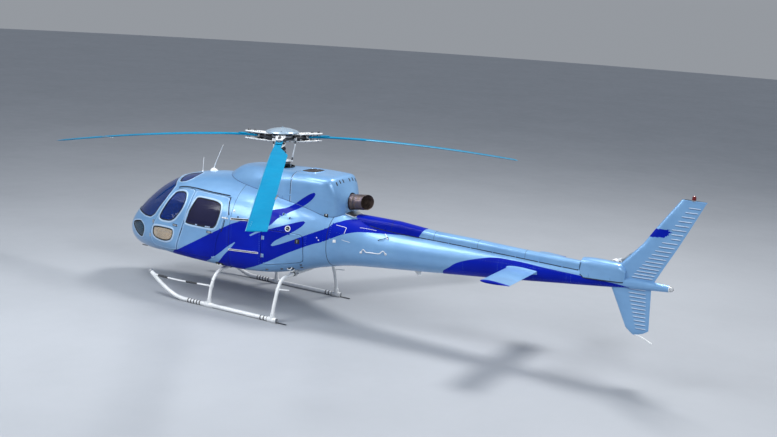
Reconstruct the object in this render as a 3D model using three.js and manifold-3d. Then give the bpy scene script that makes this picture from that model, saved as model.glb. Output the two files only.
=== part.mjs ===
// Light single-engine helicopter on skids: three-blade main rotor, two-blade tail
// rotor, hinged front doors, sliding rear doors, side luggage doors.
// Millimetres, +Z up, nose towards -Y, port side +X. Everything inside the
// "airframe" group is measured from the foot of the main mast (Y = 0 at the mast,
// Z = 0 at the ground); the group is then moved so that the origin is under the
// middle of the whole machine.
import * as THREE from 'three';
import { mergeVertices } from 'three/addons/utils/BufferGeometryUtils.js';
import Module from 'manifold-3d';

const wasm = await Module();
wasm.setup();

// ---------------------------------------------------------------- dimensions
const MAST_Y = -1130;          // mast station in the finished frame
const RING = 28;               // points round the fuselage
const WALL = 40;               // doors, cabin walls and roof
const COWL_WALL = 25;
const GLASS_IN = 6;            // glass sits this far inside the outer skin
const GLASS_T = 6;
const DOOR_GAP = 5;            // clearance round a door that opens
const LUGGAGE_GAP = 7;
const LIP = 12;                // a door's outer lip; behind it the edge steps in
const SEAM = 3;                // clearance round a fixed panel
const TOUCH = 0.4;             // gap between pieces that bear on each other
const FLOOR_Z = 930;           // top of the cabin floor
const BULKHEAD_Y = -420;       // rear wall of the cabin
const BOOM_Y = 1420;           // frame where the tail boom is bolted on
const BOOM_END = 7200;

const ROTOR_R = 5345;
const ROTOR_Z = 3065;          // hub centre height
const ROTOR_TILT = 1.1;        // degrees, forward
const BLADE_LEAD = 78;         // leading edge ahead of the pitch axis
const BLADE_TRAIL = 217;       // trailing edge behind it
const BLADE_DROOP = 585;       // sag of the tip of a parked blade
const BLADE_ANGLES = { near: 30, far: 150, nose: 270 };

const TAIL_R = 930;
const TAIL_HUB = [-350, 6225, 1790];
const TAIL_PARK = 24;          // degrees, blade raised towards the fin
const TAIL_CHORD = 185;

const SKID_X = 1075;
const SKID_R = 38;
const SKID_Z = 42;             // tube centre; flat wear shoes below it carry the machine
const SHOES = [{ y0: -1180, y1: -860 }, { y0: 420, y1: 755 }];
const HOOK_PAD = { half: 110, y: 60, z: 676 };
const CROSS_FRONT_Y = -700;
const CROSS_REAR_Y = 680;
const CROSS_R = 32;

// body sections: y, half width, bottom z, top z, z of greatest width,
// exponents of the lower and the upper half (2 = ellipse, more = squarer)
const BODY = [
  { y: -3330, w: 26, zb: 925, zt: 995, zm: 960, nb: 2.0, nt: 2.0 },
  { y: -3300, w: 165, zb: 825, zt: 1110, zm: 965, nb: 2.0, nt: 2.0 },
  { y: -3200, w: 320, zb: 725, zt: 1262, zm: 980, nb: 2.1, nt: 2.0 },
  { y: -3000, w: 500, zb: 640, zt: 1470, zm: 1030, nb: 2.2, nt: 2.05 },
  { y: -2750, w: 640, zb: 605, zt: 1700, zm: 1090, nb: 2.3, nt: 2.1 },
  { y: -2450, w: 755, zb: 612, zt: 1935, zm: 1160, nb: 2.6, nt: 2.1 },
  { y: -2100, w: 845, zb: 645, zt: 2125, zm: 1240, nb: 3.1, nt: 2.1 },
  { y: -1700, w: 900, zb: 680, zt: 2230, zm: 1300, nb: 4.6, nt: 2.15 },
  { y: -1200, w: 930, zb: 690, zt: 2298, zm: 1340, nb: 5.7, nt: 2.15 },
  { y: -600, w: 935, zb: 690, zt: 2310, zm: 1350, nb: 6.0, nt: 2.15 },
  { y: -100, w: 925, zb: 695, zt: 2270, zm: 1360, nb: 5.6, nt: 2.2 },
  { y: 400, w: 895, zb: 730, zt: 2180, zm: 1380, nb: 4.2, nt: 2.3 },
  { y: 800, w: 830, zb: 815, zt: 2110, zm: 1410, nb: 3.2, nt: 2.4 },
  { y: 1200, w: 710, zb: 915, zt: 2030, zm: 1440, nb: 2.7, nt: 2.4 },
  { y: 1600, w: 550, zb: 995, zt: 1930, zm: 1450, nb: 2.3, nt: 2.3 },
  { y: 2000, w: 410, zb: 1035, zt: 1810, zm: 1425, nb: 2.1, nt: 2.1 },
  { y: 2600, w: 335, zb: 1090, zt: 1765, zm: 1427, nb: 2.0, nt: 2.0 },
  { y: 3400, w: 285, zb: 1168, zt: 1745, zm: 1456, nb: 2.0, nt: 2.0 },
  { y: 4400, w: 222, zb: 1268, zt: 1725, zm: 1497, nb: 2.0, nt: 2.0 },
  { y: 5400, w: 162, zb: 1377, zt: 1705, zm: 1541, nb: 2.0, nt: 2.0 },
  { y: 6400, w: 105, zb: 1485, zt: 1695, zm: 1590, nb: 2.0, nt: 2.0 },
  { y: 7200, w: 50, zb: 1560, zt: 1662, zm: 1611, nb: 2.0, nt: 2.0 },
];

// cowl over the gearbox and the engine: y, half width, top z, exponent
const COWL = [
  { y: -1060, w: 90, zt: 2290, n: 2.0 },
  { y: -1000, w: 220, zt: 2340, n: 2.0 },
  { y: -900, w: 310, zt: 2412, n: 2.1 },
  { y: -760, w: 380, zt: 2490, n: 2.3 },
  { y: -560, w: 435, zt: 2542, n: 2.7 },
  { y: -300, w: 475, zt: 2556, n: 3.4 },
  { y: 100, w: 500, zt: 2554, n: 4.6 },
  { y: 700, w: 512, zt: 2562, n: 6.5 },
  { y: 1180, w: 492, zt: 2558, n: 6.8 },
  { y: 1300, w: 466, zt: 2550, n: 6.2 },
  { y: 1360, w: 440, zt: 2516, n: 5.0 },
  { y: 1420, w: 400, zt: 2430, n: 3.8 },
  { y: 1480, w: 320, zt: 2336, n: 2.9 },
  { y: 1530, w: 225, zt: 2258, n: 2.4 },
];
// lower edge of the cowl in side view, (y, z), from front to rear
const COWL_EDGE = [[-1200, 2100], [-400, 2100], [213, 2100], [652, 2010], [1330, 1838], [1400, 1872], [1480, 1962], [1560, 2040]];
const COWL_BASE = 1700;
const COWL_SPLIT = 562;        // seam between gearbox cowl and engine cowl

// drive shaft cover on top of the boom: y, half width, top z
const SHAFT_COVER = [
  { y: 1700, w: 165, zt: 1925 },
  { y: 2500, w: 140, zt: 1920 },
  { y: 3200, w: 115, zt: 1862 },
  { y: 3900, w: 104, zt: 1852 },
  { y: 4700, w: 96, zt: 1826 },
  { y: 5780, w: 90, zt: 1806 },
];
// fairing over the tail gearbox: y, half width, top z
const TAIL_FAIRING = [
  { y: 5800, w: 125, zt: 1872 },
  { y: 5950, w: 140, zt: 1885 },
  { y: 6250, w: 145, zt: 1885 },
  { y: 6430, w: 125, zt: 1872 },
  { y: 6520, w: 85, zt: 1800 },
];

// outlines in side view, (y, z)
const FRONT_DOOR = [[-1803, 1961], [-1583, 2004], [-1366, 2010], [-1374, 1859], [-1415, 1589], [-1468, 1398], [-1566, 1130],
  [-1630, 952], [-1642, 845], [-2066, 815], [-2262, 815], [-2334, 880], [-2350, 1010], [-2312, 1147], [-2250, 1255],
  [-2150, 1430], [-2010, 1667], [-1887, 1863]];
const FRONT_WINDOW = [[-1816, 1909], [-1639, 1943], [-1542, 1918], [-1499, 1796], [-1539, 1627], [-1728, 1389], [-2040, 1369],
  [-2098, 1422], [-1985, 1640], [-1890, 1818]];
const LOWER_WINDOW = [[-2218, 1229], [-1735, 1253], [-1706, 1186], [-1760, 1035], [-1949, 973], [-2200, 990], [-2268, 1053], [-2262, 1160]];
const SLIDE_DOOR = [[-1349, 2010], [-1070, 2003], [-560, 1992], [-540, 1891], [-505, 1783], [-479, 1672], [-554, 1632], [-583, 1479],
  [-673, 1251], [-705, 1100], [-708, 991], [-728, 850], [-1624, 845], [-1612, 952], [-1549, 1130], [-1451, 1398], [-1397, 1589], [-1357, 1859]];
const SLIDE_WINDOW = [[-1269, 1873], [-1225, 1903], [-700, 1889], [-657, 1704], [-725, 1420], [-949, 1405], [-1385, 1408], [-1418, 1440], [-1362, 1638]];
const CARGO_DOOR = [[260, 1530], [305, 1570], [975, 1565], [1025, 1520], [1040, 1373], [1032, 1120], [980, 1050], [330, 930], [265, 960]];
const WINDSHIELD = [[-1940, 1985], [-1965, 1880], [-2045, 1721], [-2157, 1551], [-2228, 1440], [-2348, 1361], [-2530, 1352],
  [-2775, 1378], [-2950, 1380], [-3400, 1380], [-3400, 1900], [-2700, 2300], [-2160, 2330], [-2100, 2110]];
const CHIN_WINDOW = [[-3040, 1110], [-2936, 1165], [-2800, 1205], [-2657, 1228], [-2545, 1160], [-2530, 1071], [-2640, 905], [-2790, 925],
  [-2907, 1010]];
// outline from above, (x, y)
const ROOF_WINDOW = [[150, -1960], [280, -1995], [480, -1935], [500, -1752], [431, -1644], [235, -1589], [150, -1630]];

// ------------------------------------------------------------------- helpers
const group = new THREE.Group();
const airframe = new THREE.Group();
airframe.position.set(0, MAST_Y, 0);
group.add(airframe);

const V = (x, y, z) => new THREE.Vector3(x, y, z);
const rad = (d) => d * Math.PI / 180;

function paint(color, rough, metal, alpha) {
  const m = new THREE.MeshStandardMaterial({ color, roughness: rough, metalness: metal });
  if (alpha) { m.transparent = true; m.opacity = alpha; }
  return m;
}
const silver = () => paint(0x9fb0c4, 0.35, 0.6);
const navy = () => paint(0x1b2f86, 0.35, 0.2);
const white = () => paint(0xd8dadc, 0.45, 0.1);
const grey = () => paint(0x8d9297, 0.5, 0.4);
const dark = () => paint(0x23262b, 0.6, 0.2);
const cloth = () => paint(0x8f8d88, 0.9, 0);
const glassy = () => paint(0x9fb8c0, 0.05, 0, 0.35);
const steel = () => paint(0x80716a, 0.4, 0.9);

function add(name, geo, material, parent = airframe) {
  const g = geo instanceof THREE.BufferGeometry ? geo : toGeometry(geo);
  const mesh = new THREE.Mesh(g, material);
  mesh.name = name;
  parent.add(mesh);
  return mesh;
}

function clean(geo) {
  let g = geo.clone();
  for (const a of Object.keys(g.attributes)) if (a !== 'position') g.deleteAttribute(a);
  return mergeVertices(g, 1e-3);
}
function toSolid(geo) {
  const g = clean(geo);
  return new wasm.Manifold(new wasm.Mesh({
    numProp: 3,
    vertProperties: new Float32Array(g.attributes.position.array),
    triVerts: new Uint32Array(g.index.array),
  }));
}
function toGeometry(solid) {
  const mesh = solid.getMesh();
  const g = new THREE.BufferGeometry();
  g.setAttribute('position', new THREE.BufferAttribute(new Float32Array(mesh.vertProperties), 3));
  g.setIndex(new THREE.BufferAttribute(new Uint32Array(mesh.triVerts), 1));
  g.computeVertexNormals();
  return g;
}
// closed body through rings of equal length, ends closed at their middles
function loft(rings) {
  const n = rings[0].length, pts = [], idx = [];
  for (const r of rings) for (const p of r) pts.push(p.x, p.y, p.z);
  for (let i = 0; i + 1 < rings.length; i++) for (let j = 0; j < n; j++) {
    // diagonals mirror each other on the two sides
    const a = i * n + j, b = i * n + (j + 1) % n, c = a + n, d = b + n;
    if (rings[i][j].x + rings[i][(j + 1) % n].x >= 0) idx.push(a, b, c, b, d, c);
    else idx.push(a, b, d, a, d, c);
  }
  const cap = (r, base, flip) => {
    const m = r.reduce((s, p) => s.add(p), V(0, 0, 0)).divideScalar(n);
    const k = pts.length / 3;
    pts.push(m.x, m.y, m.z);
    for (let j = 0; j < n; j++) {
      const a = base + j, b = base + (j + 1) % n;
      if (flip) idx.push(k, a, b); else idx.push(k, b, a);
    }
  };
  cap(rings[0], 0, false);
  cap(rings[rings.length - 1], (rings.length - 1) * n, true);
  const g = new THREE.BufferGeometry();
  g.setAttribute('position', new THREE.Float32BufferAttribute(pts, 3));
  g.setIndex(idx);
  return outward(g);
}
// turn a closed mesh inside out if its volume comes out negative
function outward(g) {
  const p = g.attributes.position, ix = g.index.array;
  let v = 0;
  const a = V(), b = V(), c = V();
  for (let i = 0; i < ix.length; i += 3) {
    a.fromBufferAttribute(p, ix[i]); b.fromBufferAttribute(p, ix[i + 1]); c.fromBufferAttribute(p, ix[i + 2]);
    v += a.dot(b.clone().cross(c));
  }
  if (v < 0) for (let i = 0; i < ix.length; i += 3) { const t = ix[i]; ix[i] = ix[i + 1]; ix[i + 1] = t; }
  return g;
}
// smooth value between table rows (Catmull-Rom on y)
function rowAt(table, y) {
  const n = table.length;
  let i = 0;
  while (i < n - 2 && y > table[i + 1].y) i++;
  const r = [table[Math.max(i - 1, 0)], table[i], table[i + 1], table[Math.min(i + 2, n - 1)]];
  const t = (y - r[1].y) / (r[2].y - r[1].y);
  const out = { y };
  for (const k of Object.keys(r[1])) {
    if (k === 'y') continue;
    const slope = (p, q) => (q.y === p.y ? 0 : (q[k] - p[k]) / (q.y - p.y));
    const d = r[2].y - r[1].y;
    const s0 = slope(r[0], r[2]) * d, s1 = slope(r[1], r[3]) * d;
    const t2 = t * t, t3 = t2 * t;
    out[k] = (2 * t3 - 3 * t2 + 1) * r[1][k] + (t3 - 2 * t2 + t) * s0 + (-2 * t3 + 3 * t2) * r[2][k] + (t3 - t2) * s1;
  }
  return out;
}
function bodyRing(y, inset = 0) {
  // inside surfaces take the section a little further forward at the nose
  const ahead = inset * Math.max(0, Math.min(1, (-1700 - y) / 1500));
  const r = rowAt(BODY, Math.max(BODY[0].y, y - ahead));
  const w = Math.max(2, r.w - inset), ring = [];
  const up = Math.max(2, r.zt - inset - r.zm), dn = Math.max(2, r.zm - r.zb - inset);
  for (let j = 0; j < RING; j++) {
    const a = 2 * Math.PI * (j + 0.5) / RING, c = Math.cos(a), s = Math.sin(a);
    const n = s >= 0 ? r.nt : r.nb;
    const x = w * Math.sign(c) * Math.abs(c) ** (2 / n);
    const z = s >= 0 ? up * s ** (2 / n) : -dn * (-s) ** (2 / n);
    ring.push(V(x, y, r.zm + z));
  }
  return ring;
}
const BODY_Y = [-3330, -3295, -3200, -3050, -2850, -2600, -2300, -2000, -1650, -1200, -600, -100, 300, 700, 1050, 1420];
const BOOM_STATIONS = [1420, 1650, 1950, 2400, 3400, 5200, BOOM_END];
const bodyLoft = (inset, ys = BODY_Y) => toSolid(loft(ys.map((y) => bodyRing(y, inset))));

function cowlRing(y, inset = 0) {
  const r = rowAt(COWL, y), ring = [], half = 16;
  for (let j = 0; j <= half; j++) {
    const a = Math.PI * j / half, c = Math.cos(a), s = Math.sin(a);
    ring.push(V((r.w - inset) * Math.sign(c) * Math.abs(c) ** (2 / r.n), y,
      2060 + (r.zt - inset - 2060) * s ** (2 / r.n)));
  }
  ring.push(V(-(r.w - inset) * 1.04, y, COWL_BASE), V((r.w - inset) * 1.04, y, COWL_BASE));
  return ring;
}
function hoodRing(r, base, half = 8, n = 2.6) {
  const ring = [];
  for (let j = 0; j <= half; j++) {
    const a = Math.PI * j / half, c = Math.cos(a), s = Math.sin(a);
    ring.push(V(r.w * Math.sign(c) * Math.abs(c) ** (2 / n), r.y, r.zt - r.w * 0.9 + r.w * 0.9 * s ** (2 / n)));
  }
  ring.push(V(-r.w * 1.05, r.y, base), V(r.w * 1.05, r.y, base));
  return ring;
}

// flat outline grown (+) or shrunk (-) by d
function grow(poly, d) {
  let area = 0;
  poly.forEach((p, i) => { const q = poly[(i + 1) % poly.length]; area += p[0] * q[1] - q[0] * p[1]; });
  const s = area > 0 ? 1 : -1, n = poly.length;
  return poly.map((p, i) => {
    const a = poly[(i + n - 1) % n], b = poly[(i + 1) % n];
    const u = new THREE.Vector2(p[0] - a[0], p[1] - a[1]).normalize(), v = new THREE.Vector2(b[0] - p[0], b[1] - p[1]).normalize();
    const n1 = new THREE.Vector2(u.y * s, -u.x * s), n2 = new THREE.Vector2(v.y * s, -v.x * s);
    const m = n1.clone().add(n2), k = d / (1 + n1.dot(n2));
    return [p[0] + m.x * k, p[1] + m.y * k];
  });
}
const shapeOf = (poly) => new THREE.Shape(poly.map((p) => new THREE.Vector2(p[0], p[1])));
const basis = (x, y, z) => new THREE.Matrix4().makeBasis(x, y, z);
// outline (y, z) drawn out along X from x0 to x1
function prismX(poly, x0, x1) {
  const g = new THREE.ExtrudeGeometry(shapeOf(poly), { depth: x1 - x0, bevelEnabled: false });
  g.applyMatrix4(basis(V(0, 1, 0), V(0, 0, 1), V(1, 0, 0)));
  g.translate(x0, 0, 0);
  return toSolid(g);
}
// outline (x, y) drawn out along Z from z0 to z1
function prismZ(poly, z0, z1) {
  const g = new THREE.ExtrudeGeometry(shapeOf(poly), { depth: z1 - z0, bevelEnabled: false });
  g.translate(0, 0, z0);
  return toSolid(g);
}
function block(x0, x1, y0, y1, z0, z1) {
  const g = new THREE.BoxGeometry(x1 - x0, y1 - y0, z1 - z0);
  g.translate((x0 + x1) / 2, (y0 + y1) / 2, (z0 + z1) / 2);
  return toSolid(g);
}
function rod(a, b, r, sides = 12, r2 = r) {
  const d = b.clone().sub(a), g = new THREE.CylinderGeometry(r2, r, d.length(), sides);
  g.applyQuaternion(new THREE.Quaternion().setFromUnitVectors(V(0, 1, 0), d.clone().normalize()));
  const m = a.clone().add(b).multiplyScalar(0.5);
  g.translate(m.x, m.y, m.z);
  return toSolid(g);
}
// round tube along a smooth line through the points
function bentTube(points, r, steps, sides = 12) {
  const shape = new THREE.Shape();
  for (let i = 0; i < sides; i++) {
    const a = 2 * Math.PI * (i + 0.5) / sides;
    if (i) shape.lineTo(r * Math.cos(a), r * Math.sin(a)); else shape.moveTo(r * Math.cos(a), r * Math.sin(a));
  }
  const path = new THREE.CatmullRomCurve3(points.map((p) => V(...p)), false, 'centripetal');
  return toSolid(new THREE.ExtrudeGeometry(shape, { steps, extrudePath: path, bevelEnabled: false }));
}
function mirror(solid) {
  const mesh = solid.getMesh(), v = new Float32Array(mesh.vertProperties), t = new Uint32Array(mesh.triVerts);
  for (let i = 0; i < v.length; i += 3) v[i] = -v[i];
  for (let i = 0; i < t.length; i += 3) { const k = t[i]; t[i] = t[i + 1]; t[i + 1] = k; }
  return new wasm.Manifold(new wasm.Mesh({ numProp: 3, vertProperties: v, triVerts: t }));
}
function pair(name, solid, material) {
  add(name + '_left', solid, material());
  add(name + '_right', mirror(solid), material());
}

// ------------------------------------------------------ cabin, doors, windows
const outer = bodyLoft(0);
const inner = bodyLoft(WALL);
const roomZ = (z) => block(-1200, 1200, -4000, BULKHEAD_Y - 30, z, 3000);
const room = inner.intersect(roomZ(FLOOR_Z));
const skin = outer.subtract(room);
const glassBand = bodyLoft(GLASS_IN).subtract(bodyLoft(GLASS_IN + GLASS_T));

const cabinHalf = outer.intersect(block(-1200, 1200, -4000, BULKHEAD_Y - TOUCH, 0, 3000)).subtract(room);
let cabin = cabinHalf;

// one side of openings is cut on +X, then mirrored
const cutBoth = (solid, tool) => solid.subtract(tool).subtract(mirror(tool));
cabin = cutBoth(cabin, prismX(grow(FRONT_DOOR, DOOR_GAP), 400, 1200));
cabin = cutBoth(cabin, prismX(grow(SLIDE_DOOR, SEAM), 400, 1200));
cabin = cutBoth(cabin, prismX(WINDSHIELD, 28, 1200));
cabin = cutBoth(cabin, prismX(CHIN_WINDOW, 240, 1200));
cabin = cutBoth(cabin, prismZ(ROOF_WINDOW, 1500, 3000));
add('cabin_shell', cabin, silver());

const pane = (poly, x0) => glassBand.intersect(prismX(grow(poly, -1), x0, 1200));
pair('windshield', pane(WINDSHIELD, 29), glassy);
pair('chin_window', pane(CHIN_WINDOW, 241), glassy);
pair('roof_window', glassBand.intersect(prismZ(grow(ROOF_WINDOW, -1), 1500, 3000)), glassy);

// inner part of a hinged door, narrower than its lip, so that the edge swings free
const stepIn = (door, poly, d) => door.subtract(bodyLoft(LIP).subtract(prismX(grow(poly, -d), 200, 1300)));
const doorOf = (poly, ...windows) => {
  let d = skin.intersect(prismX(poly, 400, 1200)).subtract(inner);
  for (const w of windows) d = d.subtract(prismX(w, 300, 1300));
  return d;
};
pair('front_door', stepIn(doorOf(FRONT_DOOR, FRONT_WINDOW, LOWER_WINDOW), FRONT_DOOR, 9), silver);
pair('front_door_window', pane(FRONT_WINDOW, 400), glassy);
pair('front_door_lower_window', pane(LOWER_WINDOW, 400), glassy);
pair('sliding_door', doorOf(SLIDE_DOOR, SLIDE_WINDOW), silver);
pair('sliding_door_window', pane(SLIDE_WINDOW, 400), glassy);

// ------------------------------------------------------------- rear fuselage
const rearOuter = outer.intersect(block(-1200, 1200, BULKHEAD_Y, BOOM_Y - TOUCH, 0, 3000));
const hold = bodyLoft(WALL - 6).intersect(prismX(grow(CARGO_DOOR, -25), 330, 1200));
const cargoCut = prismX(grow(CARGO_DOOR, LUGGAGE_GAP), 600, 1200).subtract(inner);
let rear = rearOuter;
rear = cutBoth(rear, hold);
rear = cutBoth(rear, cargoCut);
// rails that the sliding doors run back on
const railBar = (y0, z0, y1, z1, h) => {
  const ring = (y, z) => {
    const r = rowAt(BODY, y), k = (z - r.zm) / (z > r.zm ? r.zt - r.zm : r.zm - r.zb);
    const x = r.w * (1 - Math.abs(k) ** (z > r.zm ? r.nt : r.nb)) ** (1 / (z > r.zm ? r.nt : r.nb));
    return [V(x - 30, y, z - h), V(x + 14, y, z - h), V(x + 14, y, z + h), V(x - 30, y, z + h)];
  };
  const rings = [];
  for (let i = 0; i <= 4; i++) rings.push(ring(y0 + (y1 - y0) * i / 4, z0 + (z1 - z0) * i / 4));
  return toSolid(loft(rings));
};
const rails = railBar(BULKHEAD_Y + 2, 1645, 230, 1700, 16).add(railBar(BULKHEAD_Y + 2, 1106, 213, 1131, 12));
rear = rear.add(rails).add(mirror(rails));
// flat pad under the belly, below the mast, for a load hook
const hp = HOOK_PAD;
rear = rear.add(block(-hp.half, hp.half, hp.y - hp.half, hp.y + hp.half, hp.z, hp.z + 80));
add('rear_fuselage', rear, silver());
pair('cargo_door', stepIn(outer.subtract(bodyLoft(WALL - 2)).intersect(prismX(CARGO_DOOR, 600, 1200)), CARGO_DOOR, 15), silver);

// ---------------------------------------------------------------- cowl, engine
const cowlY = [-1060, -1000, -900, -760, -560, -300, 100, 700, 1180, 1300, 1360, 1420, 1480, 1530];
const cowlOuter = toSolid(loft(cowlY.map((y) => cowlRing(y))));
const cowlInner = toSolid(loft([-940, -860, -760, -560, -300, 100, 700, 1180, 1288, 1345, 1402, 1458, 1504].map((y) => cowlRing(y, COWL_WALL))));
const seat = bodyLoft(-TOUCH, [...BODY_Y.slice(0, -1), 1420, 1600, 1800]);
const rearCut = prismX([...COWL_EDGE, [1600, 1500], [-1200, 1500]], -1200, 1200);
const mastHole = rod(V(0, 12, 2000), V(0, -20, 2700), 235, 20);
const cowlShell = cowlOuter.subtract(cowlInner).subtract(seat).subtract(rearCut).subtract(mastHole);
add('transmission_cowl', cowlShell.intersect(block(-1200, 1200, -2000, COWL_SPLIT - SEAM / 2, 1000, 3000)), silver());
add('engine_cowl', cowlShell.subtract(rod(V(0, 1350, 2113), V(0, 1800, 2150), 158, 24)).intersect(block(-1200, 1200, COWL_SPLIT + SEAM / 2, 3000, 1000, 3000)), silver());

// main gearbox with the fixed mast housing on top; turbine behind it
const mastDir = V(0, -Math.sin(rad(ROTOR_TILT)), Math.cos(rad(ROTOR_TILT)));
const onMast = (z) => V(0, 0, ROTOR_Z).addScaledVector(mastDir, (z - ROTOR_Z) / mastDir.z);
add('main_gearbox', block(-230, 230, -330, 250, 2200, 2400).add(rod(onMast(2380), onMast(2520), 150, 16, 95)).subtract(seat), grey());
add('engine_block', block(-215, 215, 330, 1260, 1900, 2400).subtract(seat), grey());

const lathe = (profile, segs) => {
  const g = new THREE.LatheGeometry(profile.map((p) => new THREE.Vector2(p[0], p[1])), segs);
  return toSolid(outward(clean(g)));
};
// jet pipe: profile (radius, distance along the pipe)
const pipe = lathe([[0, 0], [120, 0], [138, 40], [138, 330], [122, 480], [114, 600], [107, 600], [115, 480], [130, 330], [130, 30], [0, 30]], 18);
function place(solid, at, dir) {
  const g = toGeometry(solid);
  g.applyQuaternion(new THREE.Quaternion().setFromUnitVectors(V(0, 1, 0), dir.clone().normalize()));
  g.translate(at.x, at.y, at.z);
  return toSolid(g);
}
add('exhaust_pipe', place(pipe, V(0, 1300, 2095), V(0, 1, 0.11)).subtract(seat), steel());

// ------------------------------------------------------------------ tail boom
const boom = toSolid(loft(BOOM_STATIONS.map((y) => bodyRing(y))));
add('tail_boom', boom, silver());
const boomSeat = toSolid(loft(BOOM_STATIONS.map((y) => bodyRing(y, -TOUCH))));
const cover = toSolid(loft(SHAFT_COVER.map((r) => hoodRing(r, 1600))));
add('drive_shaft_cover', cover.subtract(boomSeat), silver());
const fairing = toSolid(loft(TAIL_FAIRING.map((r) => hoodRing(r, 1600))));
add('tail_gearbox_fairing', fairing.subtract(boomSeat), silver());

// fins: z, leading edge y, trailing edge y, greatest thickness
const UPPER_FIN = [
  { z: 1590, f: 6170, r: 6915, t: 96 },
  { z: 1885, f: 6413, r: 7065, t: 92 },
  { z: 2250, f: 6725, r: 7250, t: 84 },
  { z: 2540, f: 6907, r: 7388, t: 76 },
  { z: 3016, f: 7232, r: 7604, t: 62 },
];
const LOWER_FIN = [
  { z: 1590, f: 6248, r: 6922, t: 92 },
  { z: 1471, f: 6306, r: 6929, t: 90 },
  { z: 883, f: 6592, r: 6957, t: 56 },
  { z: 832, f: 6655, r: 6880, t: 44 },
  { z: 790, f: 6712, r: 6770, t: 26 },
];
const finSection = [[0, 0], [0.05, 0.5], [0.25, 1], [0.6, 0.85], [1, 0.08]];
function fin(rows, extra = 0) {
  const ring = ({ z, f, r, t }) => {
    const at = ([u, h], side) => V(side * (h * t / 2 + (h ? extra : 0)), f - extra + (r - f + 2 * extra) * u, z);
    return finSection.map((q) => at(q, 1)).concat(finSection.slice(1).reverse().map((q) => at(q, -1)));
  };
  return toSolid(loft(rows.map(ring)));
}
const fairingSeat = toSolid(loft(TAIL_FAIRING.map((r) => hoodRing({ y: r.y, w: r.w + TOUCH, zt: r.zt + TOUCH }, 1500)).concat([
  hoodRing({ y: 6521, w: 85, zt: 1800 }, 1500)])));
add('upper_fin', fin(UPPER_FIN).subtract(boomSeat).subtract(fairingSeat), silver());
add('lower_fin', fin(LOWER_FIN).subtract(boomSeat), silver());
// horizontal stabiliser: flat aerofoil right through the boom
const stabSection = [[0, 0], [0.05, 0.5], [0.25, 1], [0.6, 0.8], [1, 0.08]];
function stabRing(x) {
  const c = 486, y0 = 4607, t = 56;
  const top = stabSection.map(([u, h]) => V(x, y0 + c * u, 1520 + h * t / 2));
  const low = stabSection.slice(1).reverse().map(([u, h]) => V(x, y0 + c * u, 1520 - h * t / 2));
  return top.concat(low);
}
const stab = toSolid(loft([-1265, 0, 1265].map(stabRing)));
add('stabilizer_left', stab.subtract(boomSeat).intersect(block(0, 1400, 4000, 6000, 1000, 2000)), silver());
add('stabilizer_right', stab.subtract(boomSeat).intersect(block(-1400, 0, 4000, 6000, 1000, 2000)), silver());
const lamp = lathe([[0, 0], [48, 0], [44, 40], [28, 62], [0, 70]], 16);
add('tail_light', place(lamp, V(0, BOOM_END + TOUCH, 1611), V(0, 1, 0)), white());
add('tail_skid', bentTube([[0, 6735, 800], [0, 6790, 788], [0, 6900, 752], [0, 7030, 694]], 12, 6, 8).subtract(fin(LOWER_FIN, TOUCH)), grey());

// --------------------------------------------------------------- landing gear
// arched cross tubes: outer half of each, (x, z), from the skid inwards
const ARCH_FRONT = [[1070, 90], [1056, 200], [1012, 380], [925, 540], [790, 628], [600, 652]];
const ARCH_REAR = [[1070, 90], [1050, 220], [990, 420], [916, 600], [812, 714], [560, 744]];
const cross = (y, arch, extra = 0) => {
  const half = arch.map(([x, z], i) => [x, y, i ? z : z - 2 * extra]);
  const all = [...half, [0, y, arch[5][1]], ...half.slice().reverse().map((p) => [-p[0], p[1], p[2]])];
  return bentTube(all, CROSS_R + extra, 18, 8);
};
const toe = (extra) => bentTube([[SKID_X, -1280, SKID_Z], [SKID_X, -1420, 64], [SKID_X, -1600, 131], [SKID_X, -1800, 240], [SKID_X, -2070, 440]],
  SKID_R - 0.5 + extra, 8, 12);
const saddle = (y) => rod(V(SKID_X, y - 90, SKID_Z + 8), V(SKID_X, y + 90, SKID_Z + 8), SKID_R + 10, 12)
  .intersect(block(0, 2000, y - 100, y + 100, 26, 200));
let skid = rod(V(SKID_X, -1290, SKID_Z), V(SKID_X, 760, SKID_Z), SKID_R, 12).add(toe(0))
  .add(block(SKID_X - 18, SKID_X + 18, 700, 980, 8, 16))
  .add(saddle(CROSS_FRONT_Y)).add(saddle(CROSS_REAR_Y));
for (const { y0, y1 } of SHOES) skid = skid.add(block(SKID_X - 21, SKID_X + 21, y0, y1, 0, 14));
skid = skid.subtract(cross(CROSS_FRONT_Y, ARCH_FRONT, TOUCH)).subtract(cross(CROSS_REAR_Y, ARCH_REAR, TOUCH));
pair('skid', skid, white);
add('front_cross_tube', cross(CROSS_FRONT_Y, ARCH_FRONT), white());
add('rear_cross_tube', cross(CROSS_REAR_Y, ARCH_REAR), white());
pair('boarding_step', bentTube([[SKID_X, -1985, 385], [1072, -1900, 378], [1055, -1500, 362], [1018, -735, 378]], 16, 6, 8)
  .subtract(toe(TOUCH)).subtract(cross(CROSS_FRONT_Y, ARCH_FRONT, TOUCH)), white);

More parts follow.
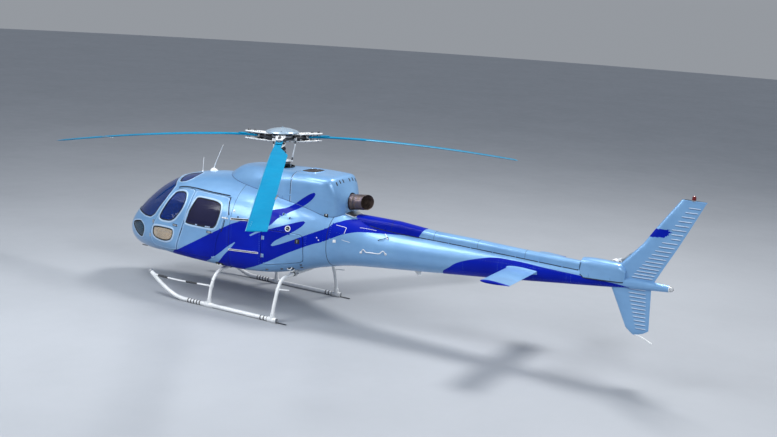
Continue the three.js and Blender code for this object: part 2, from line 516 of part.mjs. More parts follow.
// -------------------------------------------------------------------- interior
const floorTop = FLOOR_Z + TOUCH;
const seatRow = [{ name: 'left', x: 400 }, { name: 'right', x: -400 }];
for (const s of seatRow) {
  add(`front_seat_base_${s.name}`, block(s.x - 190, s.x + 190, -1960, -1560, floorTop, 1130), dark());
  add(`front_seat_cushion_${s.name}`, block(s.x - 230, s.x + 230, -2010, -1530, 1131, 1250), cloth());
  add(`front_seat_back_${s.name}`, prismX([[-1525, 1200], [-1425, 1200], [-1290, 1880], [-1370, 1890]], s.x - 220, s.x + 220), cloth());
}
add('rear_bench_base', block(-780, 780, -930, -520, floorTop, 1120), dark());
add('rear_bench_cushion', block(-790, 790, -960, -570, 1121, 1240), cloth());
add('rear_bench_back', prismX([[-565, 1200], [-470, 1200], [-455, 1860], [-530, 1860]], -720, 720), cloth());
const panel = prismX([[-2760, 1200], [-2560, 1230], [-2600, 1480], [-2720, 1500]], -330, 330)
  .add(prismX([[-2740, FLOOR_Z + TOUCH], [-2420, FLOOR_Z + TOUCH], [-2420, 1010], [-2580, 1240], [-2740, 1240]], -110, 110));
add('instrument_panel', panel, dark());

// ------------------------------------------------------------------ main rotor
const rotor = new THREE.Group();
rotor.position.set(0, 0, ROTOR_Z);
rotor.rotation.x = rad(ROTOR_TILT);
airframe.add(rotor);
// everything in this group is measured from the hub centre, +Z up the mast
const spin = (solid, deg) => {
  const g = toGeometry(solid);
  g.rotateZ(rad(deg));
  return toSolid(g);
};
const angles = Object.values(BLADE_ANGLES);
let hub = rod(V(0, 0, -535), V(0, 0, 33), 42, 16).add(rod(V(0, 0, -40), V(0, 0, 49), 185, 24));
// one arm of the star, then the two sleeve plates that hold the blade: (x along the arm)
const starArm = prismZ([[0, -120], [300, -95], [470, -60], [470, 60], [300, 95], [0, 120]], -18, 18);
const plate = (z0, z1) => prismZ([[150, -80], [480, -85], [760, -62], [800, -40], [800, 40], [760, 62], [480, 85], [150, 80]], z0, z1);
const sleeve = plate(44, 58).add(plate(-58, -44)).add(block(205, 330, -70, 70, -46, 46)).add(block(430, 500, -78, 78, -46, 46));
const horn = block(168, 232, -168, -60, -31, 11);
for (const a of angles) hub = hub.add(spin(starArm, a)).add(spin(sleeve, a)).add(spin(horn, a));
add('main_rotor_hub', hub, grey(), rotor);
const capProfile = [[0, 194], [110, 186], [220, 150], [285, 105], [300, 72], [290, 66], [0, 66]];
add('hub_cap', (() => {
  const g = toGeometry(lathe(capProfile, 24));
  g.rotateX(Math.PI / 2);
  return toSolid(g).subtract(hub);
})(), navy(), rotor);

// blade rows: distance from the mast, chord ahead of and behind the pitch axis, thickness
const BLADE = [
  { r: 520, lead: 55, trail: 55, t: 36 },
  { r: 820, lead: 62, trail: 62, t: 38 },
  { r: 1150, lead: 65, trail: 66, t: 40 },
  { r: 1650, lead: BLADE_LEAD, trail: BLADE_TRAIL, t: 40 },
  { r: 2200, lead: BLADE_LEAD, trail: BLADE_TRAIL, t: 38 },
  { r: 3400, lead: BLADE_LEAD, trail: BLADE_TRAIL, t: 36 },
  { r: 4400, lead: BLADE_LEAD, trail: BLADE_TRAIL, t: 34 },
  { r: ROTOR_R, lead: BLADE_LEAD, trail: BLADE_TRAIL, t: 30 },
];
const aerofoil = [[0, 0], [0.03, 0.38], [0.12, 0.8], [0.3, 1], [0.6, 0.66], [1, 0.06]];
const droop = (r) => -BLADE_DROOP * (Math.max(0, r - 560) / (ROTOR_R - 560)) ** 1.4;
function bladeSolid() {
  const rings = BLADE.map(({ r, lead, trail, t }) => {
    const c = lead + trail, z0 = droop(r);
    const up = aerofoil.map(([u, h]) => V(r, -lead + c * u, z0 + h * t / 2));
    const dn = aerofoil.slice(1).reverse().map(([u, h]) => V(r, -lead + c * u, z0 - h * t / 2));
    return up.concat(dn);
  });
  return toSolid(loft(rings));
}
for (const [name, a] of Object.entries(BLADE_ANGLES)) add(`main_blade_${name}`, spin(bladeSolid(), a).subtract(hub), navy(), rotor);

// swashplate star that turns with the mast, its links up to the blade horns
let swash = toSolid((() => {
  const g = toGeometry(lathe([[50, 0], [150, 0], [150, 34], [50, 34], [50, 0]], 20));
  g.rotateX(Math.PI / 2);
  g.translate(0, 0, -420);
  return g;
})());
for (const a of angles) {
  swash = swash.add(spin(block(120, 208, -26, 26, -416, -392), a - 34))
    .add((() => {
      const p = V(188 * Math.cos(rad(a - 34)), 188 * Math.sin(rad(a - 34)), -396);
      const q = V(200 * Math.cos(rad(a)) + 142 * Math.sin(rad(a)), 200 * Math.sin(rad(a)) - 142 * Math.cos(rad(a)), -36);
      return rod(p, q, 11, 6);
    })());
}
add('swashplate', swash.subtract(hub), white(), rotor);

// ------------------------------------------------------------------ tail rotor
const tailRotor = new THREE.Group();
tailRotor.position.set(...TAIL_HUB);
airframe.add(tailRotor);
function tailBlade() {
  // rows: distance from the hub, half chord, thickness
  const rows = [[-25, 38, 34], [170, 40, 30], [290, TAIL_CHORD / 2, 24], [620, TAIL_CHORD / 2, 20], [TAIL_R, TAIL_CHORD / 2, 14]];
  const rings = rows.map(([r, h, t]) => {
    const up = aerofoil.map(([u, k]) => V(-k * t / 2, -h + 2 * h * u, r));
    const dn = aerofoil.slice(1).reverse().map(([u, k]) => V(k * t / 2, -h + 2 * h * u, r));
    return up.concat(dn);
  });
  return toSolid(loft(rings));
}
const turnX = (solid, deg) => {
  const g = toGeometry(solid);
  g.rotateX(rad(deg));
  return toSolid(g);
};
// the blade that points straight up is turned back towards the fin
const park = TAIL_PARK - 90;
const tailSlot = turnX(block(-18, 18, -42, 42, -70, 70), park);
const tailHub = rod(V(-45, 0, 0), V(60, 0, 0), 62, 14).add(rod(V(60, 0, 0), V(196, 0, 0), 26, 10));
add('tail_rotor_hub', tailHub.subtract(tailSlot), grey(), tailRotor);
add('tail_rotor_blades', turnX(tailBlade(), park).add(turnX(tailBlade(), park + 180)), navy(), tailRotor);

export default group;
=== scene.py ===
import math

import bmesh
import bpy
import numpy as np
from mathutils import Matrix, Vector, kdtree
from mathutils.geometry import delaunay_2d_cdt


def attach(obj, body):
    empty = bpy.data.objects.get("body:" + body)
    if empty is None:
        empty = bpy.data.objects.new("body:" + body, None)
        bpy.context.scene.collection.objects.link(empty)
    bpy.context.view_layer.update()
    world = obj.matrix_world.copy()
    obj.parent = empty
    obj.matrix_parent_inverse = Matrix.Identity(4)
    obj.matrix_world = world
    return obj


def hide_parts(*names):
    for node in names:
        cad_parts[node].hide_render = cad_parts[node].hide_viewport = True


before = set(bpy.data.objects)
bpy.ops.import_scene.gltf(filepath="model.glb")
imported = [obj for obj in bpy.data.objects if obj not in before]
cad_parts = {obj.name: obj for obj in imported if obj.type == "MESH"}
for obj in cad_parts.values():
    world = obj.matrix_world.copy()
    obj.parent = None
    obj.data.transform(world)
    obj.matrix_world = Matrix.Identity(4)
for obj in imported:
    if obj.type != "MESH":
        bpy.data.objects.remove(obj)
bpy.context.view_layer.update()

rng = np.random.default_rng(11)
MY = -1.130                      # everything below is measured from the mast, then moved by this


# ------------------------------------------------------------------ materials
def lin(c):
    c = np.asarray(c, float) / 255
    return tuple(np.where(c <= .04045, c / 12.92, ((c + .055) / 1.055) ** 2.4)) + (1.0,)


class Mat:
    """A node material built up step by step."""

    def __init__(self, name, **sockets):
        self.m = bpy.data.materials.new(name)
        self.m.use_nodes = True
        self.t = self.m.node_tree
        self.b = self.t.nodes["Principled BSDF"]
        self.tc = self.t.nodes.new("ShaderNodeTexCoord")
        self.obj = self.tc.outputs["Object"]
        for k, v in sockets.items():
            self.set(k.replace("_", " "), v)

    def set(self, k, v):
        if isinstance(v, bpy.types.NodeSocket):
            self.t.links.new(v, self.b.inputs[k])
        else:
            self.b.inputs[k].default_value = v

    def node(self, kind, props=None, **inputs):
        n = self.t.nodes.new(kind)
        for k, v in (props or {}).items():
            setattr(n, k, v)
        for k, v in inputs.items():
            key = int(k[1:]) if k[0] == "i" and k[1:].isdigit() else k.replace("_", " ")
            s = n.inputs[key]
            if isinstance(v, bpy.types.NodeSocket):
                self.t.links.new(v, s)
            else:
                s.default_value = v
        return n

    def scaled(self, v):
        return self.node("ShaderNodeMapping", i0=self.obj, i3=v).outputs[0]

    def noise(self, scale, detail=3, rough=.55, vec=None, stretch=None):
        vec = vec or (self.scaled(stretch) if stretch else self.obj)
        return self.node("ShaderNodeTexNoise", Vector=vec, Scale=scale, Detail=detail, Roughness=rough).outputs["Fac"]

    def ramp(self, fac, stops, interp="LINEAR"):
        n = self.node("ShaderNodeValToRGB", Fac=fac)
        n.color_ramp.interpolation = interp
        el = n.color_ramp.elements
        while len(el) < len(stops):
            el.new(.5)
        for e, (p, c) in zip(el, stops):
            e.position = p
            e.color = c if isinstance(c, tuple) else (c, c, c, 1)
        return n.outputs["Color"]

    def span(self, v, a, b, c, d, clamp=True):
        n = self.node("ShaderNodeMapRange", {"clamp": clamp}, Value=v)
        for i, x in zip((1, 2, 3, 4), (a, b, c, d)):
            n.inputs[i].default_value = x
        return n.outputs[0]

    def math(self, op, a, b=0.0):
        return self.node("ShaderNodeMath", {"operation": op}, i0=a, i1=b).outputs[0]

    def mix(self, fac, a, b, mode="MIX"):
        n = self.t.nodes.new("ShaderNodeMix")
        n.data_type, n.blend_type = "RGBA", mode
        for i, v in ((0, fac), (6, a), (7, b)):
            if isinstance(v, bpy.types.NodeSocket):
                self.t.links.new(v, n.inputs[i])
            else:
                n.inputs[i].default_value = v
        return n.outputs[2]

    def xyz(self):
        return self.node("ShaderNodeSeparateXYZ", i0=self.obj).outputs

    def bump(self, height, strength, dist, coat=False):
        n = self.node("ShaderNodeBump", Height=height, Strength=strength, Distance=dist).outputs[0]
        self.set("Normal", n)
        return n


def paint(name, c1, c2, metallic, rough, coat=.6, dirt=(120, 112, 100), amount=.18, scale=1.7, flake=True, spec=.5):
    m = Mat(name, Metallic=metallic, Coat_Weight=coat, Coat_Roughness=.07, IOR=1.5, Specular_IOR_Level=spec)
    broad = m.noise(scale, 4)
    col = m.ramp(broad, [(.30, lin(c1)), (.70, lin(c2))])
    if flake:   # faint clouding of the metallic coat along each panel
        cloud = m.noise(6.5, 3, .5, stretch=(1.0, .45, 1.6))
        col = m.mix(m.span(cloud, .35, .70, .0, .10), col, lin(np.asarray(c1) * .80))
    # rain streaks and dust, heavier towards the belly
    streak = m.noise(7, 3, .5, stretch=(1.0, 1.0, .18))
    low = m.span(m.xyz()[2], .62, 1.5, 1.0, .25)
    mask = m.math("MULTIPLY", m.span(streak, .52, .78, 0, amount), low)
    col = m.mix(mask, col, lin(dirt))
    m.set("Base Color", col)
    m.set("Roughness", m.math("ADD", m.span(m.noise(5, 2), .35, .7, rough[0], rough[1]), m.math("MULTIPLY", mask, .6)))
    m.bump(m.noise(9, 1), .10, .0014)
    return m.m


def solid(name, c1, c2, rough=(.4, .6), metallic=0.0, scale=6, bump=(300, .1, .0005), spec=.5, coat=0.0, stretch=None):
    m = Mat(name, Metallic=metallic, Specular_IOR_Level=spec, Coat_Weight=coat, Coat_Roughness=.1)
    n = m.noise(scale, 5, stretch=stretch)
    m.set("Base Color", m.ramp(n, [(.32, lin(c1)), (.68, lin(c2))]))
    m.set("Roughness", m.span(m.noise(scale * 3, 4, stretch=stretch), .35, .7, rough[0], rough[1]))
    if bump:
        m.bump(m.noise(bump[0], 3, stretch=stretch), bump[1], bump[2])
    return m.m


def glass(name, tint, alpha=(.30, .97), rough=.03, coat=.25):
    m = Mat(name, Metallic=0.0, Specular_IOR_Level=.4, Coat_Weight=coat, Coat_Roughness=.02, IOR=1.50)
    smear = m.noise(1.6, 2, .5)
    m.set("Base Color", m.ramp(smear, [(.35, lin(tint)), (.75, lin(np.asarray(tint) * 1.25 + 3))]))
    m.set("Roughness", m.span(smear, .4, .8, rough + .02, rough + .05))
    fres = m.node("ShaderNodeLayerWeight", Blend=.42).outputs["Facing"]
    a = m.span(fres, .0, .95, alpha[0], alpha[1])
    a = m.math("ADD", a, m.span(m.noise(1.4, 2, .5), .55, .85, 0, .04))
    m.set("Alpha", a)
    return m.m


def cloth(name, c1, c2, weave=420):
    m = Mat(name, Metallic=0.0, Specular_IOR_Level=.25, Sheen_Weight=.35, Sheen_Roughness=.45)
    sx, sy, sz = m.xyz()
    a = m.node("ShaderNodeTexWave", {"wave_type": "BANDS", "bands_direction": "X"}, Vector=m.obj, Scale=weave / 6.28, Distortion=.6, Detail=1.0).outputs["Fac"]
    b = m.node("ShaderNodeTexWave", {"wave_type": "BANDS", "bands_direction": "DIAGONAL"}, Vector=m.obj, Scale=weave / 6.28, Distortion=.6, Detail=1.0).outputs["Fac"]
    thread = m.math("MULTIPLY", a, b)
    shade = m.ramp(m.noise(7, 5), [(.3, lin(c1)), (.7, lin(c2))])
    m.set("Base Color", m.mix(m.span(thread, 0, 1, 0, .35), shade, lin(np.asarray(c1) * .45)))
    m.set("Roughness", m.span(m.noise(30, 3), .3, .7, .78, .95))
    m.bump(thread, .35, .0006)
    return m.m


silver = paint("silver_blue_paint", (108, 154, 200), (122, 167, 210), .30, (.32, .42), coat=.36, amount=.05)
# lighter silver for window frames, the strip beside the cowl's split seam and the window latches: partly their pale
# finish, partly a painted highlight along those edges
pale_silver_and_painted_highlight = paint("pale_silver_paint_and_painted_highlight", (160, 190, 222), (178, 204, 230), .25, (.32, .42), coat=.36, amount=.03)
silver_line = paint("silver_line_paint", (136, 174, 214), (150, 186, 222), .25, (.32, .42), coat=.36, amount=.03)
navy = paint("deep_blue_paint", (0, 18, 136), (0, 27, 162), 0.0, (.40, .50), coat=.06, dirt=(10, 30, 120), amount=.03, spec=.07, flake=False)
white = solid("white_enamel", (214, 217, 219), (232, 234, 235), (.28, .42), 0.0, 9, (260, .06, .0004), coat=.4)
# cyan-blue of the main blades: blue-grey paint with a painted reflection of the sky on it
blade_blue_and_painted_sky = paint("blade_blue_paint_and_painted_sky_reflection", (0, 112, 152), (4, 124, 164), 0.0, (.45, .55), coat=.0, dirt=(40, 96, 125), amount=.03, flake=False, spec=.06)
blade_grey = solid("tail_blade_grey", (120, 128, 136), (146, 154, 160), (.38, .5), .1, 12)
alu = solid("bare_alloy", (168, 172, 176), (196, 199, 202), (.26, .42), .95, 30, (500, .08, .0003), stretch=(1, 1, .2))
steel = solid("dark_steel", (78, 80, 84), (112, 113, 116), (.32, .5), .9, 25, (380, .1, .0004))
star = solid("dark_composite", (27, 30, 36), (44, 48, 56), (.42, .6), .1, 40, (420, .22, .0005))
rubber = solid("black_rubber", (14, 15, 17), (24, 25, 27), (.62, .8), 0.0, 30, (600, .2, .0004), spec=.35)
# mid grey-blue joint at the foot of the cowl: a real joint, coloured as silver in the shade of the crease (painted
# shade)
crease_seam_painted_shade = solid("foot_seam_with_painted_shade", (66, 88, 122), (84, 108, 142), (.5, .65), .2, 50, (500, .15, .0003), spec=.3)
seam = solid("seam_sealant", (22, 28, 40), (34, 42, 56), (.6, .75), 0.0, 50, (500, .15, .0003), spec=.3)
lining = solid("grey_lining", (96, 99, 106), (118, 121, 128), (.75, .9), 0.0, 8, (350, .3, .0008), spec=.25)
carpet = solid("floor_carpet", (52, 50, 52), (74, 70, 70), (.9, .98), 0.0, 60, (700, .6, .0015), spec=.1)
plastic = solid("black_moulded_plastic", (20, 21, 24), (33, 35, 38), (.5, .65), 0.0, 20, (520, .3, .0004))
bezel = solid("instrument_face", (10, 11, 13), (18, 20, 22), (.25, .35), 0.0, 20, None)
decal_white = solid("dial_marks", (210, 212, 212), (232, 232, 230), (.5, .6), 0.0, 20, None)
tan = solid("tan_trim", (232, 188, 130), (248, 212, 160), (.6, .75), 0.0, 12, (420, .3, .0006))
seat_cloth = cloth("seat_cloth", (196, 196, 192), (222, 221, 216))
strap = cloth("webbing", (30, 31, 36), (46, 48, 54), 900)
yellow = solid("yellow_guard", (214, 206, 58), (232, 224, 92), (.4, .5), 0.0, 15)
orange = solid("orange_tip", (222, 128, 28), (236, 152, 44), (.35, .45), 0.0, 15)
brown_red = solid("erosion_strip", (98, 44, 36), (122, 58, 46), (.45, .6), .2, 30)
pane_dark = glass("cabin_glass", (6, 40, 100), (.26, .93))
pane_door = glass("door_glass", (2, 40, 112), (.20, .88))
# pale beige veil on the lower door glass: painted light standing in for the lit inside seen through it
pane_low_painted_light = glass("lower_door_glass_painted_light", (176, 164, 148), (.16, .78), coat=.06)
pane_rear = glass("tinted_glass", (26, 26, 54), (.90, .99), rough=.10, coat=.03)
pane_roof = glass("roof_glass", (2, 34, 88), (.86, .98), coat=.12)
pane_chin = glass("chin_glass", (16, 52, 74), (.30, .93))
red_lens = Mat("red_lens", Transmission_Weight=.35, Coat_Weight=.8, IOR=1.49)
red_lens.set("Base Color", red_lens.ramp(red_lens.noise(40), [(.3, lin((104, 4, 6))), (.7, lin((128, 8, 10)))]))
red_lens.set("Roughness", red_lens.span(red_lens.noise(90), .3, .7, .12, .22))
red_lens = red_lens.m
clear_lens = Mat("clear_lens", Transmission_Weight=.6, Coat_Weight=.8, IOR=1.49)
clear_lens.set("Base Color", clear_lens.ramp(clear_lens.noise(40), [(.3, lin((222, 226, 230))), (.7, lin((240, 242, 244)))]))
clear_lens.set("Roughness", clear_lens.span(clear_lens.noise(90), .3, .7, .08, .18))
clear_lens = clear_lens.m
# heat-stained jet pipe
pipe_mat = Mat("heat_stained_steel", Metallic=.85)
stain = pipe_mat.ramp(pipe_mat.noise(9, 6, .62), [(.28, lin((92, 80, 76))), (.46, lin((118, 104, 98))), (.6, lin((104, 96, 112))), (.78, lin((146, 128, 108)))])
along = pipe_mat.span(pipe_mat.xyz()[1], .2, .78, 0, 1)
pipe_mat.set("Base Color", pipe_mat.mix(pipe_mat.math("MULTIPLY", along, .35), stain, lin((64, 58, 62))))
pipe_mat.set("Roughness", pipe_mat.span(pipe_mat.noise(26, 5), .3, .7, .34, .58))
pipe_mat.bump(pipe_mat.noise(60, 5), .2, .001)
pipe_mat = pipe_mat.m
soot = solid("sooty_inside", (54, 46, 43), (92, 78, 72), (.8, .95), .2, 20, (200, .4, .001), spec=.2)


# -------------------------------------------------------------- mesh helpers
class Build:
    """Gathers faces, their material numbers and, where given, a normal for each corner."""

    def __init__(self):
        self.v, self.f, self.m, self.n, self.k = [], [], [], [], 0

    def add(self, v, f, m=0, n=None):
        v = np.asarray(v, float).reshape(-1, 3)
        o = self.k
        self.v.append(v)
        self.k += len(v)
        self.f += [tuple(int(i) + o for i in t) for t in f]
        self.m += [m] * len(f) if np.isscalar(m) else [int(x) for x in m]
        self.n += [None] * len(f) if n is None else list(n)
        return self

    def mirrored(self):
        b = Build()
        b.v = [v * (-1, 1, 1) for v in self.v]
        b.k = self.k
        b.f = [t[::-1] for t in self.f]
        b.m = list(self.m)
        b.n = [None if n is None else np.asarray(n)[::-1] * (-1, 1, 1) for n in self.n]
        return b

    def join(self, other, mat_shift=0):
        o = self.k
        self.v += other.v
        self.k += other.k
        self.f += [tuple(i + o for i in t) for t in other.f]
        self.m += [x + mat_shift for x in other.m]
        self.n += other.n
        return self

    def turned(self, M):
        """The same pieces through a 4x4 matrix."""
        M = np.asarray(M)
        b = Build()
        b.v = [v @ M[:3, :3].T + M[:3, 3] for v in self.v]
        b.k = self.k
        b.f, b.m = list(self.f), list(self.m)
        b.n = [None if n is None else np.asarray(n) @ M[:3, :3].T for n in self.n]
        return b


MADE = []


def make(name, b, mats, body="airframe", nodes=(), angle=34, shift=True):
    v = np.concatenate(b.v)
    if shift:
        v = v + (0, MY, 0)
    me = bpy.data.meshes.new(name)
    me.from_pydata(v.tolist(), [], b.f)
    for m in mats:
        me.materials.append(m)
    me.polygons.foreach_set("material_index", np.asarray(b.m, np.int32))
    if all(n is None for n in b.n):
        bm = bmesh.new()
        bm.from_mesh(me)
        bmesh.ops.recalc_face_normals(bm, faces=list(bm.faces))
        bm.to_mesh(me)
        bm.free()
    me.polygons.foreach_set("use_smooth", np.ones(len(b.f), bool))
    me.update()
    if angle:
        me.set_sharp_from_angle(angle=math.radians(angle))
    if any(n is not None for n in b.n):
        flat = []
        for t, n in zip(b.f, b.n):
            flat.append(np.zeros((len(t), 3)) if n is None else np.asarray(n))
        me.normals_split_custom_set(np.concatenate(flat).tolist())
    ob = bpy.data.objects.new(name, me)
    bpy.context.scene.collection.objects.link(ob)
    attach(ob, body)
    if nodes:
        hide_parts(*nodes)
    MADE.append(ob)
    return ob


def unit(v):
    v = np.asarray(v, float)
    return v / np.maximum(np.linalg.norm(v, axis=-1, keepdims=True), 1e-12)


def smooth(points, step=.03, closed=False):
    """Points along a centripetal Catmull-Rom curve."""
    p = np.asarray(points, float)
    n = len(p)
    out = []
    for i in range(n if closed else n - 1):
        if closed:
            a, b, c, d = p[(i - 1) % n], p[i], p[(i + 1) % n], p[(i + 2) % n]
        else:
            a = p[i - 1] if i else 2 * p[0] - p[1]
            b, c = p[i], p[i + 1]
            d = p[i + 2] if i + 2 < n else 2 * p[-1] - p[-2]
        t0 = 0
        t1 = t0 + max(np.linalg.norm(b - a), 1e-6) ** .5
        t2 = t1 + max(np.linalg.norm(c - b), 1e-6) ** .5
        t3 = t2 + max(np.linalg.norm(d - c), 1e-6) ** .5
        k = max(1, int(math.ceil(np.linalg.norm(c - b) / step)))
        for j in range(k):
            t = t1 + (t2 - t1) * j / k
            A1 = (t1 - t) / (t1 - t0) * a + (t - t0) / (t1 - t0) * b
            A2 = (t2 - t) / (t2 - t1) * b + (t - t1) / (t2 - t1) * c
            A3 = (t3 - t) / (t3 - t2) * c + (t - t2) / (t3 - t2) * d
            B1 = (t2 - t) / (t2 - t0) * A1 + (t - t0) / (t2 - t0) * A2
            B2 = (t3 - t) / (t3 - t1) * A2 + (t - t1) / (t3 - t1) * A3
            out.append((t2 - t) / (t2 - t1) * B1 + (t - t1) / (t2 - t1) * B2)
    if not closed:
        out.append(p[-1])
    return np.array(out)


def dens(poly, step, closed=True):
    p = np.asarray(poly, float)
    out = []
    for i in range(len(p) if closed else len(p) - 1):
        a, b = p[i], p[(i + 1) % len(p)]
        k = max(1, int(math.ceil(np.linalg.norm(b - a) / step)))
        out += [a + (b - a) * j / k for j in range(k)]
    if not closed:
        out.append(p[-1])
    return np.array(out)


def chaikin(poly, times=2, q=.25, closed=True):
    p = np.asarray(poly, float)
    for _ in range(times):
        a, b = p, np.roll(p, -1, 0)
        if not closed:
            a, b = p[:-1], p[1:]
        out = np.empty((2 * len(a), p.shape[1]))
        out[0::2] = a * (1 - q) + b * q
        out[1::2] = a * q + b * (1 - q)
        p = out if closed else np.vstack([p[:1], out, p[-1:]])
    return p


def area(p):
    p = np.asarray(p, float)
    q = np.roll(p, -1, 0)
    return .5 * np.sum(p[:, 0] * q[:, 1] - q[:, 0] * p[:, 1])


def grow(poly, d):
    p = np.asarray(poly, float)
    s = 1 if area(p) > 0 else -1
    u = unit(p - np.roll(p, 1, 0))
    v = unit(np.roll(p, -1, 0) - p)
    n1 = np.stack([u[:, 1], -u[:, 0]], 1) * s
    n2 = np.stack([v[:, 1], -v[:, 0]], 1) * s
    return p + (n1 + n2) * (d / np.maximum(1 + np.sum(n1 * n2, 1), .4))[:, None]


def inside(poly, pts):
    poly, pts = np.asarray(poly, float), np.asarray(pts, float)
    out = np.zeros(len(pts), bool)
    x, y = pts[:, 0], pts[:, 1]
    ok = (x >= poly[:, 0].min()) & (x <= poly[:, 0].max()) & (y >= poly[:, 1].min()) & (y <= poly[:, 1].max())
    x, y = x[ok], y[ok]
    r = np.zeros(len(x), bool)
    a = poly
    b = np.roll(poly, -1, 0)
    for (x0, y0), (x1, y1) in zip(a, b):
        c = (y0 > y) != (y1 > y)
        if c.any():
            r[c] ^= x[c] < (x1 - x0) * (y[c] - y0) / (y1 - y0) + x0
    out[ok] = r
    return out


def loft(rings, mat=0, closed=True, caps=(True, True), b=None, flip=False):
    """Quads through rings of equal length, ends closed with fans."""
    b = b or Build()
    R = np.asarray(rings, float)
    k, n = R.shape[:2]
    f = []
    for i in range(k - 1):
        for j in range(n if closed else n - 1):
            j2 = (j + 1) % n
            q = (i * n + j, i * n + j2, (i + 1) * n + j2, (i + 1) * n + j)
            f.append(q[::-1] if flip else q)
    v = R.reshape(-1, 3)
    extra = []
    for end, on in ((0, caps[0]), (k - 1, caps[1])):
        if not on:
            continue
        c = len(v) + len(extra)
        extra.append(R[end].mean(0))
        for j in range(n):
            t = (c, end * n + (j + 1) % n, end * n + j) if end == 0 else (c, end * n + j, end * n + (j + 1) % n)
            f.append(t[::-1] if flip else t)
    if extra:
        v = np.vstack([v, extra])
    b.add(v, f, mat)
    return b


def frames(path):
    """Unit tangents and two normals carried along a path."""
    p = np.asarray(path, float)
    t = unit(np.gradient(p, axis=0))
    ref = np.array([0, 0, 1.0]) if abs(t[0][2]) < .9 else np.array([1.0, 0, 0])
    a = unit(np.cross(t[0], ref))
    A, B = [], []
    for i in range(len(p)):
        a = unit(a - t[i] * np.dot(a, t[i]))
        A.append(a)
        B.append(np.cross(t[i], a))
    return t, np.array(A), np.array(B)


def tube(path, r, sides=14, mat=0, b=None, step=None, ends=True):
    """Round tube with softly rounded ends; r is one radius or one for each point."""
    p = smooth(path, step) if step else np.asarray(path, float)
    r = np.full(len(p), r, float) if np.isscalar(r) else np.interp(np.linspace(0, 1, len(p)), np.linspace(0, 1, len(r)), r)
    t, A, B = frames(p)
    ang = 2 * np.pi * np.arange(sides) / sides
    circ = lambda i, k: p[i] + r[i] * k * (np.cos(ang)[:, None] * A[i] + np.sin(ang)[:, None] * B[i])
    rings = []
    if ends:
        for k, s in ((.30, 1.0), (.75, .82), (.93, .5)):
            rings.append(circ(0, k) - t[0] * r[0] * .35 * (1 - s * 0) * (s if k < .9 else .4) * .6)
    rings += [circ(i, 1) for i in range(len(p))]
    if ends:
        for k, s in ((.93, .4), (.75, .82), (.30, 1.0)):
            rings.append(circ(-1, k) + t[-1] * r[-1] * .35 * s * .6)
    return loft(rings, mat, b=b, flip=False)


def lathe(profile, segs=32, mat=0, b=None, at=(0, 0, 0), axis=(0, 0, 1), mats=None, closed=False):
    """profile is (radius, distance along the axis); points of radius 0 close the ends."""
    at, ax = np.asarray(at, float), unit(axis)
    ref = np.array([1.0, 0, 0]) if abs(ax[0]) < .8 else np.array([0, 1.0, 0])
    u = unit(ref - ax * np.dot(ref, ax))
    w = np.cross(ax, u)
    ang = 2 * np.pi * np.arange(segs) / segs
    dirs = np.cos(ang)[:, None] * u + np.sin(ang)[:, None] * w
    b = b or Build()
    v, f, mm, idx = [], [], [], []
    for r, d in profile:
        if r < 1e-9:
            idx.append([len(v)])
            v.append(at + ax * d)
        else:
            idx.append(list(range(len(v), len(v) + segs)))
            v += list(at + ax * d + dirs * r)
    n = len(profile)
    for i in range(n if closed else n - 1):
        p, q = idx[i], idx[(i + 1) % n]
        m = mat if mats is None else mats[i]
        for j in range(segs):
            k = (j + 1) % segs
            if len(p) == 1 and len(q) == 1:
                continue
            if len(p) == 1:
                f.append((p[0], q[k], q[j]))
            elif len(q) == 1:
                f.append((p[j], p[k], q[0]))
            else:
                f.append((p[j], p[k], q[k], q[j]))
            mm.append(m)
    b.add(v, f, mm)
    return b


_boxes = {}


def rbox(lo, hi, r=.004, seg=2, mat=0, b=None, M=None):
    """Box with rounded edges."""
    lo, hi = np.asarray(lo, float), np.asarray(hi, float)
    size = tuple(np.round(hi - lo, 5))
    key = (size, r, seg)
    if key not in _boxes:
        bm = bmesh.new()
        bmesh.ops.create_cube(bm, size=1.0, matrix=Matrix.Diagonal((*size, 1.0)))
        bmesh.ops.bevel(bm, geom=list(bm.edges), offset=min(r, min(size) * .48), segments=seg, profile=.5, affect="EDGES")
        bm.verts.index_update()
        _boxes[key] = (np.array([x.co[:] for x in bm.verts]), [tuple(x.index for x in p.verts) for p in bm.faces])
        bm.free()
    v, f = _boxes[key]
    v = v + (lo + hi) / 2
    if M is not None:
        M = np.asarray(M)
        v = v @ M[:3, :3].T + M[:3, 3]
    b = b or Build()
    b.add(v, f, mat)
    return b


def axes(x, y, z, o=(0, 0, 0)):
    M = np.eye(4)
    M[:3, 0], M[:3, 1], M[:3, 2], M[:3, 3] = x, y, z, o
    return M


def along(o, z, up=(0, 0, 1)):
    """Matrix with its Z along z at o."""
    z = unit(z)
    up = np.asarray(up, float)
    if abs(np.dot(unit(up), z)) > .95:
        up = np.array([1.0, 0, 0])
    x = unit(np.cross(up, z))
    return axes(x, np.cross(z, x), z, o)


def bolt(b, at, n, r=.008, h=.006, mat=0, sides=6):
    """Hexagon head on a round washer."""
    lathe([(0, 0), (r * 1.35, 0), (r * 1.35, h * .25), (r * 1.05, h * .3)], 14, mat, b, at, n)
    lathe([(r, h * .28), (r, h * .85), (r * .8, h), (0, h)], sides, mat, b, at, n)
    return b


def dome(b, at, n, r=.004, h=.0012, mat=0, sides=6):
    at, n = np.asarray(at, float), unit(n)
    ref = np.array([0, 0, 1.0]) if abs(n[2]) < .9 else np.array([0, 1.0, 0])
    u = unit(np.cross(ref, n))
    w = np.cross(n, u)
    ang = 2 * np.pi * np.arange(sides) / sides
    d = np.cos(ang)[:, None] * u + np.sin(ang)[:, None] * w
    v = np.vstack([at - n * .0006 + d * r, at + n * h * .75 + d * r * .62, [at + n * h]])
    f = [(j, (j + 1) % sides, sides + (j + 1) % sides, sides + j) for j in range(sides)]
    f += [(sides + j, sides + (j + 1) % sides, 2 * sides) for j in range(sides)]
    b.add(v, f, mat)


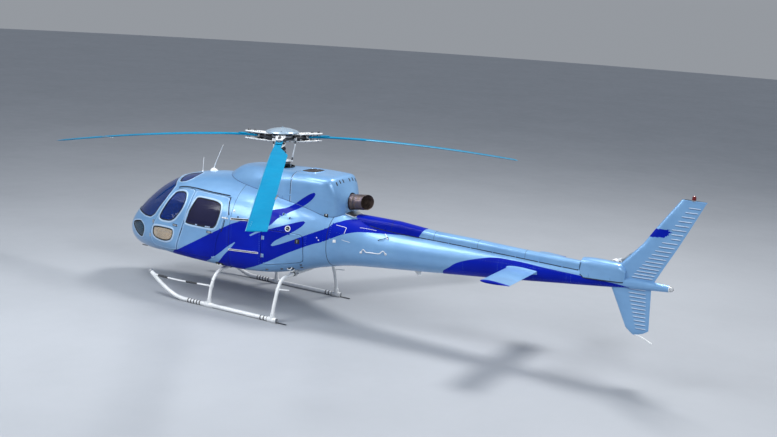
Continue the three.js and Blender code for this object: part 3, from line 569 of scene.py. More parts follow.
# ------------------------------------------------------------------ surfaces
BODY = np.array([  # y, half width, bottom, top, widest, exponents below and above
    (-3.330, .026, .925, .995, .960, 2.0, 2.0), (-3.300, .165, .825, 1.110, .965, 2.0, 2.0),
    (-3.200, .320, .725, 1.262, .980, 2.1, 2.0), (-3.000, .500, .640, 1.470, 1.030, 2.2, 2.05),
    (-2.750, .640, .605, 1.700, 1.090, 2.3, 2.1), (-2.450, .755, .612, 1.935, 1.160, 2.6, 2.1),
    (-2.100, .845, .645, 2.125, 1.240, 3.1, 2.1), (-1.700, .900, .680, 2.230, 1.300, 4.6, 2.15),
    (-1.200, .930, .690, 2.298, 1.340, 5.7, 2.15), (-.600, .935, .690, 2.310, 1.350, 6.0, 2.15),
    (-.100, .925, .695, 2.270, 1.360, 5.6, 2.2), (.400, .895, .730, 2.180, 1.380, 4.2, 2.3),
    (.800, .830, .815, 2.110, 1.410, 3.2, 2.4), (1.200, .710, .915, 2.030, 1.440, 2.7, 2.4),
    (1.600, .550, .995, 1.930, 1.450, 2.3, 2.3), (2.000, .410, 1.035, 1.810, 1.425, 2.1, 2.1),
    (2.600, .335, 1.090, 1.765, 1.427, 2.0, 2.0), (3.400, .285, 1.168, 1.745, 1.456, 2.0, 2.0),
    (4.400, .222, 1.268, 1.725, 1.497, 2.0, 2.0), (5.400, .162, 1.377, 1.705, 1.541, 2.0, 2.0),
    (6.400, .105, 1.485, 1.695, 1.590, 2.0, 2.0), (7.200, .050, 1.560, 1.662, 1.611, 2.0, 2.0)])
COWL = np.array([  # y, half width, top, exponent
    (-1.060, .090, 2.290, 2.0), (-1.000, .220, 2.340, 2.0), (-.900, .310, 2.412, 2.1), (-.760, .380, 2.490, 2.3),
    (-.560, .435, 2.542, 2.7), (-.300, .475, 2.556, 3.4), (.100, .500, 2.554, 4.6), (.700, .512, 2.562, 6.5),
    (1.180, .492, 2.558, 6.8), (1.300, .466, 2.550, 6.2), (1.360, .440, 2.516, 5.0), (1.420, .400, 2.430, 3.8),
    (1.480, .320, 2.336, 2.9), (1.530, .225, 2.258, 2.4)])
YE = 1.530                       # rear end of the cowl


def rows(table, y):
    y = np.asarray(y, float)
    n, Y = len(table), table[:, 0]
    i = np.clip(np.searchsorted(Y, y, side="left") - 1, 0, n - 2)
    a, b, c, d = table[np.maximum(i - 1, 0)], table[i], table[i + 1], table[np.minimum(i + 2, n - 1)]
    h = (c[:, 0] - b[:, 0])[:, None]
    t = ((y - b[:, 0]) / h[:, 0])[:, None]

    def slope(p, q):
        dy = (q[:, 0] - p[:, 0])[:, None]
        return np.where(dy == 0, 0, (q - p) / np.where(dy == 0, 1, dy))
    s0, s1 = slope(a, c) * h, slope(b, d) * h
    r = (2 * t**3 - 3 * t * t + 1) * b + (t**3 - 2 * t * t + t) * s0 + (-2 * t**3 + 3 * t * t) * c + (t**3 - t * t) * s1
    r[:, 0] = y
    return r


def even(x, z, ns):
    L = np.r_[0, np.cumsum(np.hypot(np.diff(x), np.diff(z)))]
    s = np.linspace(0, L[-1], ns)
    return np.interp(s, L, x), np.interp(s, L, z)


def round_height(y, q):
    """Height of the point a share q of the way round half the section, with rounder lower corners."""
    r = rows(BODY, [y])[0]
    nb = np.interp(y, [-2.45, -2.10, -1.70, -1.20, -.60, -.10, .40, .80, 1.20, 1.60], [2.5, 2.7, 2.9, 3.0, 3.0, 3.0, 2.9, 2.7, 2.5, 2.3]) if -2.45 < y < 1.6 else r[5]
    a = np.linspace(-1, 1, 500)
    a = np.pi / 2 * np.sign(a) * (1 - (1 - np.abs(a))**1.7)
    c, sn = np.cos(a).clip(0), np.sin(a)
    n = np.where(sn >= 0, r[6], nb)
    x = r[1] * c**(2 / n)
    z = r[4] + np.where(sn >= 0, (r[3] - r[4]) * np.abs(sn)**(2 / n), -(r[4] - r[2]) * np.abs(sn)**(2 / n))
    x[0] = x[-1] = 0
    L = np.r_[0, np.cumsum(np.hypot(np.diff(x), np.diff(z)))]
    return float(np.interp(q * L[-1], L, z))


class Surf:
    """Half of a mirrored surface: T runs along it, s from 0 (bottom centre) to 1 (top centre)."""

    def __init__(self, ys, X, Z, k):
        self.ys, self.X, self.Z, self.k = np.asarray(ys), X, Z, k
        dy = np.diff(self.ys)
        step = np.sqrt(dy**2 + np.mean(np.diff(X, axis=0)**2 + np.diff(Z, axis=0)**2, axis=1))
        self.T = np.r_[0, np.cumsum(step)]
        self.P = np.stack([X, np.broadcast_to(self.ys[:, None], X.shape), Z], -1)
        N = np.cross(np.gradient(self.P, self.T, axis=0), np.gradient(self.P, axis=1))
        N[:, 0, 0] = 0
        N[:, -1, 0] = 0
        self.N = unit(N)
        self.ns = X.shape[1]

    def _cell(self, u, v):
        u, v = np.asarray(u, float), np.asarray(v, float) / self.k
        i = np.clip(np.searchsorted(self.T, u) - 1, 0, len(self.T) - 2)
        f = np.clip((u - self.T[i]) / (self.T[i + 1] - self.T[i]), 0, 1)[:, None]
        g = np.clip(v, 0, 1) * (self.ns - 1)
        j = np.clip(g.astype(int), 0, self.ns - 2)
        return i, f, j, (g - j)[:, None]

    def at(self, u, v, h=0.0):
        """Point and normal at domain (u, v), where v = s * k."""
        i, f, j, g = self._cell(u, v)
        out = []
        for A in (self.P, self.N):
            out.append((A[i, j] * (1 - f) + A[i + 1, j] * f) * (1 - g) + (A[i, j + 1] * (1 - f) + A[i + 1, j + 1] * f) * g)
        P, N = out[0], unit(out[1])
        return P + N * h, N

    def u(self, y):
        return np.interp(y, self.ys, self.T)

    def column(self, y):
        i = int(np.clip(np.searchsorted(self.ys, y) - 1, 0, len(self.ys) - 2))
        f = (y - self.ys[i]) / (self.ys[i + 1] - self.ys[i])
        f = min(max(f, 0), 1)
        return self.X[i] * (1 - f) + self.X[i + 1] * f, self.Z[i] * (1 - f) + self.Z[i + 1] * f

    def by_s(self, pts, rounder=True):
        """(y, s) outline, with s counted round the rounder section that the outlines were drawn on."""
        p = np.asarray(pts, float)
        out = []
        for y, q in p:
            if rounder and 0 < q < 1:
                z = round_height(y, q)
                X, Z = self.column(y)
                q2 = float(np.interp(z, Z, np.linspace(0, 1, self.ns)))
                k_ = min(max((q - .12) / .10, 0), 1)
                q = q2 * k_ + q * (1 - k_)
            out.append((self.u(y), q * self.k))
        return np.array(out)

    def by_yz(self, pts, xmin=0.0):
        """(y, z) outline on the port side, kept at least xmin from the middle plane."""
        p = np.asarray(pts, float)
        s = np.linspace(0, 1, self.ns)
        out = []
        for y, z in p:
            X, Z = self.column(y)
            q = np.interp(z, Z, s)
            if xmin:
                top = s[X >= xmin]
                if len(top):
                    q = min(q, top[-1])
            out.append((self.u(y), q * self.k))
        return np.array(out)

    def by_xy(self, pts):
        """(x, y) outline seen from above."""
        out = []
        s = np.linspace(0, 1, self.ns)
        for x, y in np.asarray(pts, float):
            X, Z = self.column(y)
            m = int(np.argmax(X))
            q = np.interp(-x, -X[m:], s[m:])
            out.append((self.u(y), q * self.k))
        return np.array(out)

    def point_yz(self, y, z, h=0.0):
        d = self.by_yz([(y, z)])
        P, N = self.at(d[:, 0], d[:, 1], h)
        return P[0], N[0]


def body_surface():
    ys = np.unique(np.round(np.concatenate([-3.33 + .035 * np.linspace(0, 1, 12)**1.8, np.arange(-3.29, -2.8, .0125), np.arange(-2.8, 2.2, .025),
                                            np.arange(2.2, 7.2, .05), [7.2]]), 5))
    a = np.linspace(-1, 1, 800)
    a = np.pi / 2 * np.sign(a) * (1 - (1 - np.abs(a))**1.7)
    c, s = np.cos(a).clip(0), np.sin(a)
    X, Z = [], []
    for r in rows(BODY, ys):
        n = np.where(s >= 0, r[6], r[5])
        x = r[1] * c**(2 / n)
        z = r[4] + np.where(s >= 0, (r[3] - r[4]) * np.abs(s)**(2 / n), -(r[4] - r[2]) * np.abs(s)**(2 / n))
        x[0] = x[-1] = 0
        x, z = even(x, z, 181)
        X.append(x)
        Z.append(z)
    return Surf(ys, np.array(X), np.array(Z), 2.6)


def cowl_surface():
    ys = np.unique(np.round(np.concatenate([-1.06 + .06 * np.linspace(0, 1, 8)**1.3, np.arange(-1.0, 1.26, .02), np.arange(1.26, YE, .006), [YE]]), 5))
    a = np.pi / 2 * (1 - (1 - np.linspace(0, 1, 500))**1.7)
    c, s = np.cos(a).clip(0), np.sin(a)
    X, Z = [], []
    for r in rows(COWL, ys):
        x = r[1] * c**(2 / r[3])
        z = 2.06 + (r[2] - 2.06) * s**(2 / r[3])
        x[-1] = 0
        x, z = even(np.r_[r[1] * 1.04, r[1] * 1.02, x], np.r_[1.70, 1.88, z], 121)
        X.append(x)
        Z.append(z)
    return Surf(ys, np.array(X), np.array(Z), 1.5)


def body_z(y, x):
    r = rows(BODY, [y])[0]
    return r[4] + (r[3] - r[4]) * max(0, 1 - (abs(x) / r[1])**r[6])**(1 / r[6]) if abs(x) < r[1] else r[4]


def outside_body(P, lift=0.0):
    """Above zero where a point is outside the fuselage grown by lift."""
    r = rows(BODY, P[:, 1])
    w = r[:, 1] + lift
    up = np.where(P[:, 2] > r[:, 4], r[:, 3] - r[:, 4], r[:, 4] - r[:, 2]) + lift
    n = np.where(P[:, 2] > r[:, 4], r[:, 6], r[:, 5])
    return (np.abs(P[:, 0]) / w)**n + (np.abs(P[:, 2] - r[:, 4]) / up)**n - 1


body = body_surface()
cowl = cowl_surface()
K = body.k


def skin(surf, outline, holes=(), paints=(), h=.04, thick=.03, r=.004, nb=2, both=False, base=0, wall=None, lin_mat=None, lift=0.0, point=None):
    """Closed sheet over part of a surface, with rolled edges, a wall and an inner face.
    outline, holes and the first of each paint are loops in the surface's own domain."""
    wall = base if wall is None else wall
    outline = np.asarray(outline, float)
    pts, edges = [], []

    def ring(L, step):
        D = dens(L, step)
        o = len(pts)
        pts.extend(D.tolist())
        edges.extend((o + i, o + (i + 1) % len(D)) for i in range(len(D)))
    ring(outline, h * .6)
    for L in holes:
        ring(L, h * .6)
    lo, hi = outline.min(0) - .1, outline.max(0) + .1
    for L, _ in paints:
        q = np.asarray(L)
        if (q.max(0) < lo).any() or (q.min(0) > hi).any():
            continue
        ring(L, h * .5)
    g = []
    ny = int((hi[1] - lo[1]) / (h * .866)) + 2
    for j in range(ny):
        y = lo[1] + j * h * .866
        xs = np.arange(lo[0] + (j % 2) * h / 2, hi[0], h)
        g.append(np.stack([xs, np.full(len(xs), y)], 1))
    g = np.concatenate(g)
    keep = inside(outline, g)
    for L in holes:
        keep &= ~inside(L, g)
    g = g[keep]
    kd = kdtree.KDTree(len(pts))
    for i, p in enumerate(pts):
        kd.insert((p[0], p[1], 0), i)
    kd.balance()
    g = [p for p in g if kd.find((p[0], p[1], 0))[2] > .5 * h]
    allp = [Vector((p[0], p[1])) for p in pts] + [Vector((p[0], p[1])) for p in g]
    V2, _, F, _, _, _ = delaunay_2d_cdt(allp, edges, [], 0, 1e-6)
    V2 = np.array([(p[0], p[1]) for p in V2])
    F = np.array([f for f in F if len(f) == 3])
    A, B, C = V2[F[:, 0]], V2[F[:, 1]], V2[F[:, 2]]
    ar = .5 * ((B[:, 0] - A[:, 0]) * (C[:, 1] - A[:, 1]) - (B[:, 1] - A[:, 1]) * (C[:, 0] - A[:, 0]))
    F[ar < 0] = F[ar < 0][:, ::-1]
    cen = (A + B + C) / 3
    keep = inside(outline, cen) & (np.abs(ar) > 1e-9)
    for L in holes:
        keep &= ~inside(L, cen)
    F, cen = F[keep], cen[keep]
    mat = np.full(len(F), base)
    for L, m in paints:
        mat[inside(L, cen)] = m
    used, inv = np.unique(F, return_inverse=True)
    F = inv.reshape(F.shape)
    V2 = V2[used]
    P, N = surf.at(V2[:, 0], V2[:, 1], lift)
    k = surf.k
    lowc, topc = V2[:, 1] < 1e-5, V2[:, 1] > k - 1e-5
    mid = lowc | topc
    P[mid, 0] = 0
    N[mid, 0] = 0
    N = unit(N)
    # boundary edges in the order of their triangle
    cnt = {}
    for t, (a, b_, c) in enumerate(F):
        for e in ((a, b_), (b_, c), (c, a)):
            cnt.setdefault((min(e), max(e)), []).append((e[0], e[1], t))
    be = [x[0] for x in cnt.values() if len(x) == 1 and not ((lowc[x[0][0]] and lowc[x[0][1]]) or (topc[x[0][0]] and topc[x[0][1]]))]
    if point is not None:   # the foremost ring closes on one point instead of an edge
        u0 = surf.T[0] + 1e-6
        tip = [x for x in be if V2[x[0], 0] < u0 and V2[x[1], 0] < u0]
        be = [x for x in be if not (V2[x[0], 0] < u0 and V2[x[1], 0] < u0)]
    o = np.zeros_like(P)
    for a, b_, t in be:
        w = np.cross(unit(P[b_] - P[a]), N[a] + N[b_])
        w = unit(w)
        o[a] += w
        o[b_] += w
    o[mid, 0] = 0
    ln = np.linalg.norm(o, axis=1)
    bv = np.array(sorted({a for a, _, _ in be} | {b_ for _, b_, _ in be}), int)
    o[bv] = o[bv] - N[bv] * np.sum(o[bv] * N[bv], 1)[:, None]
    o[bv] = unit(o[bv])
    slot_of = {int(v): i for i, v in enumerate(bv)}
    nv, nbv = len(P), len(bv)
    verts = [P]
    norms = [N]
    for j in range(1, nb + 1):
        th = j / nb * math.pi / 2
        verts.append(P[bv] + o[bv] * r * math.sin(th) - N[bv] * r * (1 - math.cos(th)))
        norms.append(N[bv] * math.cos(th) + o[bv] * math.sin(th))
    inn = P - N * thick
    inn[bv] += o[bv] * r
    inn[mid, 0] = 0
    if thick:
        verts.append(inn)
    allv = np.vstack(verts)
    faces, mats, cn = [], [], []
    for (a, b_, c), m in zip(F, mat):
        faces.append((a, b_, c))
        mats.append(m)
        cn.append((N[a], N[b_], N[c]))
    ringi = lambda j, v: int(v) if j == 0 else nv + (j - 1) * nbv + slot_of[int(v)]
    for a, b_, t in be:
        for j in range(nb):
            faces.append((ringi(j, b_), ringi(j, a), ringi(j + 1, a), ringi(j + 1, b_)))
            mats.append(mat[t])
            n0, n1 = norms[j], norms[j + 1]
            g0 = (n0[b_], n0[a]) if j == 0 else (n0[slot_of[b_]], n0[slot_of[a]])
            cn.append((g0[0], g0[1], n1[slot_of[a]], n1[slot_of[b_]]))
    ioff = nv + nb * nbv
    if thick:
        for a, b_, t in be:
            faces.append((ringi(nb, b_), ringi(nb, a), ioff + a, ioff + b_))
            mats.append(wall)
            cn.append((o[b_], o[a], o[a], o[b_]))
        lm = base if lin_mat is None else lin_mat
        for a, b_, c in F:
            faces.append((ioff + a, ioff + c, ioff + b_))
            mats.append(lm)
            cn.append((-N[a], -N[c], -N[b_]))
    if point is not None:
        pi = len(allv)
        allv = np.vstack([allv, [point]])
        for a, b_, t in tip:
            faces.append((b_, a, pi))
            mats.append(mat[t])
            cn.append((N[b_], N[a], (0, -1, 0)))
    out = Build()
    if not both:
        return out.add(allv, faces, mats, cn)
    onmid = np.abs(allv[:, 0]) < 1e-7
    remap = np.arange(len(allv))
    other = np.nonzero(~onmid)[0]
    remap[other] = len(allv) + np.arange(len(other))
    v2 = np.vstack([allv, allv[other] * (-1, 1, 1)])
    f2 = faces + [tuple(int(remap[i]) for i in t[::-1]) for t in faces]
    c2 = cn + [tuple(np.asarray(x) * (-1, 1, 1) for x in t[::-1]) for t in cn]
    return out.add(v2, f2, list(mats) + list(mats), c2)


def strip(surf, line, profile, mat=0, closed=True, b=None, lift=0.0, step=.02, paints=()):
    """Sweeps (sideways, up) points along a line on a surface; sideways is outwards for a loop."""
    L = np.asarray(line, float)
    if closed and area(L) < 0:
        L = L[::-1]
    L = dens(L, step, closed)
    P, N = surf.at(L[:, 0], L[:, 1], lift)
    if closed:
        d = unit(np.roll(P, -1, 0) - np.roll(P, 1, 0))
    else:
        d = unit(np.gradient(P, axis=0))
    o = unit(np.cross(d, N))
    rings = np.stack([P + o * a + N * h for a, h in profile], 1)
    b = b or Build()
    n, m = len(P), len(profile)
    f = []
    seg_mat = np.full(n, mat)
    for poly, pm in paints:
        seg_mat[inside(poly, (L + np.roll(L, -1, 0)) / 2 if closed else L)] = pm
    mt = []
    for i in range(n if closed else n - 1):
        i2 = (i + 1) % n
        for j in range(m - 1):
            f.append((i * m + j, i * m + j + 1, i2 * m + j + 1, i2 * m + j))
            mt.append(seg_mat[i])
    if not closed:
        f.append(tuple(range(m))[::-1])
        f.append(tuple((n - 1) * m + j for j in range(m)))
        mt += [mat, mat]
    b.add(rings.reshape(-1, 3), [t[::-1] for t in f], mt)
    return b


def line_on(surf, a, c, n=24):
    """Straight (y, z) line as a domain path."""
    t = np.linspace(0, 1, n)[:, None]
    return surf.by_yz(np.asarray(a) * (1 - t) + np.asarray(c) * t)


# -------------------------------------------------------------------- camera
cam_data = bpy.data.cameras.new("camera")
cam_data.lens = 50.81
cam_data.sensor_width = 36
cam_data.clip_end = 400
cam = bpy.data.objects.new("camera", cam_data)
bpy.context.scene.collection.objects.link(cam)
cam.matrix_world = Matrix((
    (-.48215379, -.14848284, .86341216, 16.34577), (.87370629, -.1540949, .46140229, 11.00779 + MY),
    (.06453709, .97683551, .20402784, 5.79991), (0, 0, 0, 1)))
bpy.context.scene.camera = cam

# ------------------------------------------------------------------- outlines
mm = lambda p: np.asarray(p, float) / 1000
FRONT_DOOR = mm([[-1803, 1961], [-1583, 2004], [-1366, 2010], [-1374, 1859], [-1415, 1589], [-1468, 1398], [-1566, 1130],
                 [-1630, 952], [-1642, 845], [-2066, 815], [-2262, 815], [-2334, 880], [-2350, 1010], [-2312, 1147], [-2250, 1255],
                 [-2150, 1430], [-2010, 1667], [-1887, 1863]])
FRONT_WINDOW = mm([[-1816, 1909], [-1639, 1943], [-1542, 1918], [-1499, 1796], [-1539, 1627], [-1728, 1389], [-2040, 1369],
                   [-2098, 1422], [-1985, 1640], [-1890, 1818]])
LOWER_WINDOW = mm([[-2218, 1229], [-1735, 1253], [-1706, 1186], [-1760, 1035], [-1949, 973], [-2200, 990], [-2268, 1053], [-2262, 1160]])
SLIDE_DOOR = mm([[-1349, 2010], [-1070, 2003], [-560, 1992], [-540, 1891], [-505, 1783], [-479, 1672], [-554, 1632], [-583, 1479],
                 [-673, 1251], [-705, 1100], [-708, 991], [-728, 850], [-1624, 845], [-1612, 952], [-1549, 1130], [-1451, 1398], [-1397, 1589],
                 [-1357, 1859]])
SLIDE_WINDOW = mm([[-1269, 1873], [-1225, 1903], [-700, 1889], [-657, 1704], [-725, 1420], [-949, 1405], [-1385, 1408], [-1418, 1440], [-1362, 1638]])
CARGO_DOOR = mm([[260, 1530], [305, 1570], [975, 1565], [1025, 1520], [1040, 1373], [1032, 1120], [980, 1050], [330, 930], [265, 960]])
WINDSHIELD = mm([[-1940, 1985], [-1965, 1880], [-2045, 1721], [-2157, 1551], [-2228, 1440], [-2348, 1361], [-2530, 1352], [-2775, 1378], [-2950, 1380]])
CHIN_WINDOW = mm([[-3040, 1110], [-2936, 1165], [-2800, 1205], [-2657, 1228], [-2545, 1160], [-2530, 1071], [-2640, 905], [-2790, 925], [-2907, 1010]])
ROOF_WINDOW = mm([[150, -1960], [280, -1995], [480, -1935], [500, -1752], [431, -1644], [235, -1589], [150, -1630]])
soft2 = lambda p, q=.22: chaikin(p, 2, q)
DOOR_F, WIN_F, WIN_L = soft2(FRONT_DOOR), soft2(FRONT_WINDOW), soft2(LOWER_WINDOW)
DOOR_S, WIN_S, DOOR_C = soft2(SLIDE_DOOR, .16), soft2(SLIDE_WINDOW), soft2(CARGO_DOOR, .2)
WIN_C, WIN_R = soft2(CHIN_WINDOW), soft2(ROOF_WINDOW)

POST = .030     # half width of the middle post of the windscreen


def windshield_loop(d, post=POST):
    """Windscreen outline in the body's domain, shrunk by d."""
    low = chaikin(dens(WINDSHIELD, .12, False), 2, .25, False)
    front = [(y, 1.378) for y in np.linspace(-2.98, -3.07, 5)]
    lo = body.by_yz(np.vstack([low, front]), post)
    s_post = []
    for y in np.linspace(-3.085, -2.125, 40):
        X, Z = body.column(y)
        s = np.linspace(0, 1, body.ns)
        top = s[X >= post]
        s_post.append((body.u(y), top[-1] * K))
    rear = body.by_yz([(-2.085, 2.098), (-2.04, 2.064), (-1.985, 2.02)], post)
    L = np.vstack([lo, s_post, rear])
    return grow(chaikin(L, 1, .25), -d)


# --------------------------------------------------------------------- livery
up_edge = smooth([(-1.93, -.02), (-1.90, .10), (-1.85, .20), (-1.75, .271), (-1.591, .305), (-1.401, .347), (-1.106, .405), (-.85, .456), (-.577, .509),
                  (-.405, .544), (-.223, .574), (.002, .614), (.27, .671), (.38, .698), (.496, .718), (.603, .741), (.677, .786), (.72, .88)], .03)
tongue_low = smooth([(.87, .93), (.859, .868), (.84, .785), (.786, .745), (.697, .708), (.642, .686), (.511, .641), (.443, .605), (.324, .569), (.138, .531),
                     (.014, .502)], .03)
wedge = smooth([(.044, .497), (.17, .524), (.41, .566), (.612, .595), (.755, .617), (.891, .641), (.985, .657)], .03)
mid_low = smooth([(1.021, .648), (.992, .619), (.901, .581), (.788, .548), (.642, .516), (.513, .485), (.456, .46)], .03)
band_up = smooth([(.489, .455), (.622, .47), (.823, .5), (.99, .532), (1.213, .583), (1.414, .651), (1.463, .700), (1.54, .740), (1.635, .806), (1.723, .871),
                  (1.784, .941), (1.83, 1.02)], .03)
band_low = smooth([(3.08, 1.02), (3.0, .965), (2.802, .889), (2.593, .842), (2.326, .796), (2.087, .757), (1.891, .707), (1.78, .662), (1.626, .6), (1.466, .54),
                   (1.324, .500), (1.233, .486), (.999, .444), (.696, .395), (.437, .349), (.156, .291), (-.08, .235), (-.30, .14), (-.42, .06), (-.5, -.02)], .03)
slash_aft = smooth([(-.99, -.02), (-.91, .12), (-.825, .22), (-.735, .284), (-.63, .319), (-.499, .371), (-.389, .409), (-.278, .455)], .03)
slash_fore = smooth([(-.292, .457), (-.446, .42), (-.612, .372), (-.797, .326), (-.969, .284), (-1.11, .22), (-1.27, .12), (-1.38, -.02)], .03)
blue_main = np.vstack([body.by_s(np.vstack([up_edge, tongue_low, wedge, mid_low, band_up, band_low])), body.by_s(np.vstack([slash_aft, slash_fore]), False)])
swoosh = smooth([(3.42, -.02), (3.44, .10), (3.484, .266), (3.596, .365), (3.709, .466), (3.839, .536), (3.992, .597), (4.168, .662), (4.291, .705), (4.471, .735),
                 (4.605, .733), (4.866, .722), (5.152, .680), (5.346, .655), (5.538, .63), (5.728, .599), (5.916, .56), (6.101, .514), (6.284, .466),
                 (6.465, .390), (6.606, .282)], .03)
swoosh_low = smooth([(6.60, .27), (6.4, .205), (6.1, .12), (5.9, .07), (5.7, -.02)], .03)
blue_tail = body.by_s(np.vstack([swoosh, swoosh_low]))
BODY_PAINT = [(blue_main, 1), (blue_tail, 1)]
PAINTS = [silver, navy, rubber, lining]


def span_loop(y0, y1, e=.0045):
    a, b_ = body.u(y0) + (e if y0 > -3.3 else 0), body.u(y1) - e
    return np.array([(a, 0), (b_, 0), (b_, K), (a, K)])


hole = lambda poly, gap, r=.004: body.by_yz(grow(poly, gap + r))
panel = lambda poly, r=.004: body.by_yz(grow(poly, -r))

# ---------------------------------------------------------------- cabin shell
wind_hole = windshield_loop(-.004)
chin_hole = hole(WIN_C, 0)
roof_hole = body.by_xy(grow(WIN_R, .004))
b = skin(body, span_loop(-3.33, -.42), [hole(DOOR_F, .005), hole(DOOR_S, .003), wind_hole, chin_hole, roof_hole], BODY_PAINT,
         h=.042, thick=.032, both=True, wall=2, lin_mat=3, point=(0, -3.336, .96))
# floor inside the shell
ys = np.linspace(-3.12, -.452, 60)
fx = []
for y in ys:
    X, Z = body.column(y)
    m = int(np.argmax(X))
    fx.append(np.interp(.915, Z[:m + 1], X[:m + 1]) - .035)
fx = np.array(fx)
ringx = np.concatenate([np.stack([fx, ys], 1), np.stack([-fx, ys], 1)[::-1]])
n = len(ringx)
fl = np.vstack([np.c_[ringx, np.full(n, .9302)], np.c_[ringx, np.full(n, .90)]])
b.add(fl, [tuple(range(n)), tuple(range(2 * n - 1, n - 1, -1))] + [(i, n + i, n + (i + 1) % n, (i + 1) % n) for i in range(n)], 4)
# rear wall of the cabin
X, Z = body.column(-.452)
k0 = np.searchsorted(Z, .925)
bx, bz = X[k0:] - .034 * (X[k0:] > .04), Z[k0:] - .034 * np.linspace(0, 1, len(Z) - k0)
bx[-1] = 0
bw = np.concatenate([np.stack([bx, bz], 1), np.stack([-bx[:-1], bz[:-1]], 1)[::-1]])
n = len(bw)
wl = np.vstack([np.c_[bw[:, 0], np.full(n, -.452), bw[:, 1]], np.c_[bw[:, 0], np.full(n, -.425), bw[:, 1]]])
b.add(wl, [tuple(range(n)), tuple(range(2 * n - 1, n - 1, -1))] + [(i, n + i, n + (i + 1) % n, (i + 1) % n) for i in range(n)], 3)
# beams across the inside of the roof
for z0 in (0,):
    for y in (-1.36, -.80):
        X, Z = body.column(y)
        X, Z = X - .040, Z - .040
        sel = Z > 1.45
        path = np.stack([X[sel].clip(0), np.full(sel.sum(), y), Z[sel]], 1)
        path = np.vstack([path, (path[:-1] * (-1, 1, 1))[::-1]])
        t, A, B = frames(path)
        rings = [[p + np.array([0, s * .028, 0]) + w * (-c) for s, c in ((-1, -.006), (-1, .016), (-.8, .022), (.8, .022), (1, .016), (1, -.006))]
                 for p, w in zip(path, unit(np.c_[path[:, 0] * .6, np.zeros(len(path)), path[:, 2] - 1.35]))]
        loft(rings, 3, b=b)
cabin = make("cabin_body", b, [silver, navy, rubber, lining, carpet], nodes=["cabin_shell"], angle=40)

# ------------------------------------------------------------------ windows
SEAL = [(-.020, -.009), (-.0195, -.0045), (-.016, -.0025), (-.003, -.0008), (.0015, -.0003), (.003, -.0025)]
FRAME = [(.003, -.002), (.0045, .0022), (.010, .0042), (.026, .0042), (.034, .0018), (.038, -.0022)]


def window(name, loop, mat, nodes, body_name, both=True, frame_on=True, h=.05, mirror_name=None, seal=SEAL, frame_w=FRAME):
    """A pane with its rubber seal and pressed frame, port and starboard."""
    g = skin(body, grow(loop, .002), h=h, thick=.006, r=.0006, nb=1, lift=-.0065)
    s = strip(body, loop, seal, 0)
    f = strip(body, loop, frame_w, 0) if frame_on else None
    for i, sd in enumerate(("left", "right")):
        gb = g if i == 0 else g.mirrored()
        bd = body_name % sd if "%" in body_name else body_name
        make(f"{name}_pane_{sd}", gb, [mat], bd, [n % sd for n in nodes], angle=50)
        make(f"{name}_seal_{sd}", s if i == 0 else s.mirrored(), [rubber], bd, angle=50)
        # frames take the lighter silver: a pale rim with a painted highlight on it
        if f is not None:
            make(f"{name}_frame_{sd}", f if i == 0 else f.mirrored(), [pale_silver_and_painted_highlight], bd, angle=60)


THIN = [(.003, -.002), (.0045, .0018), (.008, .0030), (.017, .0030), (.022, .0010), (.024, -.002)]
window("windshield", windshield_loop(0), pane_dark, ["windshield_%s"], "airframe", frame_w=THIN)
window("chin", body.by_yz(WIN_C), pane_chin, ["chin_window_%s"], "airframe", frame_w=THIN)
window("roof", body.by_xy(WIN_R), pane_roof, ["roof_window_%s"], "airframe", frame_w=THIN)
window("front_door_upper", body.by_yz(WIN_F), pane_door, ["front_door_window_%s"], "front_door_%s_leaf")
# lower pane carries the pale painted-light veil
window("front_door_lower", body.by_yz(WIN_L), pane_low_painted_light, ["front_door_lower_window_%s"], "front_door_%s_leaf")
window("sliding_door", body.by_yz(WIN_S), pane_rear, ["sliding_door_window_%s"], "airframe")

# -------------------------------------------------------------------- doors
fd = skin(body, panel(DOOR_F), [hole(WIN_F, 0), hole(WIN_L, 0)], BODY_PAINT, h=.035, thick=.036, wall=2, lin_mat=3)
sd_ = skin(body, panel(DOOR_S), [hole(WIN_S, 0)], BODY_PAINT, h=.035, thick=.036, wall=2, lin_mat=3)
cd_ = skin(body, panel(DOOR_C), [], BODY_PAINT, h=.035, thick=.034, wall=2, lin_mat=3)
DOOR_EDGE = [(-.030, -.002), (-.027, .0016), (-.020, .0024), (-.010, .0024), (-.006, .0006), (-.004, -.003)]
fe = strip(body, body.by_yz(DOOR_F), DOOR_EDGE, 0, paints=BODY_PAINT)
se = strip(body, body.by_yz(DOOR_S), DOOR_EDGE, 0, paints=BODY_PAINT)
# dark weather seal seen in each door gap
gapf = strip(body, body.by_yz(grow(DOOR_F, .0025)), [(-.004, -.012), (-.004, -.006), (.004, -.006), (.004, -.012)], 0)
gaps = strip(body, body.by_yz(grow(DOOR_S, .0015)), [(-.003, -.010), (-.003, -.004), (.003, -.004), (.003, -.010)], 0)


def flush_handle(bb, y, z, ly=.085, mat=0, back=1):
    """Pull handle in a shallow dish, with its lock."""
    P, N = body.point_yz(y, z)
    t = unit(np.cross((0, 0, 1), N))
    M = axes(t, np.cross(N, t), N, P)
    rbox((-ly / 2 - .012, -.022, -.004), (ly / 2 + .012, .022, .0022), .004, 2, back, bb, M)
    rbox((-ly / 2, -.011, .001), (ly / 2, .011, .0105), .004, 3, mat, bb, M)
    lathe([(.008, -.002), (.008, .004), (.006, .0052), (0, .0052)], 16, mat, bb, P + t * (ly / 2 + .026), N)


hb = Build()
flush_handle(hb, -1.665, 1.33)
hs = Build()
flush_handle(hs, -.86, 1.335)
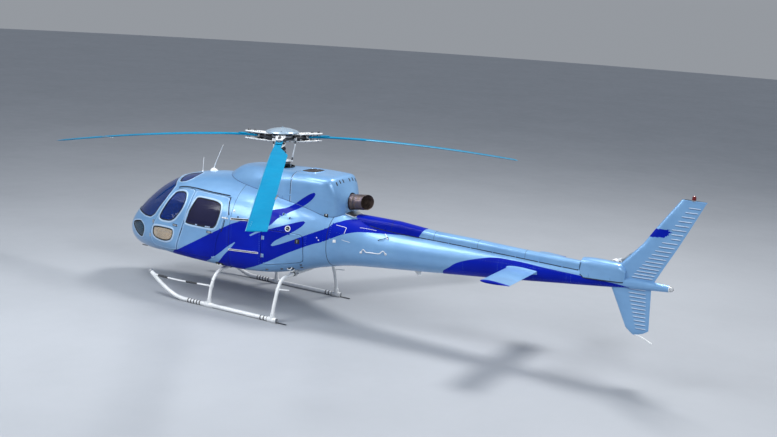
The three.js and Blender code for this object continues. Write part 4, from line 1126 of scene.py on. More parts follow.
# door hinges: two knuckles at the front edge
kb = Build()
for z in (1.02, 1.30):
    P, N = body.point_yz(-2.352 + max(0, (z - 1.147) * .62), z)
    M = axes((0, 0, 1), unit(np.cross(N, (0, 0, 1))), N, P)
    rbox((-.030, -.028, -.004), (.030, .010, .004), .003, 2, 0, kb, M)
    lathe([(0, -.034), (.0075, -.034), (.0075, .034), (0, .034)], 16, 0, kb, P + N * .006, (0, 0, 1))
    for dz in (-.018, .018):
        bolt(kb, P + N * .003 + np.array([0, 0, dz]) - unit(np.cross(N, (0, 0, 1))) * .014, N, .004, .003)
for sdn, fl_ in (("left", False), ("right", True)):
    w = lambda x: x.mirrored() if fl_ else x
    make(f"front_door_skin_{sdn}", w(fd), PAINTS, f"front_door_{sdn}_leaf", nodes=[f"front_door_{sdn}"], angle=40)
    make(f"front_door_pressing_{sdn}", w(fe), [silver_line, navy], f"front_door_{sdn}_leaf", angle=60)
    make(f"front_door_handle_{sdn}", w(hb), [alu, seam], f"front_door_{sdn}_leaf")
    make(f"front_door_hinge_{sdn}", w(kb), [alu], f"front_door_{sdn}_leaf")
    make(f"sliding_door_skin_{sdn}", w(sd_), PAINTS, nodes=[f"sliding_door_{sdn}"], angle=40)
    make(f"sliding_door_pressing_{sdn}", w(se), [silver_line, navy], angle=60)
    make(f"sliding_door_handle_{sdn}", w(hs), [alu, seam])
    make(f"door_seals_{sdn}", w(Build().join(gapf).join(gaps)), [rubber], angle=60)
    make(f"cargo_door_skin_{sdn}", w(cd_), PAINTS, f"luggage_door_{sdn}_leaf", nodes=[f"cargo_door_{sdn}"], angle=40)

# ------------------------------------------------------------ rear fuselage
b = skin(body, span_loop(-.42, 1.4196), [hole(DOOR_C, .006)], BODY_PAINT, h=.045, thick=.03, both=True, wall=2, lin_mat=3)
# luggage hold behind the door on each side
hl = dens(grow(DOOR_C, -.024), .06)
P, N = body.at(*body.by_yz(hl).T, -.028)
n = len(hl)
inner = P.copy()
inner[:, 0] = .335
for s in (1, -1):
    v = np.vstack([P, inner, [inner.mean(0)]]) * (s, 1, 1)
    f = [(i, (i + 1) % n, n + (i + 1) % n, n + i) for i in range(n)] + [(n + i, n + (i + 1) % n, 2 * n) for i in range(n)]
    if s * area(hl) > 0:
        f = [t[::-1] for t in f]
    b.add(v, f, 3)
make("rear_body", b, PAINTS, nodes=["rear_fuselage"], angle=40)

# --------------------------------------------------------------------- boom
b = skin(body, span_loop(1.42, 7.2), [], BODY_PAINT, h=.05, thick=.01, both=True, lin_mat=3)
make("boom_skin", b, PAINTS, nodes=["tail_boom"], angle=40)

# --------------------------------------------------------------------- cowls
KC = cowl.k
SPLIT = .562


def cowl_foot(y, lift=.003):
    X, Z = cowl.column(y)
    s = np.linspace(0, 1, cowl.ns)
    f = outside_body(np.stack([X, np.full(len(X), y), Z], 1), lift)
    i = np.nonzero(f < 0)[0]
    if len(i) == 0:
        return 0.0
    i = i[-1]
    if i >= len(s) - 1:
        return 1.0
    return s[i] + (s[i + 1] - s[i]) * (-f[i]) / (f[i + 1] - f[i])


foot_y = np.unique(np.concatenate([np.linspace(-1.06, YE, 200), [SPLIT]]))
foot_s = np.array([cowl_foot(y) for y in foot_y])
foot_s = np.convolve(np.r_[[foot_s[0]] * 3, foot_s, [foot_s[-1]] * 3], np.ones(7) / 7, "valid")
cf = lambda y: np.interp(y, foot_y, foot_s)
ystart = foot_y[np.nonzero(foot_s < .985)[0][0]]


def cowl_loop(y0, y1, e=.0045):
    ys = np.linspace(y0, y1, 90)
    low = np.stack([cowl.u(ys), cf(ys) * KC + .004], 1)
    if y0 > -1:
        low[0, 0] += e
    low[:, 0] = np.clip(low[:, 0], cowl.u(y0) + (e if y0 > -1 else 0), cowl.u(y1) - (e if y1 < 1.5 else 0))
    top = np.array([(low[-1, 0], KC), (low[0, 0], KC)])
    return np.vstack([low, top])


tongue = np.vstack([smooth([(.30, 1.84), (.377, 1.893), (.524, 1.941), (.667, 2.023), (.822, 2.141), (.976, 2.246), (1.056, 2.279)], .03),
                    smooth([(1.081, 2.256), (1.059, 2.206), (.983, 2.116), (.844, 2.007), (.731, 1.94), (.587, 1.867), (.5, 1.80)], .03)])


def cowl_yz(pts):
    out = []
    s = np.linspace(0, 1, cowl.ns)
    for y, z in pts:
        X, Z = cowl.column(y)
        out.append((cowl.u(y), np.interp(z, Z, s) * KC))
    return np.array(out)


COWL_PAINT = [(cowl_yz(tongue), 1)]
# round hole for the mast, half of it on each side
th = np.linspace(-.5 * math.pi, 1.5 * math.pi, 49)[:-1]
hx, hy = .235 * np.cos(th), -.006 + .235 * np.sin(th)
s = np.linspace(0, 1, cowl.ns)
mast_hole = []
for x, y in zip(hx, hy):
    X, Z = cowl.column(y)
    L = np.r_[0, np.cumsum(np.hypot(np.diff(X), np.diff(Z)))]
    q = np.interp(-abs(x), -X[20:], s[20:])
    mast_hole.append((cowl.u(y), (q if x >= 0 else 2 - q) * KC))
mast_hole = np.array(mast_hole)
b = skin(cowl, cowl_loop(ystart, SPLIT), [mast_hole], COWL_PAINT, h=.035, thick=.02, both=True, wall=0, lin_mat=3)
make("gearbox_cowl", b, PAINTS, nodes=["transmission_cowl"], angle=40)

# engine cowl: its rear face is open round the jet pipe
PIPE_R = .158
axis_z = lambda y: 2.113 + .0822 * (y - 1.35)


def cowl_z(y, x):
    X, Z = cowl.column(y)
    return np.interp(-x, -X, Z)


def cowl_dom(y, x):
    X, Z = cowl.column(y)
    return cowl.u(y), np.interp(-x, -X, np.linspace(0, 1, cowl.ns)) * KC


arc, phi0 = [], None
for phi in np.radians(np.linspace(0, 90, 61)):
    x = PIPE_R * math.cos(phi)
    g = lambda y: cowl_z(y, x) - (axis_z(y) + PIPE_R * math.sin(phi))
    if g(YE) > 0:
        phi0 = phi
        continue
    lo_, hi_ = 1.36, YE
    for _ in range(30):
        mid_ = (lo_ + hi_) / 2
        if g(mid_) > 0:
            lo_ = mid_
        else:
            hi_ = mid_
    arc.append(cowl_dom(lo_, max(x, 0)))
arc = np.array(arc)
phi0 = 0.0 if phi0 is None else phi0
far = cowl.u(YE) + .1
pipe_hole = np.vstack([[(far, arc[0, 1])], arc, [(u_, 2 * KC - v_) for u_, v_ in arc[::-1][1:]], [(far, 2 * KC - arc[0, 1])]])
b = skin(cowl, cowl_loop(SPLIT, YE), [pipe_hole], COWL_PAINT, h=.028, thick=.012, both=True, wall=0, lin_mat=3)
X, Z = cowl.column(YE)
s = np.linspace(0, 1, cowl.ns)
xz = [(X[i], Z[i]) for i in range(cowl.ns) if s[i] > cf(YE) and X[i] > PIPE_R * math.cos(phi0) - .001]
low_arc = [(PIPE_R * math.cos(a), axis_z(YE) + PIPE_R * math.sin(a)) for a in np.linspace(phi0, -math.pi - phi0, 40)]
foot_mid = [(x, body_z(YE, x) - .006) for x in np.linspace(-.20, .20, 9)]
face = [p for p in xz] + low_arc + [(-x, z) for x, z in xz[::-1]] + foot_mid
b.add([(x, YE + .002, z) for x, z in face], [tuple(range(len(face)))[::-1]], 0)
make("engine_cowl_skin", b, PAINTS, nodes=["engine_cowl"], angle=40)

# seams and catches on the cowls
b = Build()
line = np.array([(cowl.u(SPLIT), v) for v in np.linspace(cf(SPLIT) * KC, KC, 60)])
strip(cowl, line, [(-.0075, -.004), (-.0065, .0004), (.0065, .0004), (.0075, -.004)], 0, False, b)
# pale strip beside the seam: painted highlight
strip(cowl, line + (.016, 0), [(-.006, -.002), (-.005, .0012), (.005, .0012), (.006, -.002)], 2, False, b)
b2 = Build()
b2.join(b).join(b.mirrored())
fy = np.linspace(ystart, YE - .003, 160)
fl = np.stack([cowl.u(fy), cf(fy) * KC], 1)
# strip along the cowl's foot in the crease's painted-shade colour
foot_strip = strip(cowl, fl, [(-.006, -.006), (-.0055, .0006), (-.003, .0012), (.003, .0012), (.005, -.004)], 1, False)
b2.join(foot_strip).join(foot_strip.mirrored())
make("cowl_seams", b2, [seam, crease_seam_painted_shade, pale_silver_and_painted_highlight], angle=60)


def catch(bb, surf, u, v, along_u=True, mat=0):
    """Small over-centre catch on its plate."""
    P, N = surf.at([u], [v])
    Q, _ = surf.at([u + .01], [v])
    P, N = P[0], N[0]
    t = unit(Q[0] - P) if along_u else unit(np.cross(N, Q[0] - P))
    M = axes(t, np.cross(N, t), N, P)
    rbox((-.030, -.012, -.002), (.030, .012, .0025), .003, 2, mat, bb, M)
    rbox((-.022, -.0085, .0015), (.016, .0085, .0080), .003, 2, mat, bb, M)
    for d in (-.026, .024):
        bolt(bb, P + t * d + N * .002, N, .0032, .0022, mat)


cb = Build()
for y in (-.62, -.10, .40, .92):
    catch(cb, cowl, cowl.u(y), cf(y) * KC + .045, False)
for v in (.55, .88, 1.14):
    catch(cb, cowl, cowl.u(SPLIT), max(v, cf(SPLIT) * KC + .05), True)
# dark clasp on the lower edge near the rear, with its pale button
P_, N_ = cowl.at([cowl.u(1.300)], [cf(1.300) * KC + .012])
t_ = unit(np.cross((0, 0, 1), N_[0]))
M_ = axes(t_, np.cross(N_[0], t_), N_[0], P_[0])
rbox((-.036, -.034, -.004), (.036, .034, .006), .005, 3, 1, cb, M_)
rbox((-.026, -.010, .004), (.030, .012, .012), .004, 3, 1, cb, M_)
lathe([(.011, .004), (.011, .014), (.008, .016), (0, .0165)], 20, 2, cb, P_[0] + t_ * .004 + M_[:3, 1] * .018, N_[0])
make("cowl_catches", Build().join(cb).join(cb.mirrored()), [silver, plastic, white])

# intake on top of the engine cowl: pale raised rim round a brown filter
ov = [(.215 * np.sign(math.cos(a)) * abs(math.cos(a))**.62, .70 + .155 * np.sign(math.sin(a)) * abs(math.sin(a))**.62) for a in np.linspace(0, 2 * math.pi, 64, endpoint=False)]
ztop = lambda x, y: cowl_z(y, abs(x))
b = Build()
ring_pts = np.array([(x, y, ztop(x, y)) for x, y in ov])
outw = unit(np.array([(x, (y - .70), 0) for x, y in ov]))
prof = [(.040, -.004), (.036, .003), (.024, .0075), (.008, .0085), (.0, .007), (-.006, .002), (-.008, -.002)]
rings = np.stack([ring_pts + outw * a + np.array([0, 0, h]) for a, h in prof], 0)
loft(rings, 0, caps=(False, False), b=b)
make("intake_rim", b, [silver], angle=60)
b = Build()
mesh_ring = ring_pts - outw * .006 + np.array([0, 0, .0012])
b.add(np.vstack([mesh_ring, [mesh_ring.mean(0)]]), [(i, (i + 1) % 64, 64) for i in range(64)], 0)
for i in range(13):
    y = .70 - .138 + .023 * i
    hw = .205 * (1 - abs((y - .70) / .165)**3.2)**(1 / 3.2)
    z = ztop(0, y) + .001
    rbox((-hw, y - .0025, z), (hw, y + .0025, z + .005), .0015, 1, 1, b)
filt = solid("filter_mesh", (84, 70, 66), (118, 102, 94), (.7, .9), .2, 60, (900, .8, .001))
make("intake_filter", b, [filt, steel])
# three slots under the rear top edge of the cowl
b = Build()
for i in range(3):
    for sg in (1, -1):
        x, y = .315 - .105 * i, 1.386
        d_ = cowl_dom(y, x)
        P_, N_ = cowl.at([d_[0]], [d_[1]])
        P_, N_ = P_[0] * (sg, 1, 1), N_[0] * (sg, 1, 1)
        rbox((-.017, -.034, -.006), (.017, .034, .0015), .008, 3, 0, b, along(P_, N_, (0, -.4, 1)))
        rbox((-.022, -.040, -.006), (.022, .040, .0006), .010, 3, 1, b, along(P_, N_, (0, -.4, 1)))
make("cowl_rear_slots", b, [plastic, silver])

# ----------------------------------------------------------------- jet pipe
b = Build()
prof = [(.120, 0), (.137, .03), (.137, .235), (.141, .240), (.141, .262), (.137, .268), (.1368, .300), (.1368, .330), (.1385, .333), (.1385, .338), (.1366, .341),
        (.1360, .40), (.1352, .45), (.1345, .50), (.1340, .54), (.1338, .575), (.1345, .588), (.1345, .596), (.1325, .600), (.1300, .597), (.1295, .55), (.130, .50), (.1305, .44), (.131, .33), (.131, .06)]
mats_ = [0] * 19 + [1] * 6
ax = unit((0, 1, .11))
lathe(prof, 56, 0, b, (0, 1.30, 2.095), ax, mats_)
# the outlet is cut at a slant
v = np.concatenate(b.v)
d = (v - (0, 1.30, 2.095)) @ ax
k_ = np.clip((d - .34) / .26, 0, 1)
v = v - ax[None, :] * (k_ * (.058 + .058 * v[:, 0] / .134))[:, None]
b.v = [v]
for i in range(12):
    a = 2 * math.pi * i / 12
    p = np.array([.1410 * math.cos(a), 0, .1410 * math.sin(a)])
    q = np.array([0, 1.30, 2.095]) + ax * .251 + p
    bolt(b, q, unit(p), .0050, .004, 2)
make("jet_pipe", b, [pipe_mat, soot, steel], nodes=["exhaust_pipe"], angle=38)
b = Build()   # turbine casing just inside the pipe
lathe([(0, .08), (.045, .085), (.060, .11), (.064, .20), (.030, .34), (0, .38)], 28, 0, b, (0, 1.30, 2.095), ax)
for i in range(5):
    a = 2 * math.pi * i / 5 + .3
    u_, w_ = np.array([math.cos(a), 0, math.sin(a)]), ax
    M = axes(unit(u_), np.cross(w_, unit(u_)), w_, np.array([0, 1.30, 2.095]) + ax * .14)
    rbox((.05, -.005, -.05), (.128, .005, .05), .003, 1, 0, b, M)
make("exhaust_cone", b, [soot])
# heat shield deck below the pipe, with a turned-up edge in white: a painted highlight for the bright line along that
# edge
b = Build()
deck_w = lambda y: .212 - .20 * (y - 1.50) if y < 1.66 else .180 * math.sqrt(max(.02, 1 - ((y - 1.66) / .052)**2))
pts_ = []
for y in np.linspace(1.500, 1.706, 16):
    pts_.append([(x * deck_w(y), y, body_z(y, x * deck_w(y)) + .004 + .004 * (1 - abs(x)**6)) for x in np.linspace(-1, 1, 17)])
loft(pts_, 0, closed=False, caps=(False, False), b=b)
rim_ = [pts_[i][0] for i in range(16)] + [pts_[-1][j] for j in range(1, 16)] + [pts_[i][-1] for i in range(15, -1, -1)]
tube(rim_, .0065, 8, 1, b)
make("pipe_deck", b, [alu, white], angle=60)

# ----------------------------------------------- drive shaft cover, fairing
SHAFT = np.array([(1.700, .165, 1.925), (2.500, .140, 1.920), (3.200, .115, 1.862), (3.900, .104, 1.852), (4.700, .096, 1.826), (5.780, .090, 1.806)])
FAIR = np.array([(5.805, .125, 1.872), (5.950, .140, 1.885), (6.250, .145, 1.885), (6.430, .125, 1.872), (6.520, .085, 1.800)])


def hood_surface(table, ys, linear=False, k=.5, sink=.006):
    X, Z = [], []
    a = np.linspace(0, np.pi / 2, 160)
    for y in ys:
        if linear:
            w, zt = np.interp(y, table[:, 0], table[:, 1]), np.interp(y, table[:, 0], table[:, 2])
        else:
            w, zt = rows(table, [y])[0][1:3]
        x = w * np.cos(a).clip(0)**(2 / 2.6)
        z = zt - .9 * w + .9 * w * np.sin(a)**(2 / 2.6)
        x[-1] = 0
        base = min(body_z(y, w * 1.04) - sink, z[0] - .004)
        zz = np.linspace(base, z[0], 6)[:-1]
        xx = w * (1.05 - .05 * (zz - base) / max(z[0] - base, 1e-3))
        x, z = even(np.r_[xx, x], np.r_[zz, z], 61)
        x[-1] = 0
        X.append(x)
        Z.append(z)
    return Surf(ys, np.array(X), np.array(Z), k)


cov = hood_surface(SHAFT, np.unique(np.concatenate([np.linspace(1.700, 5.780, 150)])), True)
uu = [cov.u(1.703), cov.u(5.777)]
edge = np.array([(cov.u(y), v) for y, v in ((2.93, -.02), (2.965, .12), (3.0, .25), (3.03, .40), (3.045, .52))])
blue_cov = np.vstack([[(uu[0] - .05, -.02)], edge, [(uu[0] - .05, .52)]])
b = skin(cov, np.array([(uu[0], 0), (uu[1], 0), (uu[1], cov.k), (uu[0], cov.k)]), [], [(blue_cov, 1)], h=.035, thick=.008, both=True, r=.003)


def closing(bb, surf, y, aft, mat=0):
    X, Z = surf.column(y)
    p = [(x, y, z) for x, z in zip(X, Z)] + [(-x, y, z) for x, z in zip(X[:-1][::-1], Z[:-1][::-1])]
    bb.add(p, [tuple(range(len(p)))[::-1] if aft else tuple(range(len(p)))], mat)


closing(b, cov, 1.705, False, 1)
closing(b, cov, 5.775, True)
make("drive_cover_skin", b, PAINTS, nodes=["drive_shaft_cover"], angle=40)
fys = np.unique(np.concatenate([np.linspace(5.805, 6.40, 40), 6.40 + .12 * np.sin(np.linspace(0, np.pi / 2, 14))]))
fai = hood_surface(FAIR, fys)
b = skin(fai, np.array([(fai.u(5.808), 0), (fai.u(6.517), 0), (fai.u(6.517), fai.k), (fai.u(5.808), fai.k)]), [], [], h=.028, thick=.008, both=True, r=.003, lin_mat=3)
closing(b, fai, 6.516, True)
closing(b, fai, 5.812, False, 2)
make("tail_fairing_skin", b, PAINTS, nodes=["tail_gearbox_fairing"], angle=40)
# seams and catches along the cover
b, cb = Build(), Build()
for y in (2.42, 3.22, 4.02, 4.86):
    ln = np.array([(cov.u(y), v) for v in np.linspace(.02, cov.k, 30)])
    strip(cov, ln, [(-.003, -.003), (-.002, .0010), (.002, .0010), (.003, -.003)], 0, False, b)
for y in np.arange(1.9, 5.75, .40):
    catch(cb, cov, cov.u(y), .075, False, 1 if y < 2.95 else 0)
for y in (5.95, 6.30):
    catch(cb, fai, fai.u(y), .08, False)
low = np.array([(cov.u(y), .018) for y in np.linspace(1.71, 5.77, 120)])
strip(cov, low, [(-.012, -.004), (-.010, .002), (-.003, .003), (.004, .002), (.006, -.003)], 0, False, b)
low = np.array([(fai.u(y), .018) for y in np.linspace(5.81, 6.5, 40)])
strip(fai, low, [(-.012, -.004), (-.010, .002), (-.003, .003), (.004, .002), (.006, -.003)], 0, False, b)
make("cover_seams", Build().join(b).join(b.mirrored()), [seam], angle=60)
make("cover_catches", Build().join(cb).join(cb.mirrored()), [silver, navy])

# --------------------------------------------------------------------- fins
UPPER_FIN = np.array([(1.560, 6.150, 6.905, .096), (1.885, 6.413, 7.065, .092), (2.250, 6.725, 7.250, .084), (2.540, 6.907, 7.388, .076), (3.016, 7.232, 7.604, .062)])
LOWER_FIN = np.array([(1.640, 6.225, 6.918, .093), (1.471, 6.306, 6.929, .090), (.883, 6.592, 6.957, .056), (.832, 6.655, 6.880, .044), (.790, 6.712, 6.770, .026)])


def section(u):
    """Half thickness of the symmetric aerofoil, 1 at its thickest, blunt at the rear."""
    t = (.2969 * np.sqrt(u) - .1260 * u - .3516 * u**2 + .2843 * u**3 - .1015 * u**4) * 10
    return np.maximum(t, .05 * (u > .5))


def wing(rows_, place, nz=220, nu=46, bead=0.0, pitch=.070, span=(.44, .95), start=.0, stop=9.0, mat_of=None, b=None, skew=0.0):
    """Aerofoil through (station, front, rear, thickness) rows, with pressed beads along its chord."""
    q = np.array(rows_, float)
    if q[0, 0] > q[-1, 0]:
        q = q[::-1]
    zs = np.linspace(q[0, 0], q[-1, 0], nz)
    f, r, t = (np.interp(zs, q[:, 0], q[:, i]) for i in (1, 2, 3))
    u = .5 - .5 * np.cos(np.linspace(0, np.pi, nu))
    h = section(u)
    rings = []
    for z, a, c, tt in zip(zs, f, r, t):
        up = h * tt / 2
        if bead:
            zz = z + skew * 0
            win = np.clip((u - span[0]) / .04, 0, 1) * np.clip((span[1] - u) / .04, 0, 1)
            win = win * win * (3 - 2 * win)
            if start < z < stop:
                wave = max(0.0, math.cos(2 * math.pi * (zz - start) / pitch))**2.2
                up = up + bead * win * wave
        y = a + (c - a) * u
        port = np.stack([up, y, np.full(nu, z)], 1)
        star = port[::-1][1:-1] * (-1, 1, 1)
        rings.append([place(p) for p in np.vstack([port, star])])
    b = b or Build()
    k = b.k
    loft(rings, 0, b=b)
    if mat_of:
        for i in range(len(b.f) - 0):
            pass
    return b, zs, u


ident = lambda p: p
b, zs, u_ = wing(UPPER_FIN, ident, nz=160)
# band of blue near the middle of the fin, its rear edge cut in steps
V_ = np.concatenate(b.v)
patch = np.array([(6.70, 2.350), (6.80, 2.372), (7.070, 2.400), (7.045, 2.413), (7.110, 2.446), (7.100, 2.470), (7.150, 2.492), (7.085, 2.507), (7.118, 2.530), (6.99, 2.521), (6.85, 2.508)])
cy = np.array([V_[list(t)].mean(0) for t in b.f])
msk = inside(patch, cy[:, 1:])
b.m = [1 if x else 0 for x in msk]
make("upper_fin_skin", b, [silver, navy], nodes=["upper_fin"], angle=60)
b, _, _ = wing(LOWER_FIN, ident, nz=90)
make("lower_fin_skin", b, [silver], nodes=["lower_fin"], angle=60)
# pressed ribs on both sides, each with a painted highlight on its crest and a strip of painted shade under it
b = Build()


def rib(y0, y1, z, table, hz=.0085, out=.0052):
    q = np.array(sorted([list(r_) for r_ in table]))
    f_, r_, t_ = (float(np.interp(z, q[:, 0], q[:, i])) for i in (1, 2, 3))
    for sg in (1, -1):
        crest, shade = [], []
        for y in np.linspace(y0, y1, 16):
            uu_ = np.clip((y - f_) / (r_ - f_), .01, .99)
            x = float(section(np.array([uu_]))[0]) * t_ / 2
            e = min(1, min(y - y0, y1 - y) / .028)**.5 if y0 < y < y1 else 0.0
            prof_ = [(-1.0, -.0012), (-.72, out * .55), (-.25, out), (.25, out), (.72, out * .55), (1.0, -.0012)]
            crest.append([(sg * (x + h_ * (.15 + .85 * e) if h_ > 0 else x + h_), y, z + hz * k_ * (.25 + .75 * e)) for k_, h_ in prof_])
            shade.append([(sg * (x + .0007), y, z - hz * (1.0 + k_ * 1.1 * (.2 + .8 * e))) for k_ in (0, 1)])
        # crest in the painted-highlight colour, flat strip below it in painted shade
        loft(crest, 0, closed=False, caps=(False, False), b=b)
        loft(shade, 1, closed=False, caps=(False, False), b=b)


def edges_at(table, z):
    q = np.array(sorted([list(r_) for r_ in table]))
    return float(np.interp(z, q[:, 0], q[:, 1])), float(np.interp(z, q[:, 0], q[:, 2]))


z = 1.668
while z < 2.95:
    ya_, yb_ = edges_at(UPPER_FIN, z)
    st_ = ya_ + .47 * (yb_ - ya_)
    if 2.345 < z < 2.545:
        st_ = max(st_, 7.135)
    rib(st_, ya_ + .935 * (yb_ - ya_), z, UPPER_FIN)
    z += .047 + .026 * min(1, (z - 1.66) / .6)
for i in range(11):
    z = 1.520 - .0615 * i
    ya_, yb_ = edges_at(LOWER_FIN, z)
    rib(ya_ + .44 * (yb_ - ya_), ya_ + .885 * (yb_ - ya_), z, LOWER_FIN)
# lighter colour of the crests is a painted highlight, darker colour of the strips under them is painted shade
rib_crest_highlight_painted = solid("rib_crest_painted_highlight", (172, 192, 214), (192, 210, 228), (.3, .4), .2, 9, (60, .05, .0005), coat=.3)
rib_under_shade_painted = solid("rib_painted_shade", (62, 92, 134), (76, 106, 148), (.4, .5), .1, 9, (60, .05, .0005))
make("fin_ribs", b, [rib_crest_highlight_painted, rib_under_shade_painted], angle=70)
# cap on the upper fin, and the beacon on it
b = Build()
capr = []
for k_, (dz, sc) in enumerate(((-.010, 1.06), (.0, 1.07), (.006, 1.0), (.010, .8))):
    u = .5 - .5 * np.cos(np.linspace(0, np.pi, 30))
    h = section(u) * .062 / 2 * sc + .001
    yy = 7.232 + .372 * (u * (1.0 + .012 * (sc - .9)) - .003)
    port = np.stack([h, yy, np.full(30, 3.006 + dz)], 1)
    capr.append(np.vstack([port, port[::-1][1:-1] * (-1, 1, 1)]))
loft(capr, 0, b=b)
make("fin_tip_cap", b, [silver], angle=50)
b = Build()
lathe([(0, 3.010), (.040, 3.010), (.040, 3.022), (.034, 3.026), (0, 3.027)], 24, 1, b, (0, 7.405, 0))
lathe([(.031, 3.024), (.031, 3.060), (.027, 3.078), (.016, 3.088), (0, 3.091)], 24, 0, b, (0, 7.405, 0))
make("beacon", b, [red_lens, alu])

# --------------------------------------------------------------- stabiliser
for sgn, sdn in ((1, "left"), (-1, "right")):
    b = Build()
    xs = np.concatenate([np.linspace(.13, 1.235, 60), 1.235 + .030 * np.sin(np.linspace(0, np.pi / 2, 8))[1:]])
    u = .5 - .5 * np.cos(np.linspace(0, np.pi, 44))
    h = section(u) * .056 / 2
    rings = []
    for x in xs:
        e = max(0, (x - 1.235) / .03)
        sc = math.sqrt(max(1e-4, 1 - (e * .92)**2))
        dip = 0.0
        for xr in (.31, .48, .755, 1.0, 1.20):
            dip = max(dip, math.exp(-((x - xr) / .006)**2))
        y = 4.607 + .486 * u
        hh = h * sc * (1 - .05 * dip)
        top = np.stack([np.full(44, x * sgn), y, 1.52 + hh], 1)
        lowr = np.stack([np.full(44, x * sgn), y, 1.52 - hh], 1)[::-1][1:-1]
        rings.append(np.vstack([top, lowr]))
    loft(rings, 0, b=b, flip=sgn > 0)
    V_ = np.concatenate(b.v)
    b.m = [1 if abs(V_[list(t), 0]).mean() > 1.228 else 0 for t in b.f]
    # seams across the chord and a line of rivets beside each
    for xr in (.31, .48, .755, 1.0, 1.20):
        for j in range(16):
            uu_ = .06 + .86 * j / 15
            hz = float(np.interp(uu_, u, h))
            for up in (1, -1):
                dome(b, (sgn * (xr + .012), 4.607 + .486 * uu_, 1.52 + up * hz), (0, 0, up), .0035, .001, 0)
    # saddle where it passes through the boom
    make(f"stabilizer_skin_{sdn}", b, [silver, navy], nodes=[f"stabilizer_{sdn}"], angle=50)
b = Build()
for sgn in (1, -1):
    rr = []
    for a, hgt in ((0, 1.0), (1, .0)):
        pass
    u = .5 - .5 * np.cos(np.linspace(0, np.pi, 30))
    for k_, (dx, gr) in enumerate(((.225, .0), (.212, .010), (.190, .022), (.165, .034))):
        h = section(u) * .028 + gr + .001
        y = 4.607 - gr + (.486 + 2 * gr) * u
        rr.append(np.vstack([np.stack([np.full(30, dx * sgn), y, 1.52 + h], 1), np.stack([np.full(30, dx * sgn), y, 1.52 - h], 1)[::-1][1:-1]]))
    loft(rr, 0, b=b, flip=sgn < 0, caps=(False, False))
make("stabilizer_fillet", b, [silver], angle=60)

# -------------------------------------------------------- tail lamp and skid
b = Build()
lathe([(0, -.02), (.050, -.02), (.051, .004), (.047, .008)], 28, 1, b, (0, 7.2004, 1.611), (0, 1, 0))
lathe([(.044, .006), (.043, .030), (.034, .052), (.018, .065), (0, .0695)], 28, 0, b, (0, 7.2004, 1.611), (0, 1, 0))
make("tail_lamp", b, [clear_lens, white], nodes=["tail_light"])
b = Build()
tube([(0, 6.735, .800), (0, 6.790, .788), (0, 6.900, .752), (0, 7.030, .694)], .012, 12, 0, b, .02)
make("tail_bumper", b, [white], nodes=["tail_skid"])


# -------------------------------------------------------------- landing gear
def prism(poly, z0, z1, c=.003, mat=0, b=None, M=None, side_mat=None):
    """Extruded outline with small chamfers."""
    p = np.asarray(poly, float)
    if area(p) < 0:
        p = p[::-1]
    q = grow(p, -c)
    rings = [np.c_[q, np.full(len(p), z0)], np.c_[p, np.full(len(p), z0 + c)], np.c_[p, np.full(len(p), z1 - c)], np.c_[q, np.full(len(p), z1)]]
    if M is not None:
        M = np.asarray(M)
        rings = [r @ M[:3, :3].T + M[:3, 3] for r in rings]
    b = b or Build()
    n = len(p)
    f = [tuple(range(n))[::-1], tuple(range(3 * n, 4 * n))]
    mm_ = [mat, mat]
    for i in range(3):
        for j in range(n):
            f.append((i * n + j, i * n + (j + 1) % n, (i + 1) * n + (j + 1) % n, (i + 1) * n + j))
            mm_.append(mat if side_mat is None else side_mat)
    b.add(np.vstack(rings), f, mm_)
    return b


SX, SR, SZ = 1.075, .038, .042
ARCH_F = mm([[1070, 90], [1056, 200], [1012, 380], [925, 540], [790, 628], [600, 652]])
ARCH_R = mm([[1070, 90], [1050, 220], [990, 420], [916, 600], [812, 714], [560, 744]])
for name, y, arch, node in (("front_arch_tube", -.70, ARCH_F, "front_cross_tube"), ("rear_arch_tube", .68, ARCH_R, "rear_cross_tube")):
    half = [(x, y, z) for x, z in arch]
    pts = half + [(0, y, arch[5][1])] + [(-x, yy, z) for x, yy, z in half[::-1]]
    b = Build()
    tube(smooth(pts, .022), .032, 20, 0, b, ends=False)
    # clamps under the belly, with rubber bushes
    for sg in (1, -1):
        for x in (.43,):
            z = float(arch[5][1]) + (.004 if y < 0 else .003)
            X, Z = body.column(y)
            zb = float(np.interp(x, X[:int(np.argmax(X)) + 1], Z[:int(np.argmax(X)) + 1]))
            lathe([(.0325, -.045), (.040, -.045), (.040, .045), (.0325, .045)], 24, 2, b, (x * sg, y, z), (1, 0, 0))
            lathe([(.0335, -.032), (.0460, -.032), (.0475, -.028), (.0475, .028), (.0460, .032), (.0335, .032)], 24, 1, b, (x * sg, y, z), (1, 0, 0))
            rbox((x * sg - .034, y - .085, z + .006), (x * sg + .034, y + .085, z + .020), .004, 2, 1, b)
            if zb > z + .02:
                rbox((x * sg - .034, y - .055, z + .016), (x * sg + .034, y + .055, zb + .02), .004, 2, 1, b)
            for dy in (-.068, .068):
                bolt(b, (x * sg, y + dy, z + .006), (0, 0, -1), .009, .008, 1)
    make(name, b, [white, alu, rubber], nodes=[node])

